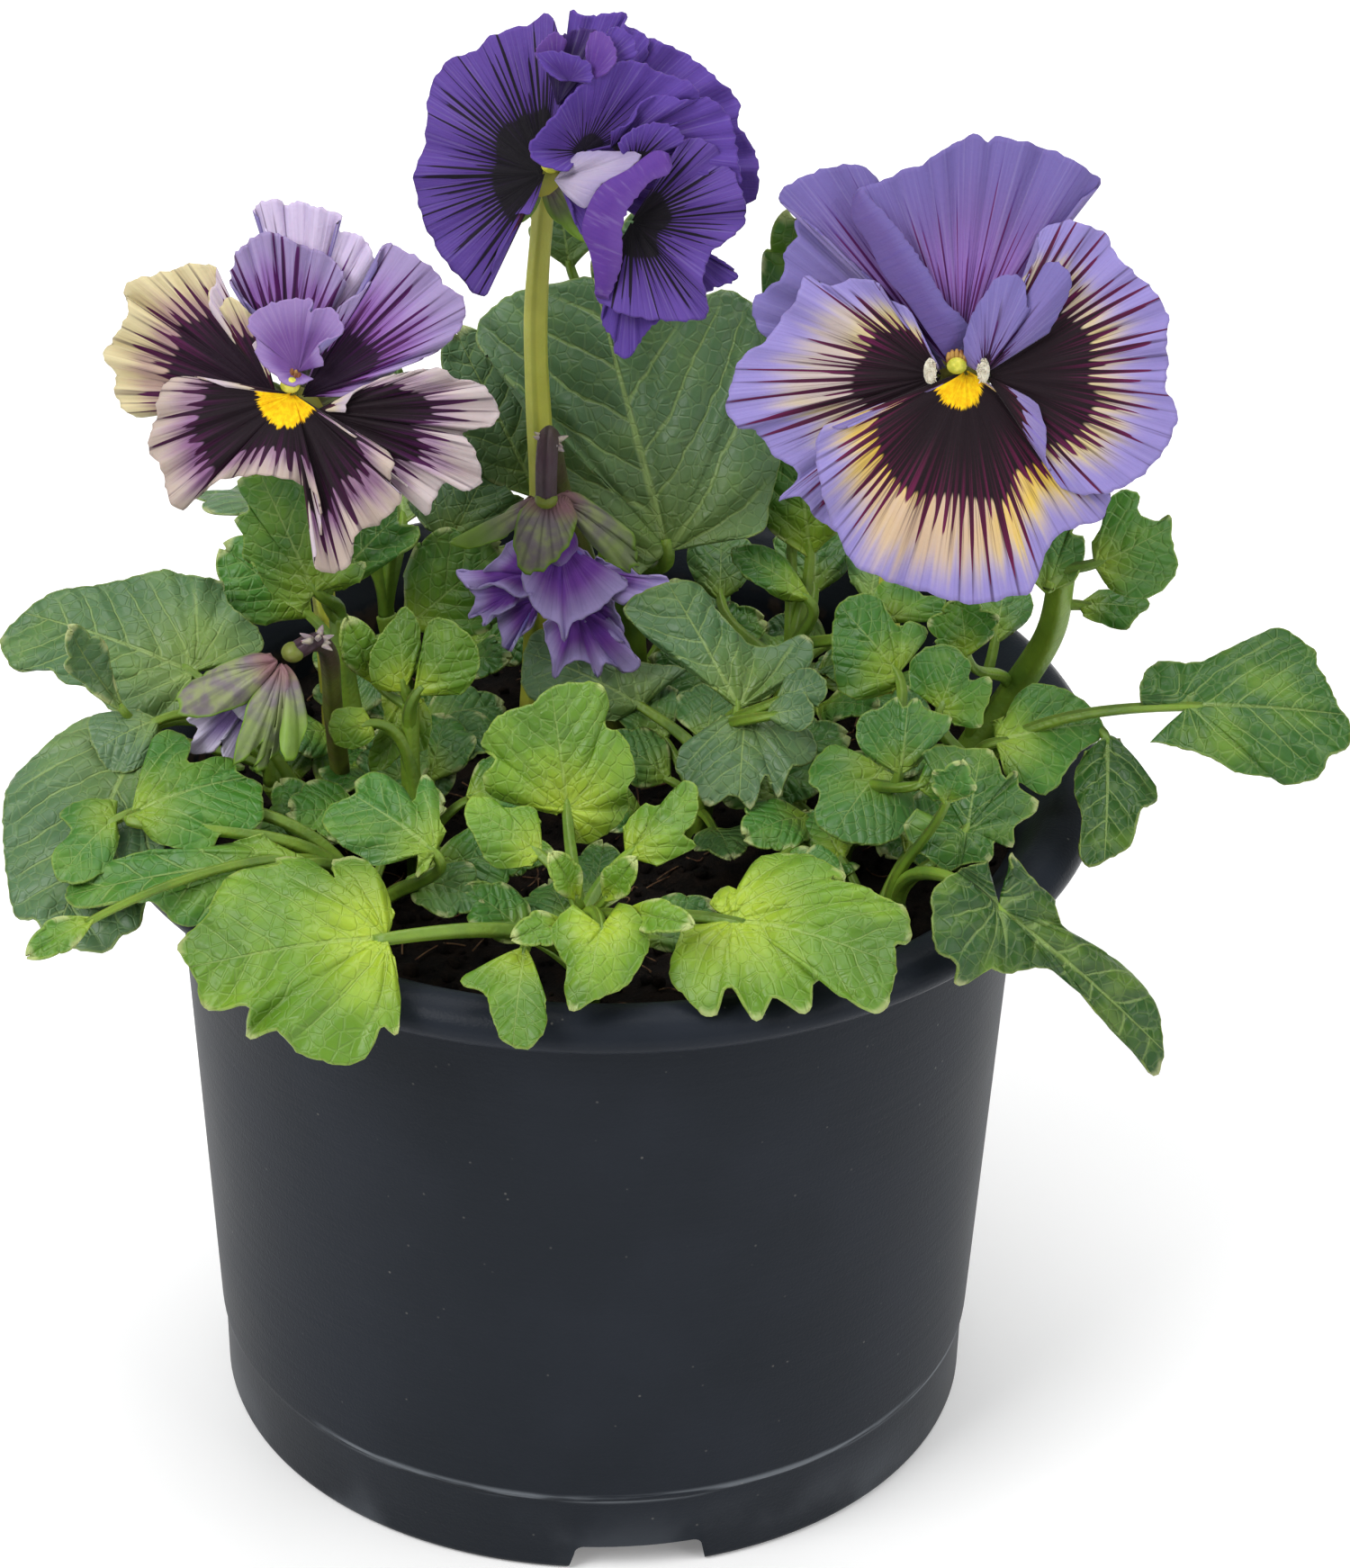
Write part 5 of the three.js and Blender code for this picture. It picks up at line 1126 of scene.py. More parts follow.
@dataclass(frozen=True)
class Fan:
    """A leaf drawn as it looks from the camera: its blade fans out from its foot to its margin.

    Attributes:
        at: where on the stem the petiole starts, from 0 at the root to 1 at the top.
        foot: where the petiole meets the blade, in squares of the drawing sheet.
        height: the foot's height above the ground.
        face: which way its upper face looks.
        thick: the petiole's radius.
        arch: how far the blade rises midway out.
        wave: how far the margin ripples.
        outline: the margin on the sheet, with the blade on its left.
        shade: its own age from 0 to 1, up to 1.5 if it is waxy, and below 0 for painted shade, a darker
        green for a blade that lies in shade, instead of its shoot's.
    """

    at: float
    foot: tuple[float, float]
    height: float
    face: Vec
    thick: float
    arch: float
    wave: float
    outline: tuple[tuple[float, float], ...]
    shade: float | None = None

    ROWS = 34
    RIPPLE = 2.4

    def base(self) -> Array:
        """Where the blade starts.

        Returns:
            The foot in the frame.
        """
        ray = sight(self.foot)
        return EYE + ray * ((self.height - EYE[2]) / ray[2])

    def sheet(self) -> tuple[Array, Array]:
        """The blade's middle surface.

        Straight lines run from the foot to a smooth curve through the margin's points. The blade
        bulges as a skewed sine hump midway out, its outer part sways with the square of the
        distance from the foot, and its edge has fine teeth.

        Returns:
            The (rows, columns, 3) points, and (rows, columns, 4) paint: the place along and across
            the blade as parts of its length, centimetres from the margin, and nearness to a lobe's
            tip.
        """
        foot = self.base()
        face = unit(np.array(self.face, float))
        rays = np.array([sight(spot) for spot in self.outline])
        order = np.arange(len(rays))
        ripples = self.wave * np.sin(self.RIPPLE * order + self.height)
        margin = EYE + rays * (((foot - EYE) @ face) / (rays @ face) + ripples)[:, None]
        line = through(margin, 200)
        length = float(np.sum(np.linalg.norm(np.diff(line, axis=0), axis=1)))
        cols = int(np.clip(length * 1.5, 36, 150))
        edge = through(margin, cols)
        reach = np.linalg.norm(edge - foot, axis=1)
        far = float(reach.max())
        weight = reach[:, None] ** 4
        along = unit((unit(edge - foot) * weight).sum(axis=0))
        along = unit(along - face * (along @ face))
        left = np.cross(face, along)
        seed = 0.37 * self.foot[0] + 0.11 * self.foot[1]
        s = np.linspace(0.03, 1.0, self.ROWS)[:, None]
        t = np.linspace(-1.0, 1.0, cols)[None, :]
        window = np.hanning(max(5, cols // 7 | 1))
        wide = len(window) // 2
        smooth = np.convolve(np.pad(reach, wide, mode="edge"), window / window.sum(), mode="valid")
        bulge = (reach - smooth) / (0.03 * far)
        lobe = np.clip(bulge, 0, 1)[None, :] + 0 * s
        spans = edge - foot
        points = foot + s[..., None] * spans[None]
        ease = np.sqrt(np.clip(1 - t**6, 0, 1))
        rise = self.arch * np.sin(np.pi * s**0.868) * ease
        rise = rise + 0.035 * far * s**2 * ripple(t, 2.2, seed)
        rise = rise + 0.022 * far * s**3 * ripple(t, 5.0, seed + 4)
        rise = rise - 0.05 * far * s**4 * np.clip(bulge, -1, 1)[None, :]
        place = np.stack([(points - foot) @ along, (points - foot) @ left], -1) / far
        tooth = 0.16 * s**8 * ripple(t, 0.45 * length, seed + 2)
        points = points + face * rise[..., None] + unit(spans)[None] * tooth[..., None]
        inward = (1 - s) * reach[None, :] / 10
        paint = np.concatenate([place, np.stack([inward, lobe], -1)], -1)
        return points, paint

    def seat(self) -> tuple[Array, Array, Array, float]:
        """Where the petiole arrives.

        Returns:
            The foot, the way the blade runs on, a point inside the blade and the petiole's radius.
        """
        foot = self.base()
        face = unit(np.array(self.face, float))
        rays = np.array([sight(spot) for spot in self.outline])
        margin = EYE + rays * (((foot - EYE) @ face) / (rays @ face))[:, None]
        along = unit(margin.mean(axis=0) - foot)
        return foot, along, foot + along * 1.6, self.thick


def sight(spot: tuple[float, float]) -> Array:
    """The direction from the camera through a square of the drawing sheet.

    Args:
        spot: squares from the sheet's left edge and from its top edge.

    Returns:
        The direction, one unit deep.
    """
    return EYE_AWAY + EYE_RIGHT * (spot[0] - SHEET[0]) / SHEET[2] + EYE_UP * (SHEET[1] - spot[1]) / SHEET[2]


@dataclass(frozen=True)
class Shoot:
    """A leafy shoot: a stem with its leaves, which replaces the frame's node of the same name.

    Attributes:
        name: of the node.
        age: of its leaves.
        thick: the stem's radius at the root.
        stem: points that the stem passes through.
        leaves: its leaves.
    """

    name: str
    age: Age
    thick: float
    stem: tuple[Vec, ...]
    leaves: tuple[Union[Leaf, Fan], ...]

    BLADE = 0.42
    FULL_SIZE = 32.0
    LOWER = 7
    LOWER_REACH = 49
    STEM_POINTS = 60
    PETIOLE_POINTS = 24

    def make(self, chance: Chance) -> bpy.types.Object:
        """Makes the shoot as one piece.

        Args:
            chance: where the leaves' random tones come from.

        Returns:
            The piece.
        """
        mesher = Mesher()
        path = through(self.stem, self.STEM_POINTS)
        u = np.linspace(0, 1, self.STEM_POINTS)
        mesher.tube(path, self.thick * (1 - 0.3 * u), 14, (0.0, 0.0), 1)
        for leaf in self.leaves:
            foot, along, inside, radius = leaf.seat()
            start = path[int(round(leaf.at * (self.STEM_POINTS - 1)))]
            away = float(np.linalg.norm(foot - start))
            ends = [start, start + [0, 0, 0.4 * away], foot - along * 0.35 * away, inside]
            radii = radius * (1 - 0.35 * np.linspace(0, 1, self.PETIOLE_POINTS))
            mesher.tube(bezier(ends, self.PETIOLE_POINTS), radii, 10, (0.0, 0.0), 1)
            sheet, paint = leaf.sheet()
            age = np.clip(0.5 * self.age + chance.uniform(-0.12, 0.12), 0.0, 1.0)
            # A leaf's own shade below 0 asks the leaf finish for its painted shade green.
            if isinstance(leaf, Fan) and leaf.shade is not None:
                age = leaf.shade
            far = float(np.linalg.norm(sheet - foot, axis=-1).max())
            relief = min(1.0, (far / self.FULL_SIZE) ** 1.4)
            mesher.shell(sheet, paint, (age, relief), 0, self.BLADE)
        self.lower(mesher, chance)
        return mesher.build(self.name + "_foliage", FINISHES["leaf"])

    def lower(self, mesher: Mesher, chance: Chance) -> None:
        """Adds the small dark leaves low down about the stem, in the shade of the others.

        Args:
            mesher: takes them.
            chance: where their places come from.
        """
        root = np.array(self.stem[1], float)
        for number in range(self.LOWER):
            angle = 2 * math.pi * (number + chance.uniform(0, 0.6)) / self.LOWER
            out = np.array([math.cos(angle), math.sin(angle), 0.0])
            foot = root + out * chance.uniform(4, 9) + [0, 0, chance.uniform(2, 9)]
            tip = foot + out * chance.uniform(8, 12) + [0, 0, chance.uniform(0, 5)]
            if np.hypot(tip[0], tip[1]) > self.LOWER_REACH:
                continue
            face = (0.3 * out[0], 0.3 * out[1] - 0.35, 0.85)
            leaf = Leaf(0, tuple(foot), tuple(tip), face, chance.uniform(7, 10.5), 0.5, 2,
                        cut=0.12, arch=1.2, cup=-0.1, wave=0.5, heart=0.04)
            sheet, paint = leaf.sheet()
            mesher.shell(sheet, paint, (chance.uniform(0.45, 0.75), 0.35), 0, self.BLADE)
            ends = [root, root + [0, 0, 2.0], foot - out * 2, foot + out * 1.2]
            mesher.tube(bezier(ends, 12), np.linspace(0.8, 0.55, 12), 8, (0.0, 0.0), 1)


# ---- Petals and blooms -----------------------------------------------------------------------


@dataclass(frozen=True)
class Petal:
    """A petal, or a folded part of one: a sheet from its foot to its margin, in the bloom's frame.

    Points are (right, up, out) from the throat. The margin runs anticlockwise as the bloom is seen
    from the front.

    Attributes:
        paint: the finish of the upper face.
        back: the finish of the underside.
        foot: one point, or a line of points where a folded band starts.
        margin: points on the free edge.
        blotch: how far the dark blotch reaches, as a part of the petal.
        belly: how far its middle stands out.
        ruffle: how far the margin waves in and out.
        waves: about how many waves fit on the margin.
        pleat: how deep the folds are that run along it.
    """

    paint: str
    back: str
    foot: tuple[Vec, ...]
    margin: tuple[Vec, ...]
    blotch: float = 0.0
    belly: float = 0.0
    ruffle: float = 0.8
    waves: float = 7.0
    pleat: float = 0.25

    THICKNESS = 0.3
    ROWS = 40

    def sheet(self, seed: float) -> tuple[Array, Array, Array]:
        """The petal's middle surface, in the bloom's frame.

        Straight lines run from the foot to the margin. The middle bulges as a hump, the outer part
        ruffles with the power 2.6 of the distance from the foot, and the edge is slightly toothed.

        Args:
            seed: makes this petal's waves its own.

        Returns:
            The (rows, columns, 3) points, the paint (place from foot to margin, centimetres along
            the margin) and the tone (reach of the blotch, place from side to side).
        """
        rough_line = through(self.margin, 240)
        length = float(np.sum(np.linalg.norm(np.diff(rough_line, axis=0), axis=1)))
        cols = int(np.clip(length * 2.0, 32, 140))
        edge = through(self.margin, cols)
        foot = through(self.foot, cols) if len(self.foot) > 1 else np.tile(self.foot[0], (cols, 1))
        foot = np.asarray(foot, float)
        s = np.linspace(0.02, 1.0, self.ROWS)[:, None]
        t = np.linspace(-1.0, 1.0, cols)[None, :]
        span = edge - foot
        reach = np.linalg.norm(span, axis=1)[None, :]
        points = foot[None] + span[None] * s[..., None]
        away = unit(span)[None]
        ease = np.sqrt(np.clip(1 - t**6, 0, 1))
        size = np.clip(reach / 14.0, 0.2, 1.2)
        lift = self.belly * 4 * s * (1 - s) * ease
        lift = lift + self.ruffle * size * s**2.6 * ripple(t, self.waves, seed)
        lift = lift + 0.22 * self.ruffle * size * s**5 * ripple(t, 2.7 * self.waves, seed + 5)
        lift = lift + 0.5 * self.pleat * size * s * (1.15 - s) * ripple(t, 1.6 * self.waves, seed + 9)
        tooth = 0.22 * s**8 * ripple(t, 3.3 * self.waves, seed + 2)
        points = points + UP * lift[..., None] + away * tooth[..., None]
        arc = t * length / 20.0 + seed * 3.0
        paint = np.stack(np.broadcast_arrays(s, arc), -1)
        tone = np.stack(np.broadcast_arrays(np.full_like(s, self.blotch), t), -1)
        return points, paint, tone


@dataclass(frozen=True)
class Bloom:
    """A ruffled bloom: petals in their layers, with the throat's stigma, tufts of hair and anthers.

    Attributes:
        name: of the frame's node that it replaces.
        throat: where the petals meet.
        facing: which way the bloom looks.
        petals: its petals, from back to front.
        stigma: the stigma's place in the bloom's frame.
        tufts: the places of the tufts of pale hairs.
    """

    name: str
    throat: Vec
    facing: Vec
    petals: tuple[Petal, ...]
    stigma: Vec
    tufts: tuple[Vec, ...]

    STIGMA = np.array([1.25, 1.05, 1.0])
    HOLLOW = np.array([0.38, 0.3, 0.25])
    ANTHER = np.array([0.35, 0.85, 0.4])
    TUFT = np.array([0.8, 1.6, 0.5])
    HAIRS = 150

    def axes(self) -> Array:
        """The bloom's own right, up and out.

        Returns:
            The three directions, one a row.
        """
        out = unit(np.array(self.facing, float))
        up = unit(UP - out * (UP @ out))
        return np.stack([np.cross(up, out), up, out])

    def make(self, chance: Chance) -> bpy.types.Object:
        """Makes the bloom as one piece.

        Args:
            chance: where its random numbers come from.

        Returns:
            The piece.
        """
        axes = self.axes()
        throat = np.array(self.throat, float)
        mesher = Mesher()
        used = sorted({p.paint for p in self.petals} | {p.back for p in self.petals})
        for petal in self.petals:
            sheet, paint, tone = petal.sheet(chance.uniform(0, 6))
            slot, under = used.index(petal.paint), used.index(petal.back)
            mesher.shell(throat + sheet @ axes, paint, tone, slot, Petal.THICKNESS, under=under)
        small = len(used)
        stigma = throat + np.array(self.stigma) @ axes
        mesher.ball(stigma, self.STIGMA, axes, (0, 0), small, 16)
        hollow = stigma + np.array([0.0, -0.15, 0.65]) @ axes
        mesher.ball(hollow, self.HOLLOW, axes, (0, 0), small + 1, 10)
        for k in range(5):
            angle = math.radians(40 + 25 * k)
            at = np.array([1.3 * math.cos(angle), 1.1 * math.sin(angle) + 0.2, -0.2])
            mesher.ball(stigma + at @ axes, self.ANTHER, axes, (0, 0), small + 1, 10)
        for tuft in self.tufts:
            self.hairs(mesher, throat, axes, np.array(tuft, float), chance, small + 2)
        names = used + ["stigma", "anther", "tuft"]
        return mesher.build(self.name + "_petals", [FINISHES[n] for n in names])

    def hairs(
        self, mesher: Mesher, throat: Array, axes: Array, tuft: Array, chance: Chance, slot: int
    ) -> None:
        """Adds a tuft of short thick hairs.

        Args:
            mesher: takes the hairs.
            throat: the bloom's origin.
            axes: the bloom's directions.
            tuft: the tuft's middle.
            chance: where its random numbers come from.
            slot: the hairs' finish.
        """
        mesher.ball(throat + tuft @ axes, self.TUFT, axes, (0, 0), slot, 14)
        for _ in range(self.HAIRS):
            root = tuft + unit(chance.normal(0, 1, 3)) * [0.72, 1.5, 0.42]
            lean = np.array([-0.4 * np.sign(tuft[0]), chance.normal(0, 0.4), 0.9 + chance.normal(0, 0.3)])
            tip = root + unit(lean) * chance.uniform(0.25, 0.55)
            path = throat + np.linspace(root, tip, 4) @ axes
            mesher.tube(path, np.array([0.12, 0.11, 0.08, 0.03]), 5, (0, 0), slot, 0.0)


@dataclass(frozen=True)
class Stalk:
    """The stalk of a bloom or a bud, with its sepals.

    Attributes:
        name: of the frame's node that it replaces.
        path: points that it passes through.
        thick: its radius at the root.
        taper: how much thinner it is at its end.
        behind: how far behind its bloom's throat it ends.
        finish: the name of the stalk's finish.
        sepals: a bud's sepals.
        bracts: where the small pale teeth about a bud's neck stand, and their height.
    """

    name: str
    path: tuple[Vec, ...]
    thick: float
    taper: float
    behind: float
    finish: str
    sepals: tuple[Fan, ...] = ()
    bracts: tuple[tuple[float, float], float] | None = None

    POINTS = 90
    SIDES = 18

    def make(self, chance: Chance, bloom: Bloom | None = None) -> bpy.types.Object:
        """Makes the stalk as one piece.

        Args:
            chance: where its random numbers come from.
            bloom: the bloom that it carries, if any.

        Returns:
            The piece.
        """
        mesher = Mesher()
        points = self.path
        sepals: list[Union[Leaf, Fan]] = list(self.sepals)
        if bloom:
            end, calyx = self.calyx(bloom, mesher)
            points = points + (end,)
            sepals += calyx
        path = through(points, self.POINTS)
        u = np.linspace(0, 1, self.POINTS)
        radii = self.thick * (1 - self.taper * u) * (1 + 0.02 * np.sin(40 * u + self.thick))
        mesher.tube(path, radii, self.SIDES, (0, 0), 0)
        if not bloom:
            mesher.ball(path[-1], np.array([1.5, 1.5, 1.3]), np.eye(3), (0, 0), 0, 14)
        for number, sepal in enumerate(sepals):
            sheet, paint = sepal.sheet()
            mesher.shell(sheet, paint, (min(1.0, 0.45 * number), chance.uniform(0, 1)), 1, 0.45)
        if self.bracts:
            self.teeth(mesher, chance)
        names = [self.finish, "sepal", "bract"]
        return mesher.build(self.name + "_dressed", [FINISHES[n] for n in names])

    def calyx(self, bloom: Bloom, mesher: Mesher) -> tuple[Vec, list[Leaf]]:
        """Adds the cup behind a bloom and lays out its five sepals.

        Args:
            bloom: the bloom that they carry.
            mesher: takes the cup.

        Returns:
            The end of the stalk, and the sepals.
        """
        axes = bloom.axes()
        end = np.array(bloom.throat, float) - axes[2] * self.behind
        cup = end + axes[2] * np.linspace(-1.4, 3.1, 12)[:, None]
        radii = np.interp(np.linspace(0, 1, 12), [0, 0.3, 1], [1.3, 1.9, 3.0])
        mesher.tube(cup, radii, self.SIDES, (0, 0), 0)
        sepals = []
        for k in range(5):
            angle = math.radians(90 + 72 * k)
            spoke = math.cos(angle) * axes[0] + math.sin(angle) * axes[1]
            foot = end + 0.8 * spoke + 1.0 * axes[2]
            tip = foot + 9.0 * spoke - 1.4 * axes[2]
            sepals.append(Leaf(0, tuple(foot), tuple(tip), tuple(axes[2]), 4.4, 0.4, 1,
                               cut=0.1, arch=0.2, cup=-0.1, wave=0.2, heart=0))
        return tuple(end), sepals

    def teeth(self, mesher: Mesher, chance: Chance) -> None:
        """Adds the small pale teeth at the top of a bud's neck.

        Args:
            mesher: takes them.
            chance: where their random numbers come from.
        """
        spot, height = self.bracts
        ray = sight(spot)
        at = EYE + ray * ((height - EYE[2]) / ray[2])
        for k in range(9):
            angle = 0.7 * k + chance.uniform(-0.2, 0.2)
            way = unit(np.array([math.cos(angle), 0.5 * math.sin(angle), chance.uniform(-0.5, 0.7)]))
            root = at + way * 0.9
            path = np.linspace(root, root + way * chance.uniform(0.7, 1.7), 5)
            mesher.tube(path, np.array([0.4, 0.4, 0.33, 0.22, 0.06]), 8, (0, 0), 2, 0.1)


@dataclass(frozen=True)
class BudPetals:
    """The folded petals that show below a bud's sepals.

    Attributes:
        name: of the frame's node that it replaces.
        neck: the top of the bud.
        core: the end of the bud's core.
        paint: the finish of the petals.
        back: the finish of their undersides and their edges.
        petals: the folded petals, drawn as they look from the camera.
    """

    name: str
    neck: Vec
    core: Vec
    paint: str
    back: str
    petals: tuple[Fan, ...]

    def make(self, chance: Chance) -> bpy.types.Object:
        """Makes the petals as one piece.

        Each petal is fluted by a wave that grows towards its margin, and its margin turns outwards.

        Args:
            chance: where their random numbers come from.

        Returns:
            The piece.
        """
        mesher = Mesher()
        neck, core = np.array(self.neck, float), np.array(self.core, float)
        axis = unit(core - neck)
        path = np.linspace(neck + axis * 1.5, core, 16)
        mesher.tube(path, 2.6 * np.sin(np.linspace(0.4, 2.4, 16)), 14, (0.0, 0.0), 0, 0.1)
        for petal in self.petals:
            sheet, _ = petal.sheet()
            rows, cols = sheet.shape[:2]
            s = np.linspace(0, 1, rows)[:, None]
            t = np.linspace(-1, 1, cols)[None]
            seed = chance.uniform(0, 6)
            face = unit(np.array(petal.face, float))
            wave = 0.9 * s**1.6 * ripple(t, 3.5, seed) + 1.1 * s**7
            sheet = sheet + face * wave[..., None]
            paint = np.stack(np.broadcast_arrays(s, t * cols / 30 + seed), -1)
            tone = np.stack(np.broadcast_arrays(np.zeros_like(s), t), -1)
            mesher.shell(sheet, paint, tone, 0, 0.35, under=1)
        return mesher.build(self.name + "_petals", [FINISHES[self.paint], FINISHES[self.back]])


# ---- The plant's tables ----------------------------------------------------------------------

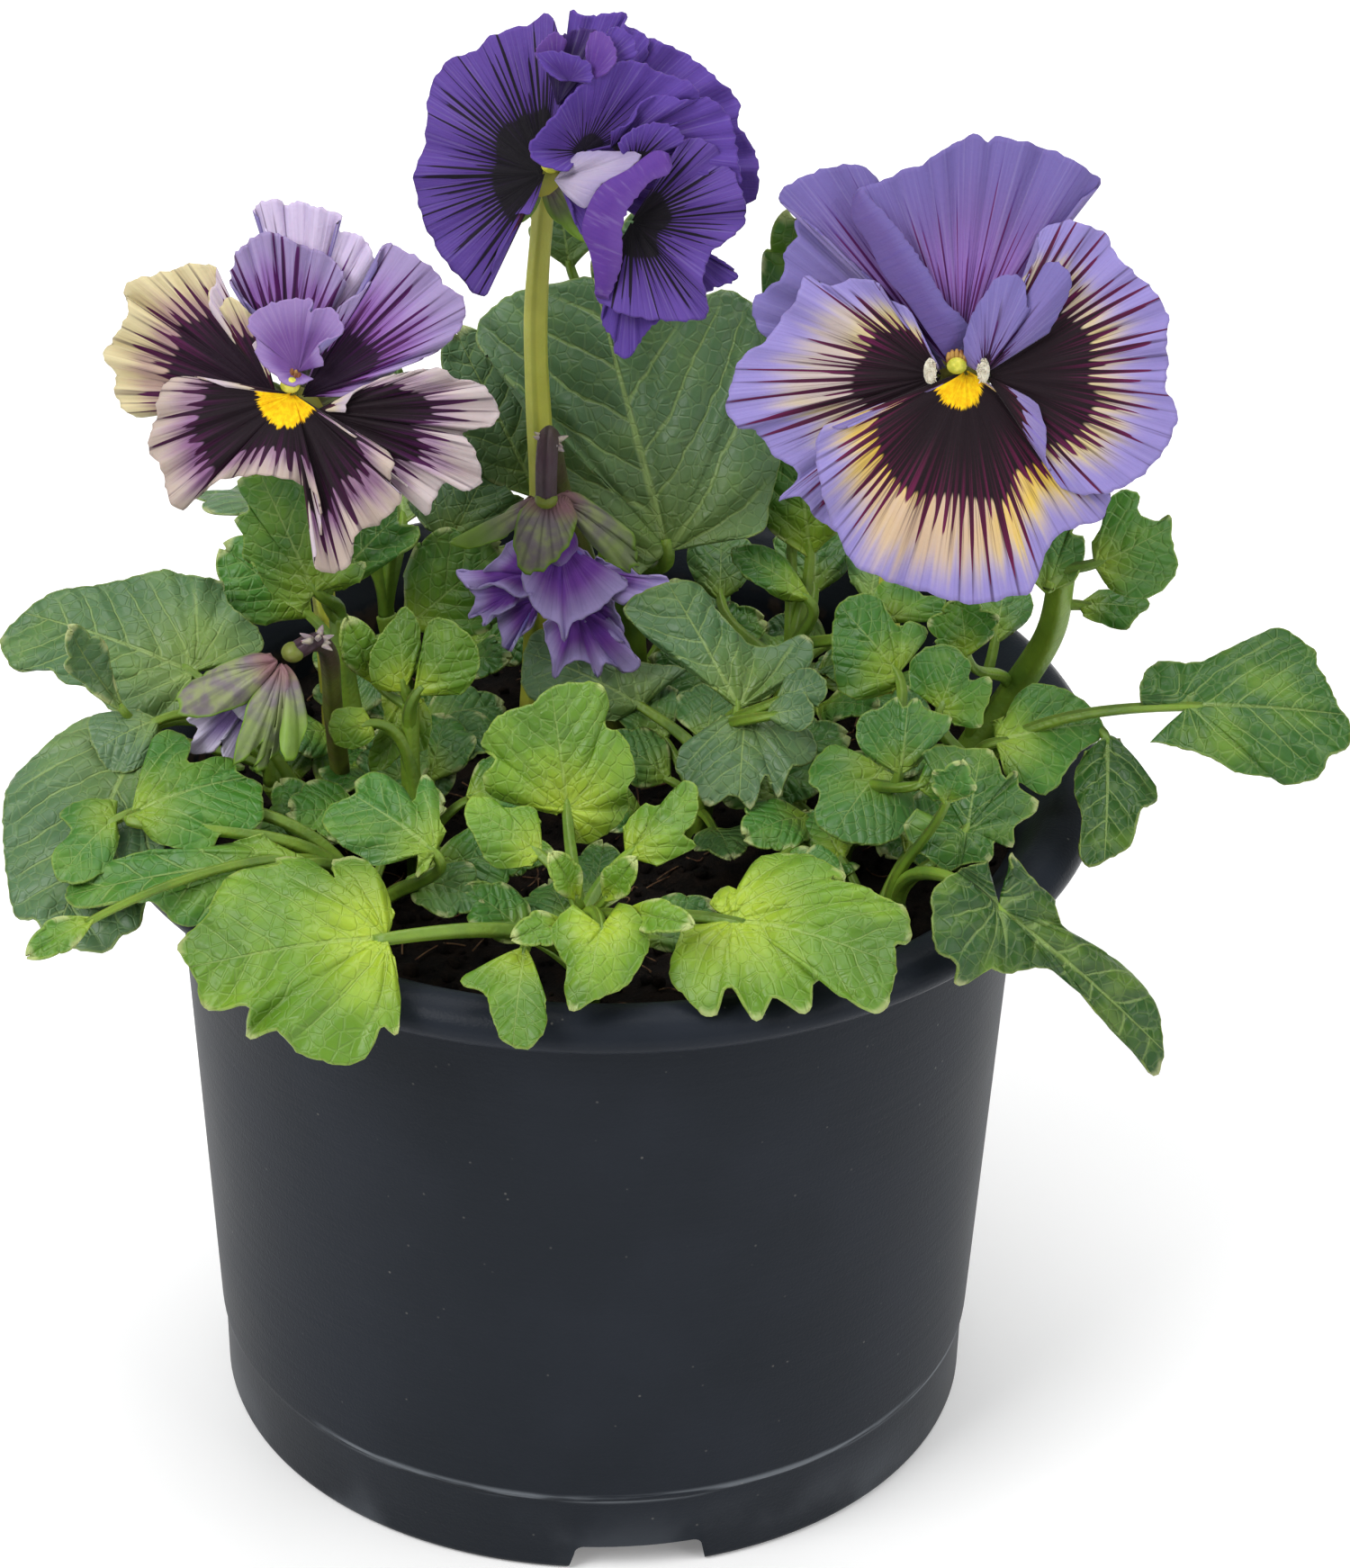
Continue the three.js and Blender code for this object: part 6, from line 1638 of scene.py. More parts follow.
SHOOTS: tuple[Shoot, ...] = (
    Shoot("front_rosette", Age.YOUNG, 2,
          ((-1, -43, 73), (-1, -43, 87), (-1.5, -47, 95), (-1, -50, 101)), (
        Fan(0.8, (630, 899), 107, (0.1, -0.9, 0.45), 1, 1.2, 0.5, (
            (630, 933), (652, 937), (688, 914), (699, 896), (696, 878), (705, 860), (701, 837),
            (690, 815), (672, 806), (676, 784), (669, 762), (642, 758), (610, 765), (592, 780),
            (569, 788), (552, 797), (535, 828), (550, 842), (537, 863), (545, 882), (596, 899),
            (618, 905))),
        Fan(0.9, (601, 950), 104, (0.2, -0.6, 0.75), 1, 0.8, 0.4, (
            (600, 913), (592, 897), (558, 899), (546, 886), (521, 888), (517, 909), (529, 934),
            (546, 961), (590, 963))),
        Fan(0.9, (696, 951), 105, (-0.2, -0.7, 0.6), 1, 0.8, 0.4, (
            (730, 962), (774, 937), (760, 928), (771, 915), (774, 874), (760, 867), (733, 896),
            (717, 894), (692, 919))),
        Fan(1, (669, 1031), 104.5, (0, -0.5, 0.85), 1, 1.4, 0.5, (
            (637, 1005), (612, 1033), (619, 1055), (630, 1074), (628, 1096), (635, 1121), (660, 1112),
            (696, 1094), (710, 1074), (721, 1051), (715, 1028), (701, 1008), (687, 1003))),
        Fan(0.5, (815, 1024), 102.5, (-0.1, -0.4, 0.9), 1.2, 1.6, 0.5, (
            (760, 1028), (744, 1083), (755, 1101), (790, 1125), (811, 1103), (840, 1129), (860, 1113),
            (896, 1119), (908, 1092), (937, 1108), (962, 1121), (980, 1121), (996, 1074), (996, 1053),
            (1010, 1042), (1003, 1005), (980, 1002), (960, 990), (924, 985), (940, 969), (899, 951),
            (878, 942), (842, 951), (828, 971), (817, 992), (806, 978), (796, 983), (790, 1010))),
        Fan(0.4, (429, 1043), 101.5, (0, -0.5, 0.85), 1.3, 1.6, 0.6, (
            (438, 1018), (428, 985), (419, 968), (400, 949), (369, 951), (372, 980), (342, 951),
            (306, 949), (312, 968), (260, 970), (240, 997), (229, 1025), (198, 1045), (217, 1088),
            (227, 1113), (277, 1122), (273, 1147), (308, 1149), (333, 1170), (383, 1180), (408, 1168),
            (425, 1145), (440, 1147), (444, 1118), (442, 1093), (438, 1068))),
        Fan(0.3, (583, 1053), 101.5, (0, -0.35, 0.95), 1, 1, 0.3, (
            (518, 1082), (512, 1092), (538, 1103), (546, 1130), (562, 1157), (588, 1163), (604, 1147),
            (606, 1118), (598, 1085))),
        Leaf(0.95, (-2, -50.5, 105), (-5, -51.5, 112), (0.3, -0.8, 0.5),
             4.5, 0.55, 1, 0.2, 0.6, 0.2, 0.2, 0),
        Leaf(0.95, (1.5, -50.5, 105), (5, -52.5, 112), (-0.3, -0.8, 0.5),
             4.5, 0.55, 1, 0.2, 0.6, 0.2, 0.2, 0),
        Leaf(0.95, (4, -53, 104.5), (12, -59, 107), (0, -0.6, 0.8),
             5, 0.5, 1, 0.15, 0.8, 0.1, 0.2, 0),
        Leaf(0.9, (-3, -54, 103.5), (-9.5, -58, 104), (0, -0.6, 0.8),
             5, 0.5, 1, 0.2, 0.8, 0.1, 0.2, 0),
    )),
    Shoot("front_left_shoot", Age.GROWN, 1.7,
          ((-29, -30, 73), (-29, -30, 87), (-32, -31, 94)), (
        Fan(0.6, (483, 947), 104, (0, -0.5, 0.85), 1, 1, 0.5, (
            (496, 925), (490, 915), (485, 880), (471, 859), (459, 893), (446, 872), (417, 857),
            (394, 867), (396, 884), (371, 892), (358, 913), (375, 934), (400, 951), (417, 961),
            (465, 953), (462, 972), (475, 968))),
        Fan(1, (147, 905), 103, (0, -0.4, 0.9), 1, 1.2, 0.4, (
            (157, 920), (180, 938), (217, 945), (237, 938), (246, 925), (264, 927), (290, 913),
            (292, 892), (287, 867), (262, 861), (271, 847), (246, 838), (225, 847), (208, 852),
            (212, 830), (200, 813), (179, 813), (156, 862))),
        Fan(0.82, (128, 910), 101.8, (0.05, -0.4, 0.9), 1, 0.8, 0.3, (
            (131, 890), (100, 888), (67, 901), (79, 926), (58, 951), (62, 972), (87, 982), (117, 967),
            (133, 930))),
        Fan(0.9, (345, 958), 99.5, (0, -0.4, 0.9), 1, 1.5, 0.5, (
            (292, 932), (250, 938), (187, 947), (125, 955), (73, 984), (83, 1005), (150, 1005),
            (168, 1001), (200, 1022), (229, 1022), (290, 1000), (330, 982))),
        Leaf(0.75, (-62, -46, 97.8), (-69.5, -50, 95), (0.2, -0.4, 0.9),
             5, 0.5, 1, 0.15, 0.8, 0.1, 0.2, 0),
    )),
    Shoot("left_shoot", Age.OLD, 1.9,
          ((-38, -8, 73), (-38, -8, 87), (-42, -9, 95)), (
        Fan(1, (213, 747), 108, (0.05, -0.5, 0.85), 1, 1.2, 0.5, (
            (238, 743), (267, 734), (292, 717), (283, 692), (262, 680), (250, 655), (246, 638),
            (221, 647), (200, 638), (183, 634), (158, 642), (100, 651), (50, 663), (8, 697), (0, 709),
            (17, 742), (54, 747), (71, 759), (100, 767), (121, 788), (146, 795), (179, 799), (204, 797),
            (211, 768))),
        Fan(0.9, (160, 815), 105, (-0.1, -0.42, 0.9), 1, 1.2, 0.4, (
            (142, 797), (100, 797), (71, 813), (50, 830), (17, 855), (8, 880), (4, 922), (8, 976),
            (17, 1013), (42, 1026), (54, 1042), (83, 1051), (117, 1055), (133, 1042), (154, 1030),
            (160, 1013), (185, 940), (190, 870), (179, 830))),
        Leaf(0.8, (-60, -14, 108), (-66, -19, 123), (0.4, -0.85, 0.2),
             6, 0.6, 2, 0.3, -2, 0.2, 0.6, 0),
        Fan(0.7, (175, 800), 107, (0, -0.5, 0.85), 1, 0.8, 0.3, (
            (155, 790), (100, 797), (104, 830), (121, 855), (146, 857), (175, 830))),
    )),
    Shoot("inner_left_shoot", Age.YOUNG, 1.6,
          ((-23, -14, 73), (-23, -14, 87), (-24, -12, 100), (-24, -10, 108)), (
        Fan(1, (449, 767), 110, (0.1, -0.9, 0.4), 1, 0.6, 0.3, (
            (462, 740), (467, 713), (465, 692), (450, 674), (437, 688), (417, 713), (410, 738),
            (417, 763), (433, 768))),
        Fan(0.9, (461, 772), 110, (-0.1, -0.9, 0.4), 1, 0.6, 0.3, (
            (512, 772), (529, 751), (533, 726), (521, 705), (496, 688), (479, 688), (470, 726),
            (465, 747))),
        Fan(0.6, (450, 771), 107, (0, -0.8, 0.5), 1, 0.6, 0.3, (
            (423, 772), (427, 800), (410, 838), (412, 857), (433, 851), (450, 834), (471, 834),
            (479, 801), (471, 776))),
        Fan(0.55, (412, 802), 106.5, (0.1, -0.8, 0.5), 1, 0.5, 0.3, (
            (404, 786), (375, 788), (365, 805), (375, 828), (400, 830), (417, 819))),
        Leaf(0.95, (-28.5, -7, 109), (-32, -6.5, 118), (0.1, -0.9, 0.4),
             5.5, 0.55, 1, 0.1, 0.8, 0.1, 0.3, 0),
    )),
    Shoot("left_back_shoot", Age.GROWN, 1.8,
          ((-31, 6, 73), (-31, 6, 87), (-33, 7, 100), (-34, 8, 110)), (
        Fan(1, (350, 657), 116.5, (0.1, -0.95, 0.3), 1, 1, 0.5, (
            (400, 646), (407, 625), (368, 628), (369, 577), (354, 537), (302, 525), (264, 534),
            (276, 563), (261, 577), (271, 596), (271, 620), (283, 628), (297, 653), (316, 668),
            (335, 680))),
        Fan(0.95, (362, 657), 114, (-0.1, -0.8, 0.6), 1, 0.8, 0.4, (
            (383, 655), (430, 625), (464, 601), (464, 584), (445, 582), (440, 553), (407, 558),
            (380, 600), (366, 632))),
        Leaf(0.7, (-38, 13, 107), (-49, 16, 115), (0, -0.8, 0.6),
             13, 0.55, 3, 0.08, 1.6, -0.05, 0.4, 0),
        Leaf(0.8, (-25.5, 12, 106), (-13.5, 14, 117), (0.1, -0.8, 0.6),
             15, 0.55, 3, 0.08, 1.5, -0.05, 0.4, 0.02),
    )),
    Shoot("tall_shoot", Age.OLD, 2.2,
          ((4, 26, 73), (4, 26, 87), (3, 28, 105), (1, 33, 122), (-2, 36, 140)), (
        Fan(0.45, (742, 612), 116, (0, -0.9, 0.45), 1.5, 2, 0.7, (
            (830, 596), (850, 588), (854, 563), (868, 500), (866, 430), (852, 377), (845, 349),
            (826, 330), (802, 322), (735, 349), (692, 320), (654, 308), (616, 315), (573, 325),
            (545, 344), (530, 363), (530, 382), (545, 400), (592, 470), (625, 540), (668, 600),
            (711, 638))),
        Leaf(0.6, (-9, 27, 118), (-19.5, 33, 138), (0, -0.85, 0.5),
             15, 0.5, 3, 0.12, 1.2, 0.08, 0.6, 0.05),
        Leaf(0.95, (-5, 37, 146), (-7, 34.5, 161), (0, -0.95, 0.3),
             9, 0.5, 3, 0.2, 1, 0.1, 0.5, 0),
        Leaf(0.9, (2, 40, 136), (5, 41, 152), (0, -0.9, 0.4),
             12, 0.5, 3, 0.15, 1, 0.1, 0.5, 0),
        Fan(0.5, (500, 602), 114, (0.1, -0.75, 0.65), 1, 0.8, 0.4, (
            (554, 587), (583, 553), (569, 549), (554, 520), (521, 510), (488, 525), (454, 553),
            (473, 587))),
    )),
    Shoot("centre_shoot", Age.OLD, 1.9,
          ((13, -3, 73), (13, -3, 87), (15, -5, 98)), (
        Fan(1, (821, 787), 107, (0.1, -0.65, 0.75), 1, 1, 0.5, (
            (851, 778), (878, 755), (901, 737), (903, 715), (896, 703), (860, 717), (833, 717),
            (815, 701), (796, 678), (778, 651), (760, 646), (701, 665), (694, 678), (762, 741),
            (795, 770))),
        Fan(1, (828, 793), 106, (0, -0.5, 0.85), 1, 1, 0.5, (
            (801, 796), (778, 815), (755, 833), (751, 851), (767, 874), (787, 894), (815, 887),
            (835, 896), (851, 862), (865, 885), (880, 856), (896, 851), (908, 833), (901, 815),
            (880, 806), (851, 797))),
        Fan(1, (852, 796), 108.5, (-0.2, -0.6, 0.75), 1, 0.5, 0.2, (
            (874, 812), (896, 810), (905, 792), (892, 769), (878, 769), (857, 783))),
        Fan(1, (862, 780), 109.5, (-0.2, -0.7, 0.65), 1, 0.5, 0.2, (
            (910, 785), (919, 769), (915, 753), (896, 742), (874, 751))),
        Fan(0.8, (712, 785), 98.5, (0, -0.55, 0.8), 1, 1.5, 0.4, (
            (765, 742), (710, 735), (650, 715), (596, 701), (580, 742), (587, 774), (683, 801))),
    )),
    Shoot("middle_back_shoot", Age.GROWN, 1.7,
          ((23, 17, 73), (23, 17, 87), (25, 17, 100)), (
        Fan(1, (902, 668), 108.5, (0.1, -0.6, 0.8), 1, 0.8, 0.3, (
            (875, 622), (851, 608), (812, 610), (826, 640), (851, 655), (878, 668))),
        Leaf(1, (27, 23, 112), (24.5, 28, 131), (-0.1, -0.85, 0.5),
             15, 0.5, 3, 0.2, 1.4, 0.1, 0.7, 0.05),
        Leaf(0.9, (24.5, 33, 125), (24, 34.5, 155), (-0.7, -0.7, 0.2),
             9, 0.6, 3, 0.3, 1.5, 0.3, 1, 0),
        Fan(0.9, (985, 692), 110.5, (-0.1, -0.6, 0.8), 1, 0.6, 0.3, (
            (1049, 691), (1049, 664), (1026, 662), (1008, 646), (979, 648), (968, 670))),
        Fan(0.8, (800, 668), 100, (0, -0.5, 0.87), 1, 0.8, 0.5, (
            (820, 655), (838, 630), (836, 606), (815, 592), (790, 590), (768, 602), (765, 628),
            (780, 655)), 0.7),
        Fan(0.8, (905, 660), 101, (0.1, -0.5, 0.87), 1, 0.8, 0.5, (
            (922, 650), (942, 630), (946, 604), (930, 588), (905, 581), (880, 586), (860, 600), (868, 625),
            (885, 645)), 0.6),
        Fan(0.8, (965, 672), 103, (0.1, -0.5, 0.87), 1, 0.8, 0.5, (
            (985, 660), (1003, 632), (1000, 606), (980, 592), (955, 596), (942, 615), (945, 645)), 0.75),
    )),
    Shoot("right_inner_shoot", Age.GROWN, 1.8,
          ((31, -13, 73), (31, -13, 87), (33, -14, 96)), (
        Fan(1, (998, 748), 108, (0, -0.75, 0.65), 1, 1, 0.4, (
            (1015, 728), (1030, 701), (1010, 690), (998, 698), (987, 683), (978, 665), (955, 660),
            (933, 671), (926, 692), (924, 715), (926, 742), (933, 767), (951, 776), (998, 766))),
        Fan(1, (1000, 860), 106.5, (0.1, -0.85, 0.5), 1, 0.8, 0.4, (
            (1019, 851), (1038, 826), (1058, 799), (1028, 787), (1017, 774), (1005, 787), (996, 774),
            (980, 785), (958, 794), (951, 812), (955, 828), (970, 845))),
        Fan(1, (1019, 874), 105.5, (0.1, -0.8, 0.5), 1, 0.4, 0.2, (
            (1037, 890), (1060, 885), (1062, 869), (1049, 840), (1028, 849))),
        Fan(0.9, (980, 856), 103.5, (0, -0.45, 0.9), 1, 1, 0.4, (
            (950, 838), (924, 828), (901, 851), (901, 874), (910, 883), (905, 910), (924, 928),
            (960, 940), (987, 937), (1008, 919), (1015, 892), (1008, 869))),
        Leaf(0.5, (25, -34, 98), (31, -33, 97.5), (0, -0.4, 0.9),
             9, 0.5, 1, 0.06, 0.8, 0.05, 0.2, 0),
    )),
    Shoot("right_shoot", Age.GROWN, 1.9,
          ((46, -8, 73), (46, -8, 87), (48, -9, 97)), (
        Fan(1, (1044, 788), 109.5, (0, -0.9, 0.45), 1, 0.6, 0.4, (
            (1060, 805), (1090, 808), (1092, 796), (1101, 769), (1101, 753), (1076, 755), (1078, 737),
            (1060, 719), (1037, 717), (1015, 730), (1010, 746), (1010, 765))),
        Fan(1, (1107, 824), 105, (0, -0.5, 0.85), 1, 0.8, 0.4, (
            (1113, 848), (1120, 864), (1135, 871), (1158, 882), (1174, 875), (1185, 857), (1204, 832),
            (1222, 821), (1224, 803), (1201, 775), (1185, 769), (1149, 762), (1131, 773), (1116, 798),
            (1101, 800))),
        # This leaf and the next take a shade below 0: a darker green painted on as shade.
        Fan(0.9, (1230, 818), 105.5, (0.1, -0.4, 0.9), 1, 1, 0.3, (
            (1206, 836), (1197, 853), (1195, 875), (1201, 907), (1201, 953), (1215, 962), (1235, 953),
            (1258, 935), (1265, 907), (1285, 889), (1283, 873), (1258, 844), (1244, 822)), -0.7),
        Fan(0.8, (1322, 785), 112, (0, -0.55, 0.85), 1, 1, 0.5, (
            (1279, 821), (1313, 832), (1349, 844), (1376, 857), (1415, 864), (1431, 870), (1467, 862),
            (1476, 844), (1497, 830), (1499, 803), (1485, 785), (1476, 760), (1463, 739), (1463, 721),
            (1445, 710), (1420, 698), (1395, 710), (1349, 730), (1322, 739), (1285, 735), (1267, 760),
            (1268, 782)), -0.4),
    )),
    Shoot("front_right_shoot", Age.GROWN, 1.8,
          ((35, -30, 73), (35, -30, 87), (38, -32, 93)), (
        # Both leaves take a shade below 0: a darker green painted on as shade.
        Fan(1, (1110, 1010), 101, (0.45, -0.65, 0.6), 1, 1.2, 0.5, (
            (1097, 957), (1067, 966), (1038, 989), (1033, 1012), (1034, 1035), (1038, 1057),
            (1054, 1073), (1067, 1094), (1099, 1078), (1117, 1082), (1140, 1077), (1167, 1078),
            (1195, 1100), (1240, 1145), (1290, 1194), (1294, 1180), (1288, 1157), (1283, 1116),
            (1267, 1089), (1249, 1071), (1213, 1048), (1185, 1032), (1170, 1016), (1174, 1000),
            (1140, 978), (1126, 948), (1114, 968)), -0.75),
        Fan(1, (1074, 924), 103.5, (0, -0.65, 0.75), 1, 1, 0.5, (
            (1019, 900), (1005, 915), (1010, 933), (1028, 951), (1051, 965), (1074, 960), (1101, 955),
            (1105, 937), (1124, 940), (1128, 919), (1151, 901), (1151, 887), (1133, 878), (1130, 853),
            (1117, 867), (1110, 851), (1101, 833), (1078, 833), (1042, 828), (1024, 837)), -0.4),
        Leaf(0.9, (43.5, -35.5, 110.5), (45, -36.5, 117), (0, -0.85, 0.5),
             6, 0.5, 2, 0.3, 0.4, 0.1, 0.3, 0),
    )),
    Shoot("right_back_shoot", Age.GROWN, 2.4,
          ((48, 12, 73), (48, 12, 87), (53.5, 12.5, 97), (58, 10, 108), (59, 6, 119)), (
        Fan(1, (1216, 628), 121, (0.1, -0.9, 0.4), 1, 0.8, 0.4, (
            (1231, 653), (1249, 662), (1276, 664), (1299, 648), (1308, 628), (1301, 598), (1301, 573),
            (1286, 580), (1263, 568), (1265, 550), (1249, 544), (1231, 557), (1224, 587), (1213, 603))),
        Fan(1, (1162, 659), 118, (0.1, -0.9, 0.4), 1, -0.6, 0.3, (
            (1195, 644), (1204, 621), (1204, 598), (1190, 592), (1195, 580), (1185, 573), (1167, 589),
            (1147, 645))),
        Fan(0.85, (1199, 672), 113, (0, -0.5, 0.85), 1, 0.6, 0.3, (
            (1204, 687), (1235, 696), (1254, 698), (1263, 686), (1276, 676), (1276, 666), (1222, 655))),
        Leaf(0.5, (47, 3, 109), (46, 3.5, 117), (0, -0.9, 0.4),
             9.5, 0.5, 2, 0.3, 0.5, 0.1, 0.5, 0),
        Fan(0.3, (1105, 716), 104, (0, -0.5, 0.87), 1, 0.8, 0.5, (
            (1125, 704), (1146, 680), (1140, 655), (1118, 645), (1092, 650), (1076, 668), (1085, 698)), 0.6),
    )),
    Shoot("back_left_shoot", Age.OLD, 1.9,
          ((-27, 30, 73), (-27, 30, 87), (-29, 32, 96)), (
        Leaf(1, (-34, 34, 106), (-55, 42, 108), (0, 0.35, 0.95),
             19, 0.5, 3, 0.14, 2.5, -0.1, 0.7, 0.08),
        Leaf(1, (-27, 40, 106), (-31, 62, 106), (0, 0.3, 0.95),
             18, 0.5, 3, 0.2, 2.5, -0.1, 0.7, 0.1),
        Leaf(1, (-29, 37, 116), (-34, 42, 132), (0.1, 0.7, 0.7),
             14, 0.5, 3, 0.22, 1.4, 0.1, 0.6, 0.06),
    )),
    Shoot("back_shoot", Age.GROWN, 1.9,
          ((0, 43, 73), (0, 43, 87), (0, 45, 98)), (
        Leaf(1, (-3, 50, 107), (-6, 73, 104.5), (0, 0.35, 0.95),
             21, 0.5, 3, 0.2, 3, -0.1, 0.8, 0.12),
        Leaf(1, (-8, 49, 113), (-14, 56, 129), (0, 0.75, 0.65),
             14, 0.5, 3, 0.24, 1.2, 0.1, 0.6, 0.06),
        Leaf(1, (7, 49, 113.5), (13, 58, 129), (0, 0.75, 0.65),
             15, 0.5, 3, 0.2, 1.2, 0.1, 0.6, 0.06),
    )),
    Shoot("back_right_shoot", Age.OLD, 1.9,
          ((34, 31, 73), (34, 31, 87), (36, 33, 97)), (
        Leaf(1, (42, 36, 106), (62, 45, 106), (0, 0.35, 0.95),
             19, 0.5, 3, 0.16, 2.5, -0.1, 0.7, 0.1),
        Leaf(1, (34, 41, 107), (38, 62, 108), (0, 0.3, 0.95),
             17, 0.5, 3, 0.2, 2.5, -0.1, 0.7, 0.1),
        Leaf(1, (38, 37, 115), (42, 43, 131), (0, 0.75, 0.65),
             14, 0.5, 3, 0.22, 1.4, 0.1, 0.6, 0.06),
    )),
)

RIGHT_PETALS: tuple[Petal, ...] = (
    Petal("lilac_plain", "lilac_back", ((-1.5, 1, -1.2),),
          ((-3, 4, -1.5), (-9, 14, -2.6), (-14, 18.5, -3), (-18.2, 19.8, -2.6), (-20.2, 19.4, -3.4),
           (-20, 17.1, -2.6), (-21.3, 15.9, -3.2), (-21.8, 12.3, -2.4), (-23.8, 10.7, -3.2),
           (-25.4, 9.1, -2.6), (-24.5, 5.5, -3), (-15, 0, -2)), ruffle=0.6),
    Petal("violet_upper", "lilac_back", ((-1, 1.5, -0.8),),
          ((-3, 5, -0.8), (-7.4, 14, -1.4), (-10.3, 24.6, -2), (-13.1, 26.2, -1.2),
           (-15.9, 25.8, -2.2), (-19, 24.8, -1.4), (-22.4, 22.2, -2), (-18.6, 19, -1.2),
           (-14.7, 15.4, -0.8), (-10.7, 11.8, -0.6), (-7.2, 8, -0.4), (-3, 3, -0.4)),
          blotch=0.32, ruffle=0.5, pleat=0.5),
    Petal("violet_upper", "lilac_back", ((0.2, 1.6, -0.2),),
          ((3, 4, -0.4), (9, 12, -1.2), (13.6, 19.6, -1.6), (15.4, 22.2, -0.8), (17.6, 24.2, -1.8),
           (13.8, 27, -0.8), (11, 28.3, -2), (7.9, 29.1, -1), (4.5, 29.8, -2), (3.4, 29, -1.6),
           (1.9, 30.1, -1), (-0.4, 28.9, -1.8), (-2.4, 27.8, -0.8), (-4.8, 26.2, -1.6),
           (-7.2, 25.4, -0.8), (-9.5, 24.2, -1.2), (-12.6, 22.8, 0.2), (-10.5, 16, 0.4),
           (-6, 9, 0.4), (-2.4, 4, 0.2)), blotch=0.3, ruffle=0.6, pleat=0.6),
    Petal("blue_back", "violet_upper",
          ((-1.6, 2.4, 0.8), (-4, 5.6, 1.2), (-6.4, 9.1, 1.6), (-9.5, 12.7, 1.7), (-11.5, 16.7, 1.4),
           (-13.3, 19.4, 0.9), (-13.2, 22.2, 0.4)),
          ((0.6, 3.4, 0.6), (1.1, 6.4, 1.2), (-1.6, 9.1, 1.5), (-4, 13.1, 1.6), (-8, 18.6, 1.2),
           (-12.3, 23.2, 0.6)), ruffle=0.1, pleat=0.1, belly=0.8),
    Petal("cream_lateral", "lilac_back", ((-2.2, 0.2, 1),),
          ((-2.6, 1.6, 1.4), (-4, 4, 1.8), (-5.2, 6.4, 1.4), (-6.4, 8.4, 1.8), (-9.7, 10.1, 1),
           (-9.9, 11.3, 1.2), (-13.1, 12.1, 0.2), (-15.9, 11.1, 0.8), (-19, 12.3, -0.4),
           (-20.2, 9.5, 0.4), (-22.4, 6.4, -0.6), (-24.2, 4, 0.2), (-26.6, 2.6, -0.6),
           (-28.1, -1.1, 0.6), (-28.7, -3.9, -0.4), (-27.4, -6.3, 0.4), (-25.2, -6.6, -0.6),
           (-24.2, -7.9, 0.3), (-22.2, -10.3, -0.6), (-20.2, -11.4, 0.2), (-19.8, -13, -0.6),
           (-22.2, -15.4, -0.2), (-19.4, -14.9, -0.8), (-17.9, -17, -0.4), (-13.9, -19.4, -1),
           (-9, -14, -0.4), (-4, -5, 0.4)), blotch=0.56, ruffle=0.9, waves=9),
    Petal("gold_lip", "lilac_back", ((1, 0.8, 1.2),),
          ((-2.4, -1.6, 1.6), (-5.6, -2.9, 2.2), (-9.5, -4.1, 2.8), (-14.7, -6.5, 3.4),
           (-16.6, -6, 4.2), (-17.7, -9.1, 3.6), (-17.3, -12.2, 4.2), (-16.5, -15.8, 3.2),
           (-14.7, -19.8, 2), (-13.1, -22.9, 1.8), (-9.5, -24.9, 2.6), (-6, -26.1, 2),
           (-1.6, -27.3, 3), (1.9, -28.1, 2.2), (5.9, -27.3, 3), (9.1, -26.5, 2),
           (10.3, -23.7, 2.4), (11.8, -20.2, 1.4), (15, -18.4, 0.6), (18, -17.4, 0.2),
           (19, -14.2, -0.4), (14, -9, 0), (9, -5, 0.6), (4.6, -1.2, 1.4)),
          blotch=0.66, ruffle=0.8, waves=8, belly=0.5),
    Petal("cream_lateral", "lilac_back", ((3.5, 0.2, 1.6),),
          ((7.1, -1.9, 2.2), (9.5, -3.1, 2.6), (10.8, -6.7, 3), (10.8, -9.9, 3.2),
           (11.6, -11.8, 3), (13, -13.6, 2.8), (15.8, -14.4, 2.6), (19.8, -13.8, 2),
           (22.5, -12.2, 2.4), (24.5, -10.3, 1.6), (26.8, -6.3, 2.4), (27, -3.5, 1.4),
           (25.5, -1.1, 2), (26.1, 1.6, 1.2), (25.7, 4, 2), (25.9, 7.6, 1), (24.5, 10.3, 1.8),
           (22.1, 12.7, 0.8), (19.8, 14.7, 1.6), (18, 17.9, 0.4), (15.8, 18.8, 1.2),
           (13.4, 19.4, 0), (11.8, 19, 0.6), (9.9, 17.9, 0), (9.7, 15.1, 0.4), (6, 8, 0.8)),
          blotch=0.68, ruffle=0.7, waves=9),
    Petal("blue_lobe", "lilac_back", ((3, 0.4, 2),),
          ((11, 5.5, 2.5), (13.6, 11.5, 4.4), (13, 13.5, 4.2), (10.8, 14.2, 3.4), (9.2, 10.5, 3),
           (8.3, 8.4, 4.6), (7.6, 12.2, 4.4), (4.7, 12.4, 4), (3.1, 10.3, 4), (1.9, 8.4, 3.6),
           (0.6, 4.4, 3), (0.8, 1.6, 2.2)), blotch=0.3, ruffle=0.4, belly=1.2),
)

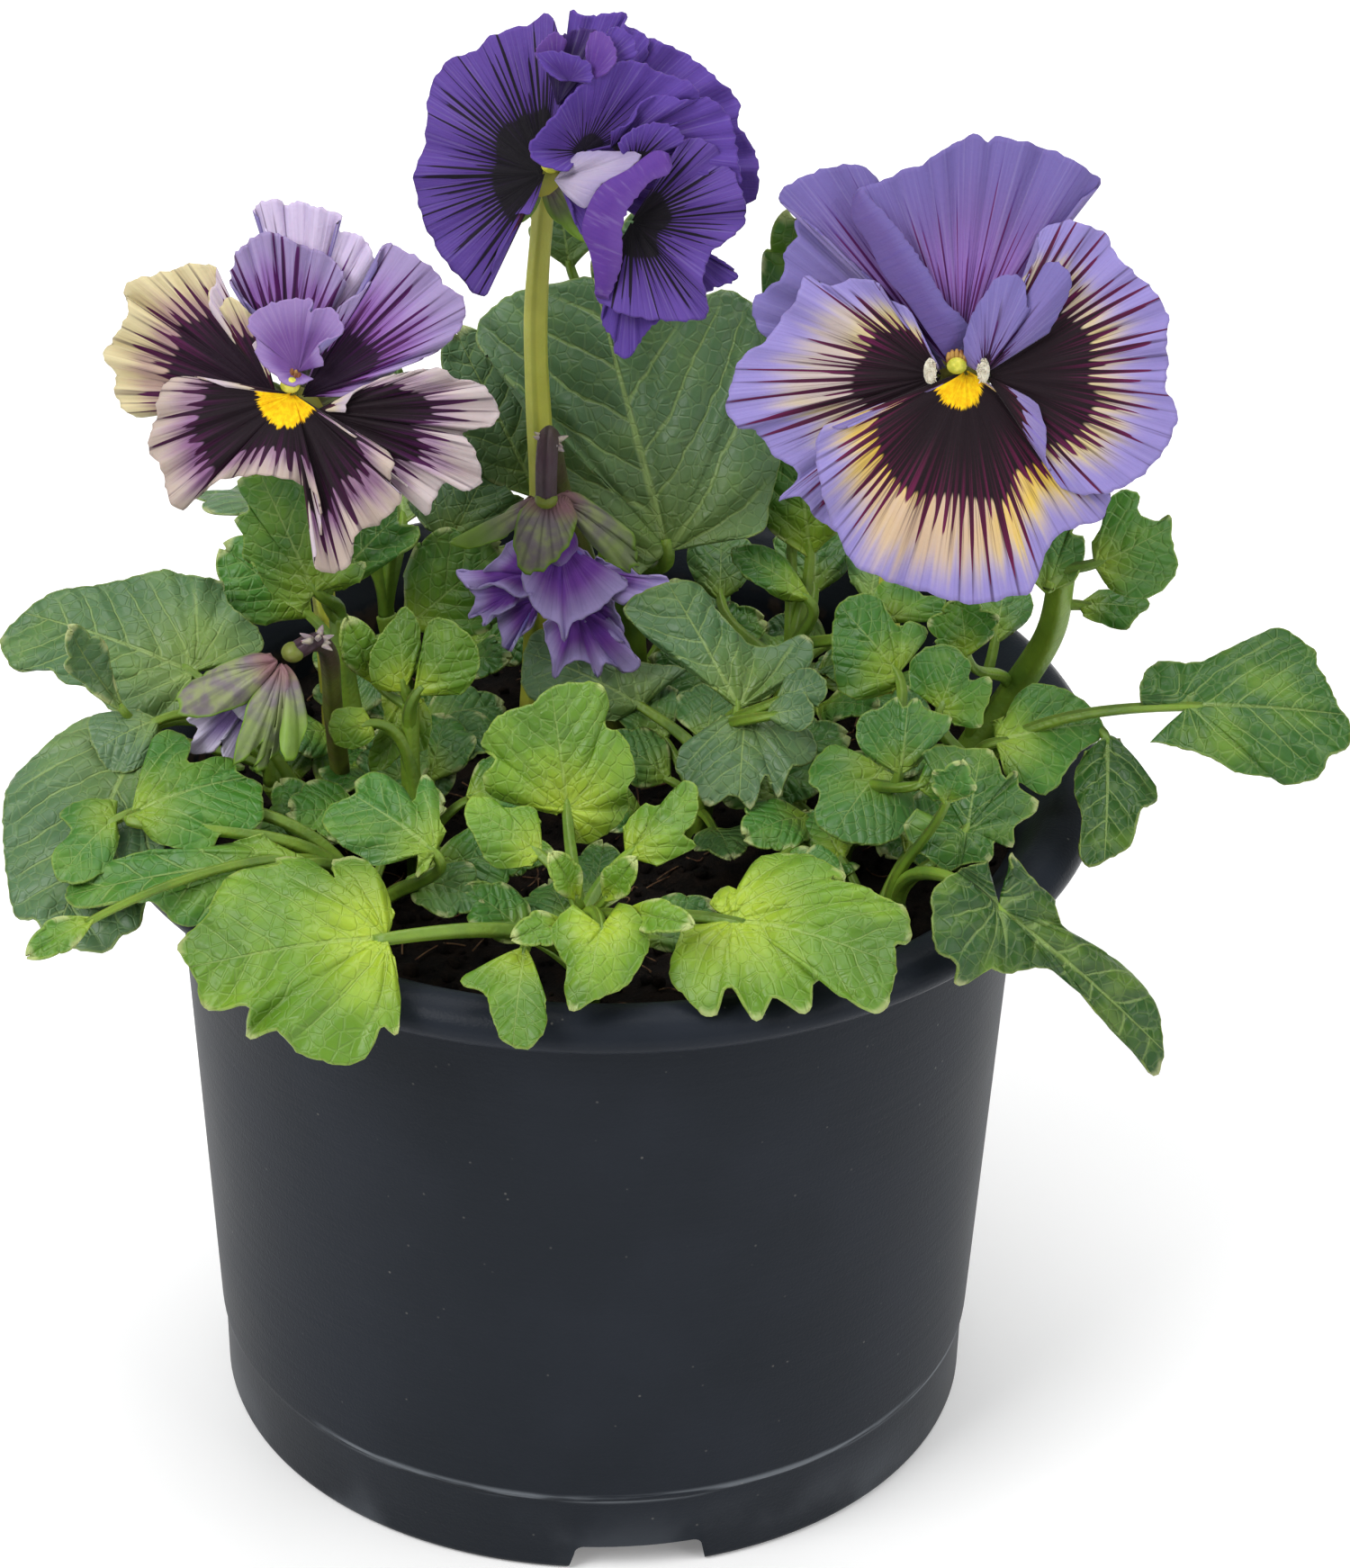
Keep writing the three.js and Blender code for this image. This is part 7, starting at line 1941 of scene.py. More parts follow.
MIDDLE_PETALS: tuple[Petal, ...] = (
    Petal("deep_violet", "violet_back", ((3, 0, -2),),
          ((14, -6, -4), (26.8, -2.3, -5), (27.2, 1.6, -4.2), (26.5, 4, -5.2), (24.3, 7.4, -4.4),
           (24.5, 9.6, -5.4), (21.1, 12.9, -4.4), (17, 15.8, -5.4), (12.6, 17.4, -4.6),
           (9.7, 18.6, -5), (7, 12, -3))),
    Petal("deep_violet", "violet_back", ((1.5, 2, -1),),
          ((12, 12, -3), (12.6, 17.4, -4), (9.7, 18.6, -3.4), (9.8, 20.2, -4.2), (4.7, 19.7, -3.4),
           (2.6, 20.3, -4), (4, 18.4, -3), (3, 10, -2))),
    Petal("deep_violet", "violet_back", ((14, -6, -1),),
          ((20.8, -14, -1.6), (21.3, -14.3, -1.6), (22.8, -13.6, -1), (25.4, -12.2, -1.8),
           (22.5, -9.8, -1), (21, -9.6, -1.4)), ruffle=0.5, waves=4),
    Petal("deep_violet", "violet_back", ((12, -8, 0),),
          ((8.8, -16.5, 0), (8.8, -18.7, -0.6), (10.4, -20.9, 0), (10.5, -22.2, -0.4),
           (12.2, -22.9, 0.2), (13.5, -21, -0.4), (14.8, -19, 0), (16.5, -17.5, -0.6)),
          ruffle=0.6, waves=5),
    Petal("deep_violet", "violet_back", ((3, -2, 0),),
          ((4.4, -4.2, 0.8), (5, -6.5, 0.4), (6.3, -8, 0), (9, -5, 0)), ruffle=0.3, waves=3),
    Petal("black_violet", "violet_back", ((0.8, -0.4, 0.5),),
          ((2.6, 10, 0), (1.5, 17.4, -1), (0, 19.7, -1.6), (-1.6, 18.5, -2), (-7, 16.4, -1.4),
           (-8.6, 14.6, -2.6), (-11.5, 13.7, -2.2), (-14.1, 10.4, -3.2), (-14.5, 5.3, -2.6),
           (-14.7, 2.2, -3.4), (-15.7, -0.3, -2.8), (-15.3, -4.1, -3.6), (-14, -7.6, -2.8),
           (-12.1, -10.8, -3.4), (-9.2, -14, -2.6), (-6.4, -16, -3), (-5.1, -11.4, -1.8),
           (-2.9, -5.7, -0.8), (-1, -5.6, -0.2), (0, -3.5, 0.2)), blotch=0.56, ruffle=0.6),
    Petal("violet_dark", "violet_back", ((2, 8, 1),),
          ((8, 15, 1.4), (6.5, 17.5, 1), (3.5, 17.4, 1), (1.5, 16, 1.4), (0, 14, 1.6)), ruffle=0.5),
    Petal("deep_violet", "violet_back", ((6, 12, 2.6),),
          ((11.8, 14.4, 2.8), (11, 17, 2.4), (8.5, 18, 2), (7, 15, 3)), ruffle=0.5, waves=4),
    Petal("deep_violet", "violet_back", ((5.5, 2.4, 2),),
          ((13, 4, 2), (20, 9, 2.2), (18.6, 11.4, 3), (14.8, 12.6, 2.4), (11, 13.9, 3.4), (7, 11.8, 4),
           (4.6, 10, 4.4), (2.2, 6.8, 5), (-0.9, 2.5, 5.4), (-0.7, 1.5, 5.6), (0.9, 0.3, 5.2),
           (4, -0.3, 4.6)), blotch=0.3, belly=-1, ruffle=0.9),
    Petal("violet_rose", "violet_back", ((1.8, 12, 2),),
          ((3, 16, 2.6), (1.6, 17, 3.2), (0, 15.8, 3.4), (-0.8, 14.2, 3.6), (0.6, 12.6, 3)),
          ruffle=0.5, waves=4),
    Petal("deep_violet", "violet_back", ((3.5, 11, 3.4),),
          ((6.5, 10.7, 4.6), (6.2, 13, 4.8), (4, 14.1, 5), (1, 14.5, 4.6), (-0.5, 14.1, 4.2),
           (0.4, 12.4, 4.6), (2.5, 10.9, 4.6)), ruffle=0.4, waves=4),
    Petal("violet_rose", "violet_back", ((6, 11, 3.6),),
          ((8.2, 12, 4.8), (9.4, 13.9, 5), (8.2, 16.7, 4.4), (6.2, 17.2, 4), (5.5, 15, 4.2),
           (5.6, 12.5, 4)), ruffle=0.4, waves=4),
    Petal("deep_violet", "violet_back", ((9, 3, 2),),
          ((22, -1, 1), (25.4, -0.6, 1.6), (25, 1.5, 1.2), (24.6, 4, 2), (23.6, 7.4, 1.6),
           (20.8, 9.8, 2.6), (18.5, 9.2, 3.4), (14.8, 9.8, 3), (12.5, 8.6, 3.8), (11.7, 6.4, 4),
           (9, 5, 3.6)), blotch=0.2, ruffle=0.7),
    Petal("black_violet", "violet_back", ((12, -6, 1.5),),
          ((8.5, -13, 3), (8, -15.5, 3), (11.4, -17.5, 3), (16, -18.1, 2.4), (20.6, -17.9, 3),
           (22, -17.1, 2), (21.3, -12.7, 2.8), (22.1, -9.5, 1.6), (25, -7, 2.6), (26.2, -4.8, 1.6),
           (25.4, -1.3, 2.4), (23, 2.5, 1.8), (20.9, 4.4, 2.8), (18.3, 4.4, 3.4), (16.5, 1.5, 3.6)),
          blotch=0.5, ruffle=0.7),
    Petal("deep_violet", "violet_back", ((12, 1, 3),),
          ((18.3, 4, 4), (17.5, 5.5, 4.6), (14.5, 6.2, 4.8), (11.8, 5.2, 5.2), (10.2, 3.5, 5.4),
           (10.5, 2.4, 5)), blotch=0.4, ruffle=0.4, waves=4),
    Petal("grey_lilac", "violet_back", ((2.2, -1.2, 1.5),),
          ((3.6, -3, 3), (6.5, -4.6, 5), (8.2, -1.9, 5.8), (11.6, 0.3, 5.4), (13, 2.2, 4.6),
           (8, 2.4, 4), (5, 2.3, 3.4)), belly=1, ruffle=0.2),
    Petal("violet_rose", "violet_back",
          ((8, -15.5, 3.2), (7.8, -12.7, 4.6), (6.9, -9.5, 5.2), (6.1, -7.9, 5.6), (6.6, -4.8, 6),
           (8.2, -1.9, 6), (11.6, 0.3, 5.6), (14.8, 2.8, 5), (16.4, 2.5, 4.8)),
          ((9.6, -15.8, 3.2), (11, -11.5, 4), (11.1, -9.5, 5), (11, -7, 5.6), (11.6, -4.8, 6),
           (12.9, -2.9, 6.2), (14.5, -1, 6), (16.4, -0.2, 5.4), (16.9, 0.9, 5)),
          ruffle=0.2, belly=0.7, pleat=0.1),
)

LEFT_PETALS: tuple[Petal, ...] = (
    Petal("lavender_pale", "lilac_back", ((0, 6, -2),),
          ((6, 13, -2.6), (8.1, 17.5, -3), (7.6, 20.4, -2.2), (5.4, 22.6, -3.2), (2.9, 22.9, -2.4),
           (3.1, 24.7, -3.2), (-0.7, 25.6, -2.4), (-2.5, 26.1, -3.4), (-4, 25.4, -2.4),
           (-5, 26, -3.2), (-6.8, 25.6, -2.4), (-8.1, 24.7, -3.2), (-5.8, 21.7, -2.6),
           (-3, 14, -2)), blotch=0.45, ruffle=1.1, waves=11, pleat=0.4),
    Petal("lavender_streaked", "lilac_back", ((-1, 3, -0.8),),
          ((4, 14.6, -0.6), (4.9, 16.4, -0.4), (2.5, 19.3, -1), (-1.8, 20.6, -0.2), (-5.4, 21.7, -1),
           (-7.9, 20.4, -0.4), (-9.2, 18.2, -1.2), (-9.7, 15.4, -0.4), (-5.4, 11, -0.8)),
          blotch=0.66, ruffle=1.5),
    Petal("lavender_streaked", "lilac_back", ((1, 1.5, 0),),
          ((7.2, 2, 0), (10.8, 4.9, -0.4), (13.7, 6.4, 0.4), (17.3, 8.9, -0.6), (19.8, 11.4, 0.2),
           (20, 15.4, -0.8), (17.6, 16.8, 0.2), (15.5, 19, -0.8), (11.9, 20.8, 0), (9.4, 21.5, -0.8),
           (8.6, 18.2, 0.2), (7.6, 15.7, 0.4), (4.7, 12.8, 0.6), (2.9, 8.5, 0.8)),
          blotch=0.56, ruffle=0.9),
    Petal("cream_streaked", "cream_back", ((-2, 0.8, 0.6),),
          ((-5.4, 7.1, 2), (-4.7, 8.2, 2.4), (-5.8, 10.3, 1.8), (-7.6, 12.3, 2.4), (-9.4, 12.8, 1.6),
           (-10.8, 10.5, 1), (-11.7, 12.8, 0.6), (-11.7, 16.7, 0), (-14.6, 16.7, -0.8),
           (-18.3, 15.4, 0), (-23.2, 13.2, -0.8), (-21.6, 10.3, 0.2), (-23.4, 7.4, -0.6),
           (-24.6, 4.9, 0.2), (-23, 2.4, -0.6), (-22.3, -0.8, 0.2), (-19.8, -2.7, -0.6),
           (-16.5, -1.2, -0.2), (-8, -1, 0.2)), blotch=0.70, ruffle=1.6, waves=9, pleat=0.25),
    Petal("lilac_streaked", "cream_back", ((3, -0.2, 0.6),),
          ((12, -7, 0.4), (14, -7.7, 0.4), (16.2, -9.1, -0.4), (18, -11.8, 0.2), (20.1, -7.3, -0.6),
           (22.7, -8.4, 0.2), (24.1, -7.3, -0.6), (23.4, -3.3, 0.4), (21.2, -1, -0.4),
           (23.4, -0.5, 0.6), (25.7, 0.6, -0.4), (24.8, 3.8, 0.6), (22.3, 5.3, -0.4),
           (19.8, 5.5, 0.8), (18.3, 6.4, -0.2), (15.5, 6, 0.8), (10.8, 4.5, 1), (7.4, 2, 1.4),
           (6.8, -0.1, 1.4)), blotch=0.70, ruffle=1.6, waves=9, pleat=0.25),
    Petal("lilac_lip", "cream_back", ((0, 1.6, 1.2),),
          ((-5.8, 1.3, 1.6), (-9, 1.9, 2.2), (-13.1, 2.7, 1.6), (-15.8, 1.7, 2.4), (-16.6, -0.8, 1.4),
           (-17, -4.4, 2.4), (-17.4, -6.9, 1.2), (-15.8, -8.7, 2.2), (-14.7, -11.3, 1.2),
           (-12.6, -14.1, 2), (-11.2, -12.3, 1), (-7.6, -9.8, 2), (-2.5, -8.9, 2.6), (1.1, -9.2, 2.4),
           (4.5, -10.5, 2.8), (5.4, -14.1, 1.8), (5.6, -19.9, 2.6), (9, -19.2, 1.4),
           (10.4, -14.9, 2.8), (13.7, -12.3, 1.6), (15.3, -9.8, 3), (13.3, -9.3, 2),
           (14, -6.2, 3.2), (11.9, -4.1, 2), (9, -3.3, 2.8), (5.4, -1.2, 2)),
          blotch=0.74, ruffle=1.7, waves=12, belly=0.4, pleat=0.25),
    Petal("violet_frill", "lilac_back", ((0.5, 4.4, 1.6),),
          ((4, 5.3, 3.4), (3.2, 7.8, 4.2), (6.1, 9.6, 4.6), (4, 12.6, 3.4), (1.5, 11.8, 4.2),
           (1.8, 13.2, 3.6), (-1.8, 12.9, 4.2), (-5.4, 11, 4.2), (-5.8, 9.2, 4.8), (-4.7, 7.8, 4.2),
           (-4.3, 5.6, 4.6), (-1.8, 3.5, 4.2), (0, 2.4, 3.8), (2.9, 3.5, 3.6)), ruffle=0.3, waves=7),
)

BLOOMS: tuple[Bloom, ...] = (
    Bloom("right_bloom", (44, -8, 155.5), (0.02, -0.88, 0.47), RIGHT_PETALS, (-0.3, 1.4, 2.6),
          ((-3.6, 0.7, 2.3), (3.0, 0.9, 2.9))),
    Bloom("middle_bloom", (-8.5, 10, 174), (-0.05, -0.86, 0.5), MIDDLE_PETALS, (1.6, 0.6, 1.6), ()),
    Bloom("left_bloom", (-38.5, -8, 149.5), (-0.12, -0.82, 0.56), LEFT_PETALS, (-0.2, 2.6, 2.6), ()),
)


STALKS: tuple[Stalk, ...] = (
    Stalk("right_bloom_stalk", ((37, 19, 73), (37, 19, 88), (38, 18, 118), (42, 12, 146)), 1.8, 0.35,
          6.9, "stalk"),
    Stalk("middle_bloom_stalk",
          ((-9, 19, 73), (-9, 19, 88), (-8, 18, 120), (-9, 19, 148), (-8, 20.5, 166)), 2.0, 0.35,
          7.7, "stalk"),
    Stalk("left_bloom_stalk", ((-35, 14, 73), (-35, 14, 88), (-37, 15, 118), (-38.5, 10, 142)), 1.7, 0.35,
          7.7, "stalk"),
)
HANGING_STALK = Stalk(
    "hanging_bud_stalk",
    ((2, 19, 73), (2, 19, 88), (-2, 17.5, 112), (-5.8, 13.5, 127), (-6.8, 10, 135), (-7, 7, 137.6),
     (-7.2, 4.6, 135.5), (-7.2, 3.6, 130.5)), 1.4, 0.05, 0.0, "purple_stalk",
    (Fan(0, (609, 553), 129.5, (-0.1, -0.93, 0.35), 1, 1.6, 0.2, (
        (592, 553), (578, 570), (573, 590), (572, 608), (576, 620), (577, 630), (588, 639), (594, 634),
        (603, 634), (611, 626), (619, 622), (626, 610), (631, 607), (637, 590), (641, 575), (630, 552))),
     Fan(0, (617, 552), 129, (0.45, -0.8, 0.4), 1, 1.4, 0.2, (
        (638, 577), (650, 595), (664, 611), (682, 627), (703, 637), (700, 628), (714, 630), (706, 619),
        (711, 613), (702, 608), (705, 600), (696, 588), (684, 577), (664, 563), (640, 548), (628, 545))),
     Fan(0, (605, 555), 129, (-0.5, -0.6, 0.6), 1, 1.0, 0.2, (
        (590, 552), (566, 566), (548, 584), (530, 594), (512, 600), (499, 603), (514, 608), (536, 607),
        (556, 598), (571, 588), (584, 574)))),
    ((612, 492), 137))
LEFT_STALK = Stalk(
    "left_bud_stalk",
    ((-33, -4, 73), (-33, -4, 88), (-34, -7, 104), (-34.5, -12, 117), (-36, -15, 119.8),
     (-38.5, -16.2, 119)), 1.3, 0.1, 0.0, "purple_stalk",
    (Fan(0, (308, 735), 118.6, (-0.25, -0.75, 0.6), 1, 1.6, 0.2, (
        (302, 727), (280, 727), (262, 733), (244, 741), (228, 747), (224, 753), (211, 757), (203, 766),
        (193, 778), (202, 778), (198, 793), (214, 796), (232, 796), (247, 790), (262, 786), (278, 776),
        (293, 762), (304, 748))),
     Fan(0, (312, 737), 118.2, (0.3, -0.85, 0.4), 1, 1.4, 0.2, (
        (300, 752), (285, 768), (274, 787), (268, 812), (262, 851), (272, 843), (277, 834), (284, 832),
        (291, 823), (297, 824), (292, 838), (283, 856), (297, 852), (301, 840), (309, 838), (314, 822),
        (322, 800), (324, 778), (322, 758), (317, 744))),
     Fan(0, (316, 738), 117.6, (0.5, -0.5, 0.6), 1, 1.0, 0.3, (
        (318, 760), (321, 790), (312, 820), (318, 846), (330, 838), (338, 812), (337, 784), (330, 758)))),
    ((352, 712), 121))

BUDS: tuple[BudPetals, ...] = (
    BudPetals("hanging_bud", (-7.4, 4.0, 128), (-5.2, 9.5, 118.5), "bud_violet", "bud_white", (
        Fan(0, (640, 640), 116.5, (0.2, -0.5, 0.85), 1, 1.0, 0.5, (
            (672, 650), (700, 665), (691, 676), (704, 670), (722, 662), (744, 650), (716, 642), (690, 634),
            (662, 622))),
        Fan(0, (590, 640), 116.5, (-0.35, -0.5, 0.8), 1, 1.0, 0.5, (
            (600, 606), (575, 600), (560, 624), (545, 636), (524, 638), (508, 637), (516, 648),
            (524, 659), (540, 654), (558, 656), (579, 665), (592, 662))),
        Fan(0, (578, 655), 114.5, (-0.35, -0.8, 0.45), 1, 0.8, 0.6, (
            (545, 640), (526, 655), (532, 672), (525, 686), (536, 683), (541, 696), (550, 682),
            (558, 682), (575, 673))),
        Fan(0, (600, 662), 113, (-0.2, -0.95, 0.2), 1, 1.2, 0.5, (
            (575, 664), (552, 680), (558, 700), (567, 723), (577, 706), (590, 697), (598, 684))),
        Fan(0, (655, 668), 112, (0.2, -0.9, 0.35), 1, 0.8, 0.5, (
            (648, 690), (660, 700), (680, 707), (692, 712), (690, 696), (684, 680), (676, 662))),
        Fan(0, (638, 672), 111.5, (0.05, -0.93, 0.3), 1, 1.6, 0.6, (
            (604, 690), (606, 708), (613, 732), (616, 754), (626, 738), (642, 733), (655, 735), (664, 752),
            (671, 734), (684, 738), (694, 748), (712, 735), (700, 718), (690, 700), (676, 684))),
        Fan(0, (622, 600), 121, (0, -0.87, 0.45), 1, 2.0, 0.4, (
            (588, 612), (580, 640), (588, 664), (602, 684), (620, 692), (627, 713), (636, 692),
            (650, 686), (668, 675), (682, 662), (699, 648), (690, 640), (668, 632), (652, 612))),
    )),
    BudPetals("left_bud", (-40.5, -16.8, 117), (-45, -17, 110.5), "bud_pale", "bud_white", (
        Fan(0, (288, 765), 113.5, (-0.3, -0.85, 0.4), 1, 1.4, 0.3, (
            (266, 776), (240, 788), (213, 798), (222, 807), (221, 816), (215, 830), (213, 836),
            (232, 836), (246, 829), (262, 806))),
        Fan(0, (292, 768), 112.5, (0.1, -0.95, 0.3), 1, 1.0, 0.3, (
            (268, 786), (252, 812), (246, 829), (253, 843), (260, 842), (268, 826), (278, 802),
            (288, 784))),
    )),
)


# ---- Pot and peat ----------------------------------------------------------------------------


@dataclass(frozen=True)
class Pot:
    """The nursery pot, turned about its axis, with foot notches and drain holes.

    Attributes:
        height: to the top of the lip.
        sides: points in a ring.
        notches: how many notches the foot has.
        notch_turn: the first notch's angle, in degrees.
        notch_wide: its width at the ground.
        notch_high: its height.
        notch_round: the radius of its upper corners.
        notch_from: how far from the axis the cut starts.
        notch_deep: how far the cut runs outwards.
        drains: how many drain holes the floor has.
        drain_circle: the radius of the circle that they stand on.
        drain_radius: their own radius.
    """

    height: float = POT_HEIGHT
    sides: int = 192
    notches: int = 3
    notch_turn: float = -82.0
    notch_wide: float = 18.0
    notch_high: float = 3.9
    notch_round: float = 1.2
    notch_from: float = 42.4
    notch_deep: float = 10.0
    drains: int = 5
    drain_circle: float = 34.0
    drain_radius: float = 3.5

    LONGEST_STEP = 9.0
    SHARP_FROM = math.radians(38)

    def profile(self) -> Array:
        """The outline that is turned: up the outside, over the lip and down the inside.

        Returns:
            (n, 2) points, radius and height, close together where the outline is round.
        """
        h = self.height
        under = [(0, 0), (18.6, 0), (19, 0.2), (20.5, 4), (43.9, 4), (44.6, 0.5), (44.9, 0.12), (45.2, 0)]
        foot = [(48.3, 0), (48.9, 0.12), (49.3, 0.45), (49.5, 1.0)]
        wall = [(49.82, 11.2), (50.0, 11.6), (50.25, 11.9), (50.3, 12.3), (55.2, h - 10)]
        flare = [(55.25, h - 9.2), (55.4, h - 8.4), (55.9, h - 7.6), (56.5, h - 7.25), (57.0, h - 7.15),
                 (57.15, h - 6.95), (57.7, h - 6.3), (58.7, h - 5.9), (61.6, h - 5.5), (63.2, h - 5.2),
                 (64.2, h - 4.7), (64.85, h - 3.9), (65.0, h - 3.1), (64.85, h - 2.3), (64.3, h - 1.4),
                 (63.4, h - 0.65), (62.2, h - 0.15), (61, h), (60, h - 0.12), (58.8, h - 0.8),
                 (57.6, h - 1.9), (56.4, h - 3.2), (55, h - 4.9), (54.4, h - 6.2), (54.2, h - 7.6)]
        inside = [(48.9, 12), (48.3, 9), (47.7, 6.6), (46.9, 5.6), (45.8, 5.4), (20, 5.4), (17.8, 2), (0, 2)]
        return np.array(under + foot + wall + flare + inside, float)

    def make(self) -> bpy.types.Object:
        """Makes the pot: a turned wall, cut by prisms for the notches and cylinders for the holes.

        Returns:
            The piece.
        """
        outline = self.profile()
        radii, heights = outline[1:-1, 0], outline[1:-1, 1]
        fine_r, fine_z = [radii[:1]], [heights[:1]]
        for k in range(len(radii) - 1):
            length = np.hypot(radii[k + 1] - radii[k], heights[k + 1] - heights[k])
            steps = max(1, int(length / self.LONGEST_STEP))
            fine_r.append(np.linspace(radii[k], radii[k + 1], steps + 1)[1:])
            fine_z.append(np.linspace(heights[k], heights[k + 1], steps + 1)[1:])
        radii, heights = np.concatenate(fine_r), np.concatenate(fine_z)
        angle = np.linspace(0, 2 * np.pi, self.sides, endpoint=False)
        ring = np.stack([np.cos(angle), np.sin(angle), np.zeros(self.sides)], -1)
        points = radii[:, None, None] * ring[None] + heights[:, None, None] * UP
        ends = np.array([[0, 0, outline[0, 1]], [0, 0, outline[-1, 1]]])
        everything = np.vstack([points.reshape(-1, 3), ends])
        mesher = Mesher()
        mesher.add(everything, closed_rings(len(radii), self.sides), everything[:, :2] * 0, (0, 0), 0)
        pot = mesher.build("pot_dressed", [FINISHES["pot"]])
        cutter = self.cutter()
        modifier = pot.modifiers.new("cut", "BOOLEAN")
        modifier.object = cutter
        modifier.operation = "DIFFERENCE"
        modifier.solver = "EXACT"
        bpy.context.view_layer.update()
        evaluated = pot.evaluated_get(bpy.context.evaluated_depsgraph_get())
        mesh = bpy.data.meshes.new_from_object(evaluated)
        pot.modifiers.clear()
        pot.data = mesh
        mesh.polygons.foreach_set("use_smooth", np.ones(len(mesh.polygons), bool))
        mesh.set_sharp_from_angle(angle=self.SHARP_FROM)
        mesh.polygons.foreach_set("material_index", np.zeros(len(mesh.polygons), np.int32))
        bpy.data.objects.remove(cutter)
        return pot

    def cutter(self) -> bpy.types.Object:
        """Makes what the pot is cut with.

        Returns:
            One object that holds a rounded prism for each notch and a cylinder for each hole.
        """
        mesher = Mesher()
        half, high = 0.5 * self.notch_wide, self.notch_high
        corner = np.linspace(0, 0.5 * np.pi, 6)
        across, rise = self.notch_round * np.cos(corner), self.notch_round * np.sin(corner)
        high = high - self.notch_round
        right = np.stack([half - 1.9 + across, high + rise], -1)
        left = np.stack([-half + 1.7 - rise, high + across], -1)
        outline = np.vstack([[-half - 0.6, -1.0], [half, -1.0], right, left])
        for k in range(self.notches):
            turn = math.radians(self.notch_turn + k * 360.0 / self.notches)
            out = np.array([math.cos(turn), math.sin(turn), 0.0])
            side = np.array([-math.sin(turn), math.cos(turn), 0.0])
            loop = outline[:, :1] * side + outline[:, 1:] * UP
            self.prism(mesher, loop + out * self.notch_from, out * self.notch_deep)
        angle = np.linspace(0, 2 * np.pi, 32, endpoint=False)
        loop = np.stack([np.cos(angle), np.sin(angle), np.zeros(32)], -1) * self.drain_radius
        for k in range(self.drains):
            turn = 2 * math.pi * k / self.drains
            out = self.drain_circle * np.array([math.cos(turn), math.sin(turn), 0.0])
            self.prism(mesher, loop + out + 3.0 * UP, 4.0 * UP)
        return mesher.build("cutter", [FINISHES["pot"]])

    def prism(self, mesher: Mesher, loop: Array, push: Array) -> None:
        """Adds a closed prism.

        Args:
            mesher: takes the prism.
            loop: its near end, anticlockwise as seen from its far end.
            push: from the near end to the far end.
        """
        middle = loop.mean(axis=0)
        points = np.vstack([loop, loop + push, middle, middle + push])
        mesher.add(points, closed_rings(2, len(loop)), np.zeros((len(points), 2)), (0, 0), 0)


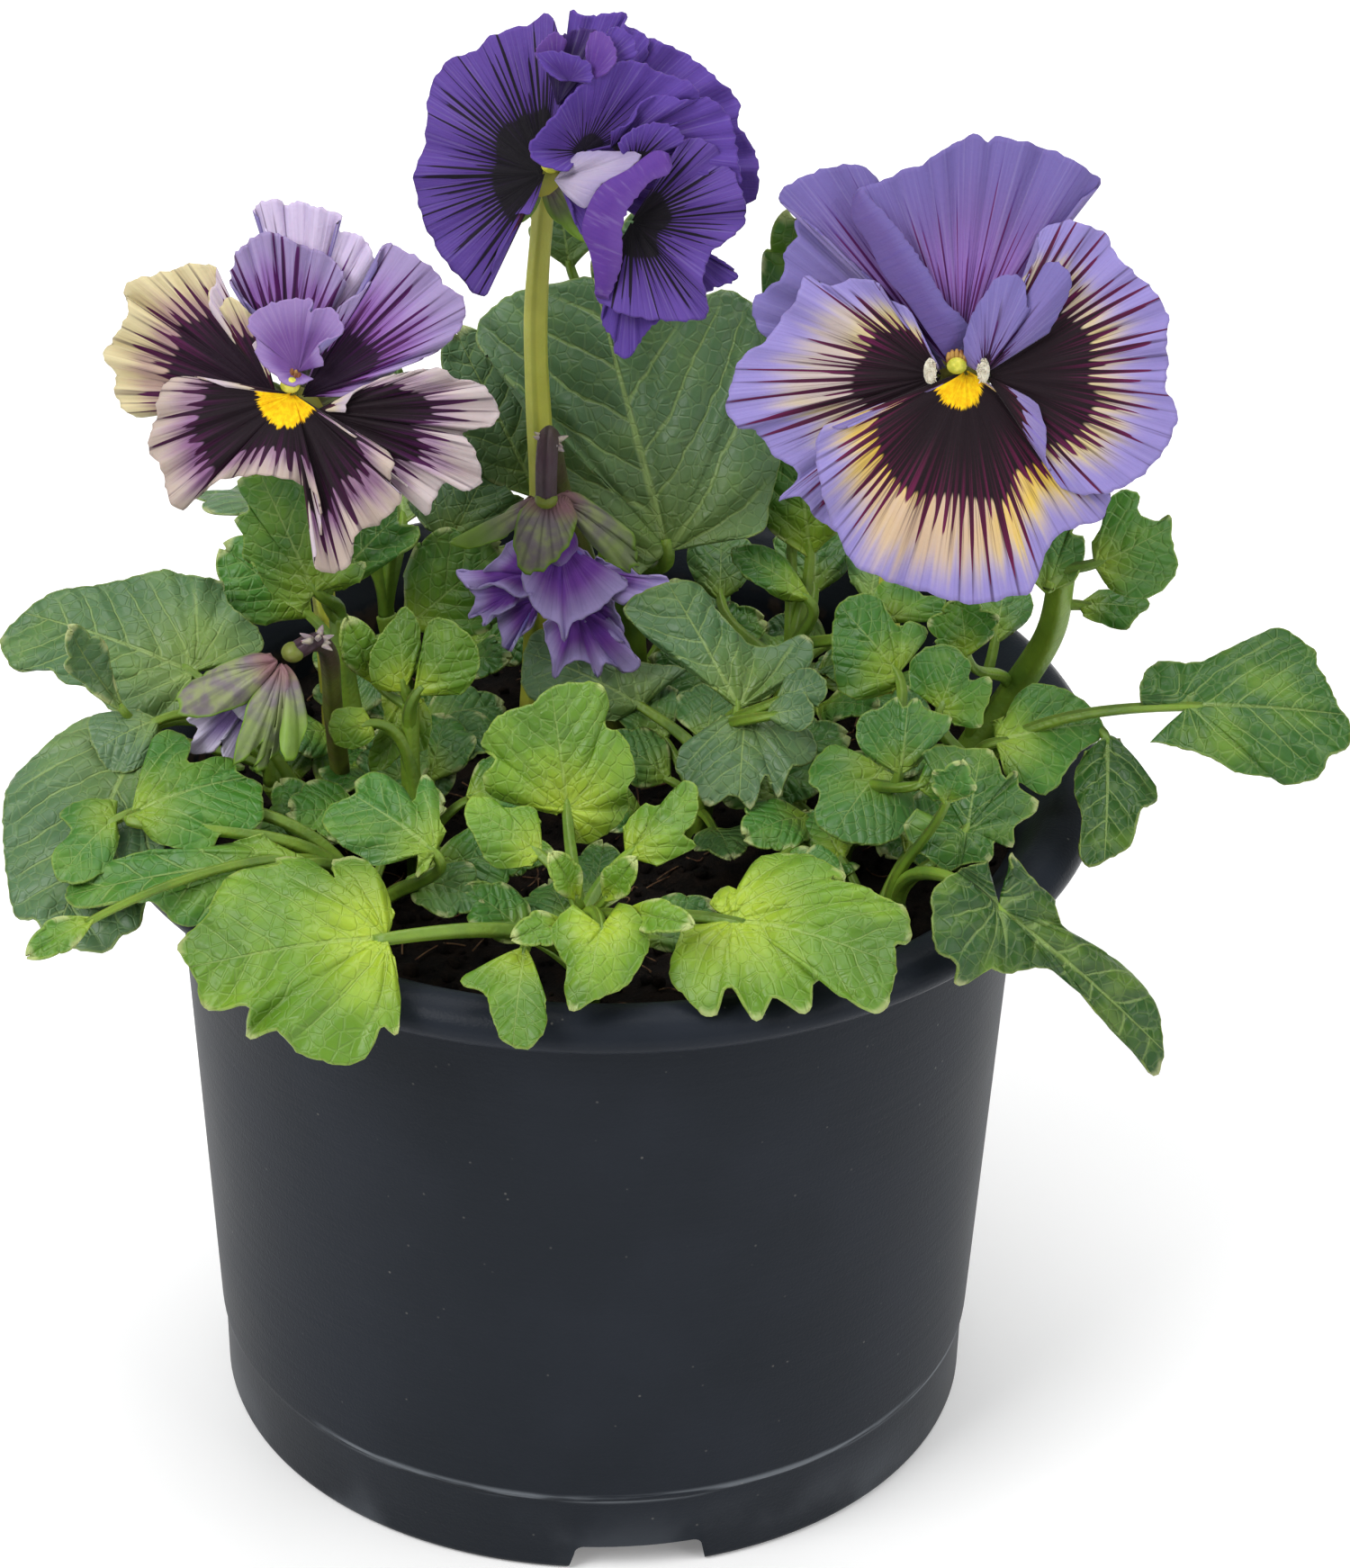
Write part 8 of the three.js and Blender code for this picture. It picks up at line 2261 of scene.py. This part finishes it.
@dataclass(frozen=True)
class Peat:
    """The peat that fills the pot: a lumpy top, loose crumbs and fibres.

    Attributes:
        top: the height of its surface.
        radius: the surface's radius.
        crumbs: how many loose crumbs lie on it.
        fibres: how many fibres lie on it.
    """

    top: float = 84.0
    radius: float = 53.7
    crumbs: int = 1500
    fibres: int = 220

    CRUMBS_TO = 52.0
    FIBRES_TO = 50

    def height(self, x: Array, y: Array) -> Array:
        """The height of the surface: four sines across each other, higher at the middle.

        Args:
            x: places.
            y: places.

        Returns:
            Heights in millimetres.
        """
        lumps = 0.8 * np.sin(0.31 * x + 0.4) * np.sin(0.27 * y + 1.1)
        lumps = lumps + 0.5 * np.sin(0.83 * x + 0.61 * y) + 0.35 * np.sin(1.7 * x - 1.3 * y + 2)
        far = np.hypot(x, y) / 53.0
        return self.top + 0.6 * lumps * (1 - smooth_step(0.9, 1.0, far))

    def make(self, chance: Chance) -> bpy.types.Object:
        """Makes the peat as one piece.

        Args:
            chance: where its random numbers come from.

        Returns:
            The piece.
        """
        mesher = Mesher()
        sides, rings = 160, 60
        angle = np.linspace(0, 2 * np.pi, sides, endpoint=False)
        radii = self.radius * np.linspace(1.0, 0.01, rings)
        x, y = radii[:, None] * np.cos(angle), radii[:, None] * np.sin(angle)
        z = self.height(x, y)
        # Below its top the peat follows the pot's inside, a little clear of it.
        low_r = np.array([1.0, 17.3, 19.7, 44.5, 47.3, 48.3, 50.6])
        low_z = np.array([2.3, 2.3, 5.7, 5.7, 7.2, 12.0, 45.0])
        low = np.stack([low_r[:, None] * np.cos(angle), low_r[:, None] * np.sin(angle),
                        np.repeat(low_z[:, None], sides, 1)], -1)
        points = np.concatenate([low, np.stack([x, y, z], -1)])
        middle = [[0, 0, low_z[0]], [0, 0, float(self.height(np.zeros(1), np.zeros(1))[0])]]
        everything = np.vstack([points.reshape(-1, 3), middle])
        mesher.add(everything, closed_rings(len(points), sides), everything[:, :2] * 0, (0, 0), 0)
        spot = self.CRUMBS_TO * np.sqrt(chance.uniform(0, 1, self.crumbs))
        turn = chance.uniform(0, 2 * np.pi, self.crumbs)
        size = 0.35 + 1.3 * chance.uniform(0, 1, self.crumbs) ** 3
        for far, way, big in zip(spot, turn, size):
            px, py = far * math.cos(way), far * math.sin(way)
            axes = np.linalg.qr(chance.normal(0, 1, (3, 3)))[0]
            axes = axes * np.sign(np.linalg.det(axes))
            at = np.array([px, py, float(self.height(np.array(px), np.array(py))) + 0.25 * big])
            mesher.ball(at, big * chance.uniform(0.55, 1.0, 3), axes, (0, 0), 0, 6)
        for _ in range(self.fibres):
            far, way = self.FIBRES_TO * math.sqrt(chance.uniform()), chance.uniform(0, 6.28)
            px, py = far * math.cos(way), far * math.sin(way)
            at = np.array([px, py, float(self.height(np.array(px), np.array(py))) + 0.4])
            run = chance.normal(0, 1, 3) * [1, 1, 0.18]
            bend = chance.normal(0, 1, 3) * [1, 1, 0.12]
            long = chance.uniform(1.5, 5.0)
            u = np.linspace(-0.5, 0.5, 7)[:, None]
            mesher.tube(at + unit(run) * u * long + bend * u**2 * 2, np.full(7, 0.13), 4, (0, 0), 1, 0.0)
        return mesher.build("peat_dressed", [FINISHES["peat"], FINISHES["fibre"]])


# ---- Studio ----------------------------------------------------------------------------------


@dataclass(frozen=True)
class Studio:
    """A pale floor, soft lamps and the camera.

    Attributes:
        lens: the focal length for a 36 mm long side.
    """

    lens: float = 165.33

    def build(self) -> None:
        """Makes the floor, the world, the lamps and the camera."""
        self.floor()
        self.world()
        self.lamp("key_softbox", (-620, -520, 900), (0, 0, 110), 620, 9.5)
        self.lamp("fill_softbox", (720, -420, 520), (0, 0, 90), 700, 3.6)
        self.lamp("top_softbox", (60, 240, 1000), (0, 0, 100), 800, 6.2)
        back = unit(-EYE_AWAY)
        right = unit(np.cross(EYE_UP, back))
        up = np.cross(back, right)
        data = bpy.data.cameras.new("camera")
        data.lens = self.lens
        data.sensor_width = 36.0
        data.clip_start, data.clip_end = 0.01, 20.0
        made = bpy.data.objects.new("camera", data)
        matrix = Matrix(np.stack([right, up, back], 1).tolist()).to_4x4()
        matrix.translation = (EYE * MM).tolist()
        made.matrix_world = matrix
        bpy.context.scene.collection.objects.link(made)
        bpy.context.scene.camera = made

    def floor(self) -> None:
        """Makes the floor: one wide pale sheet just under the pot."""
        mesh = bpy.data.meshes.new("floor")
        size = 4.0
        corners = [(-size, -size, 0), (size, -size, 0), (size, size, 0), (-size, size, 0)]
        mesh.from_pydata(corners, [], [(0, 1, 2, 3)])
        g = Graph("studio_floor")
        cloud = g.noise(3.0, 2.0)
        color = g.mix(cloud * 0.04, (0.93, 0.93, 0.93, 1), (0.9, 0.9, 0.9, 1))
        mesh.materials.append(g.finish(color, 0.8, None, 0.0, Specular_IOR_Level=0.1,
                                       Emission_Color=(1.0, 1.0, 1.0, 1.0), Emission_Strength=0.16))
        made = bpy.data.objects.new("floor", mesh)
        bpy.context.scene.collection.objects.link(made)

    def world(self) -> None:
        """Makes the white surroundings."""
        world = bpy.data.worlds.new("studio_world")
        bpy.context.scene.world = world
        world.use_nodes = True
        sky = world.node_tree.nodes["Background"]
        sky.inputs["Color"].default_value = (1.0, 1.0, 1.0, 1.0)
        sky.inputs["Strength"].default_value = 0.32

    def lamp(self, name: str, at: Vec, to: Vec, size: float, power: float) -> None:
        """Adds a square soft lamp.

        Args:
            name: of the lamp.
            at: where it stands.
            to: what it points at.
            size: the length of its side.
            power: in watts.
        """
        data = bpy.data.lights.new(name, "AREA")
        data.size = size * MM
        data.energy = power
        made = bpy.data.objects.new(name, data)
        back = unit(np.array(at, float) - np.array(to, float))
        side = unit(np.cross(UP, back))
        matrix = Matrix(np.stack([side, np.cross(back, side), back], 1).tolist()).to_4x4()
        matrix.translation = [c * MM for c in at]
        made.matrix_world = matrix
        bpy.context.scene.collection.objects.link(made)


# ---- Building --------------------------------------------------------------------------------

FINISHES: dict[str, object] = {}
EYES: tuple[Vec, Vec] = ((44.3, -10.9, 155.9), (-39.4, -9.4, 151.8))


def make_finishes() -> None:
    """Makes every finish and files it under its short name."""
    paints = {
        "gold_lip": PetalPaint(
            "petal_lip_gold", ground="9f93bc", margin="877cb6", halo="c3b78e", gold="d6b440",
            halo_amount=1.0, halo_end=0.86, spokes=0.3, warm="5c0f3c", eye=EYES[0]),
        "cream_lateral": PetalPaint(
            "petal_side_cream", ground="9c90bc", margin="857ab4", halo="b6aa98", gold="bfae78",
            halo_amount=1.0, halo_end=0.76, spokes=0.46, warm="5a1040"),
        "violet_upper": PetalPaint(
            "petal_upper_violet", ground="6c548e", margin="665a96", streak="43216e", halo="8a66ae",
            gold="8f5fb0", halo_amount=0.5, halo_end=0.6, spokes=0.6, comb=6.5, blotch="3a1048",
            warm="5a1c58"),
        "lilac_plain": PetalPaint(
            "petal_plain_lilac", ground="786a9e", margin="6f659e", streak="5a489c"),
        "blue_back": PetalPaint(
            "petal_folded_blue", ground="584880", margin="645892", streak="453488", pale=0.0),
        "blue_lobe": PetalPaint(
            "petal_lobe_blue", ground="70639c", margin="6a609a", spokes=0.3, warm="4a1a58"),
        "lilac_back": PetalPaint(
            "petal_underside_lilac", ground="8376a4", margin="786c9e", streak="6b5aa8"),
        "deep_violet": PetalPaint(
            "petal_deep_violet", ground="452b76", margin="51388a", streak="22104e", spokes=0.4,
            comb=8.0, blotch="0c0416", warm="1a0828"),
        "black_violet": PetalPaint(
            "petal_black_violet", ground="452b74", margin="543c88", streak="20104c", spokes=0.6,
            comb=8.0, blotch="08040c", warm="1c0a2c"),
        "violet_dark": PetalPaint(
            "petal_dark_violet", ground="241440", margin="382260", streak="100822"),
        "violet_rose": PetalPaint(
            "petal_rose_violet", ground="523080", margin="5f3f8c", streak="38207a"),
        "violet_back": PetalPaint(
            "petal_underside_violet", ground="452e78", margin="523a86", streak="2c1c6c"),
        "grey_lilac": PetalPaint(
            "petal_claw_grey_lilac", ground="a095ac", margin="9084a6", streak="7a6ca8"),
        "lavender_pale": PetalPaint(
            "petal_frill_lavender", ground="c6b6ce", margin="bcaecb", halo="a68cc0", gold="8a5aa0",
            halo_amount=0.7, halo_end=0.7, spokes=0.45, blotch="4a1460", warm="5a1a6c"),
        "lavender_streaked": PetalPaint(
            "petal_streaked_lavender", ground="8a68a0", margin="9080aa", halo="9a7cbc",
            gold="6c3288", halo_amount=0.7, halo_end=0.8, spokes=0.5, blotch="1c0820",
            warm="4a1052"),
        "cream_streaked": PetalPaint(
            "petal_streaked_cream", ground="b8a886", margin="c6ba92", halo="bfb084", gold="805070",
            halo_amount=0.7, halo_end=0.9, spokes=0.26, blotch="1a0618", warm="48103c"),
        "lilac_streaked": PetalPaint(
            "petal_streaked_lilac", ground="bfaea8", margin="b5a8a8", halo="cdbf9c", gold="7a4a88",
            halo_amount=0.7, halo_end=0.84, spokes=0.26, blotch="14060f", warm="3e0c3e"),
        "lilac_lip": PetalPaint(
            "petal_lip_lilac", ground="9c858f", margin="ae9e94", halo="a488b0", gold="6a2f74",
            halo_amount=0.8, halo_end=0.86, spokes=0.34, blotch="140610", warm="3a0a34",
            eye=EYES[1], eye_size=3.7),
        "violet_frill": PetalPaint(
            "petal_frill_violet", ground="6a4886", margin="8a72a6", streak="432e88"),
        "cream_back": PetalPaint(
            "petal_underside_cream", ground="c2b596", margin="b9aab4", streak="a08cae"),
        "bud_violet": PetalPaint(
            "petal_bud_violet", ground="7a44a4", margin="a596cc", streak="2c1668", halo="5a2f96",
            gold="6a3498", halo_amount=0.6, halo_end=0.55),
        "bud_white": PetalPaint(
            "petal_bud_white", ground="7e70c0", margin="bab4e0", streak="5c4ca4"),
        "bud_pale": PetalPaint(
            "petal_bud_pale", ground="8068a4", margin="c4bcd2", streak="4e3a78"),
    }
    for key, paint in paints.items():
        FINISHES[key] = paint.material()
    stem = StalkGreen("violet_stem_green", fresh="6c8a24", tint="4c6c1c", end="7c9a30", turned=0.3)
    FINISHES["leaf"] = [LeafGreen().material(), stem.material()]
    FINISHES["stalk"] = StalkGreen("violet_flower_stalk", fresh="ccd050", tint="bcc044",
                                   end="98923e", turned=0.5).material()
    FINISHES["purple_stalk"] = StalkGreen("violet_bud_stalk_purple", fresh="6d7a24", tint="5a5030",
                                          end="3a1c34", turned=0.95).material()
    FINISHES["sepal"] = SepalPaint().material()
    FINISHES["bract"] = FleckPaint("violet_bract_pale", "8d7f86", "b3ab98", 0.6).material()
    FINISHES["stigma"] = FleckPaint("violet_stigma_green", "a8a832", "d0c850", 0.45).material()
    FINISHES["anther"] = FleckPaint("violet_anther_orange", "6a3a1c", "a07a3a", 0.5).material()
    FINISHES["tuft"] = FleckPaint("violet_throat_hairs", "c4bba8", "e2dac8", 0.8).material()
    FINISHES["pot"] = PotPlastic().material()
    FINISHES["peat"] = PeatBrown().material()
    FINISHES["fibre"] = FleckPaint("violet_peat_fibre", "6e543a", "3f2c1e", 0.85).material()


def place(piece: bpy.types.Object, node: str, slot: str) -> None:
    """Puts a piece in the frame in place of a node.

    Args:
        piece: the new piece.
        node: the node that it stands for.
        slot: not used.
    """
    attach(piece, "root")
    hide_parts(node)
    LOG.info("%s: %d faces", piece.name, len(piece.data.polygons))


def main() -> None:
    """Builds the plant and the studio."""
    logging.basicConfig(level=logging.INFO, format="%(message)s")
    chance = np.random.default_rng(SEED)
    bpy.context.scene.view_settings.view_transform = "Standard"
    make_finishes()
    Studio().build()
    place(Pot().make(), "pot", "pot_plastic")
    place(Peat().make(chance), "peat", "peat")
    slots = {Age.YOUNG: "young_leaf", Age.GROWN: "mid_leaf", Age.OLD: "old_leaf"}
    for shoot in SHOOTS:
        place(shoot.make(chance), shoot.name, slots[shoot.age])
    for bloom, stalk in zip(BLOOMS, STALKS):
        place(stalk.make(chance, bloom), stalk.name, "stalk")
    for stalk in (HANGING_STALK, LEFT_STALK):
        place(stalk.make(chance), stalk.name, "stalk")
    kinds = {"right_bloom": "lavender_petal", "middle_bloom": "violet_petal", "left_bloom": "pale_petal"}
    for bloom in BLOOMS:
        place(bloom.make(chance), bloom.name, kinds[bloom.name])
    for bud, kind in zip(BUDS, ("violet_petal", "pale_petal")):
        place(bud.make(chance), bud.name, kind)
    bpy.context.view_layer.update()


if __name__ == "__main__":
    main()
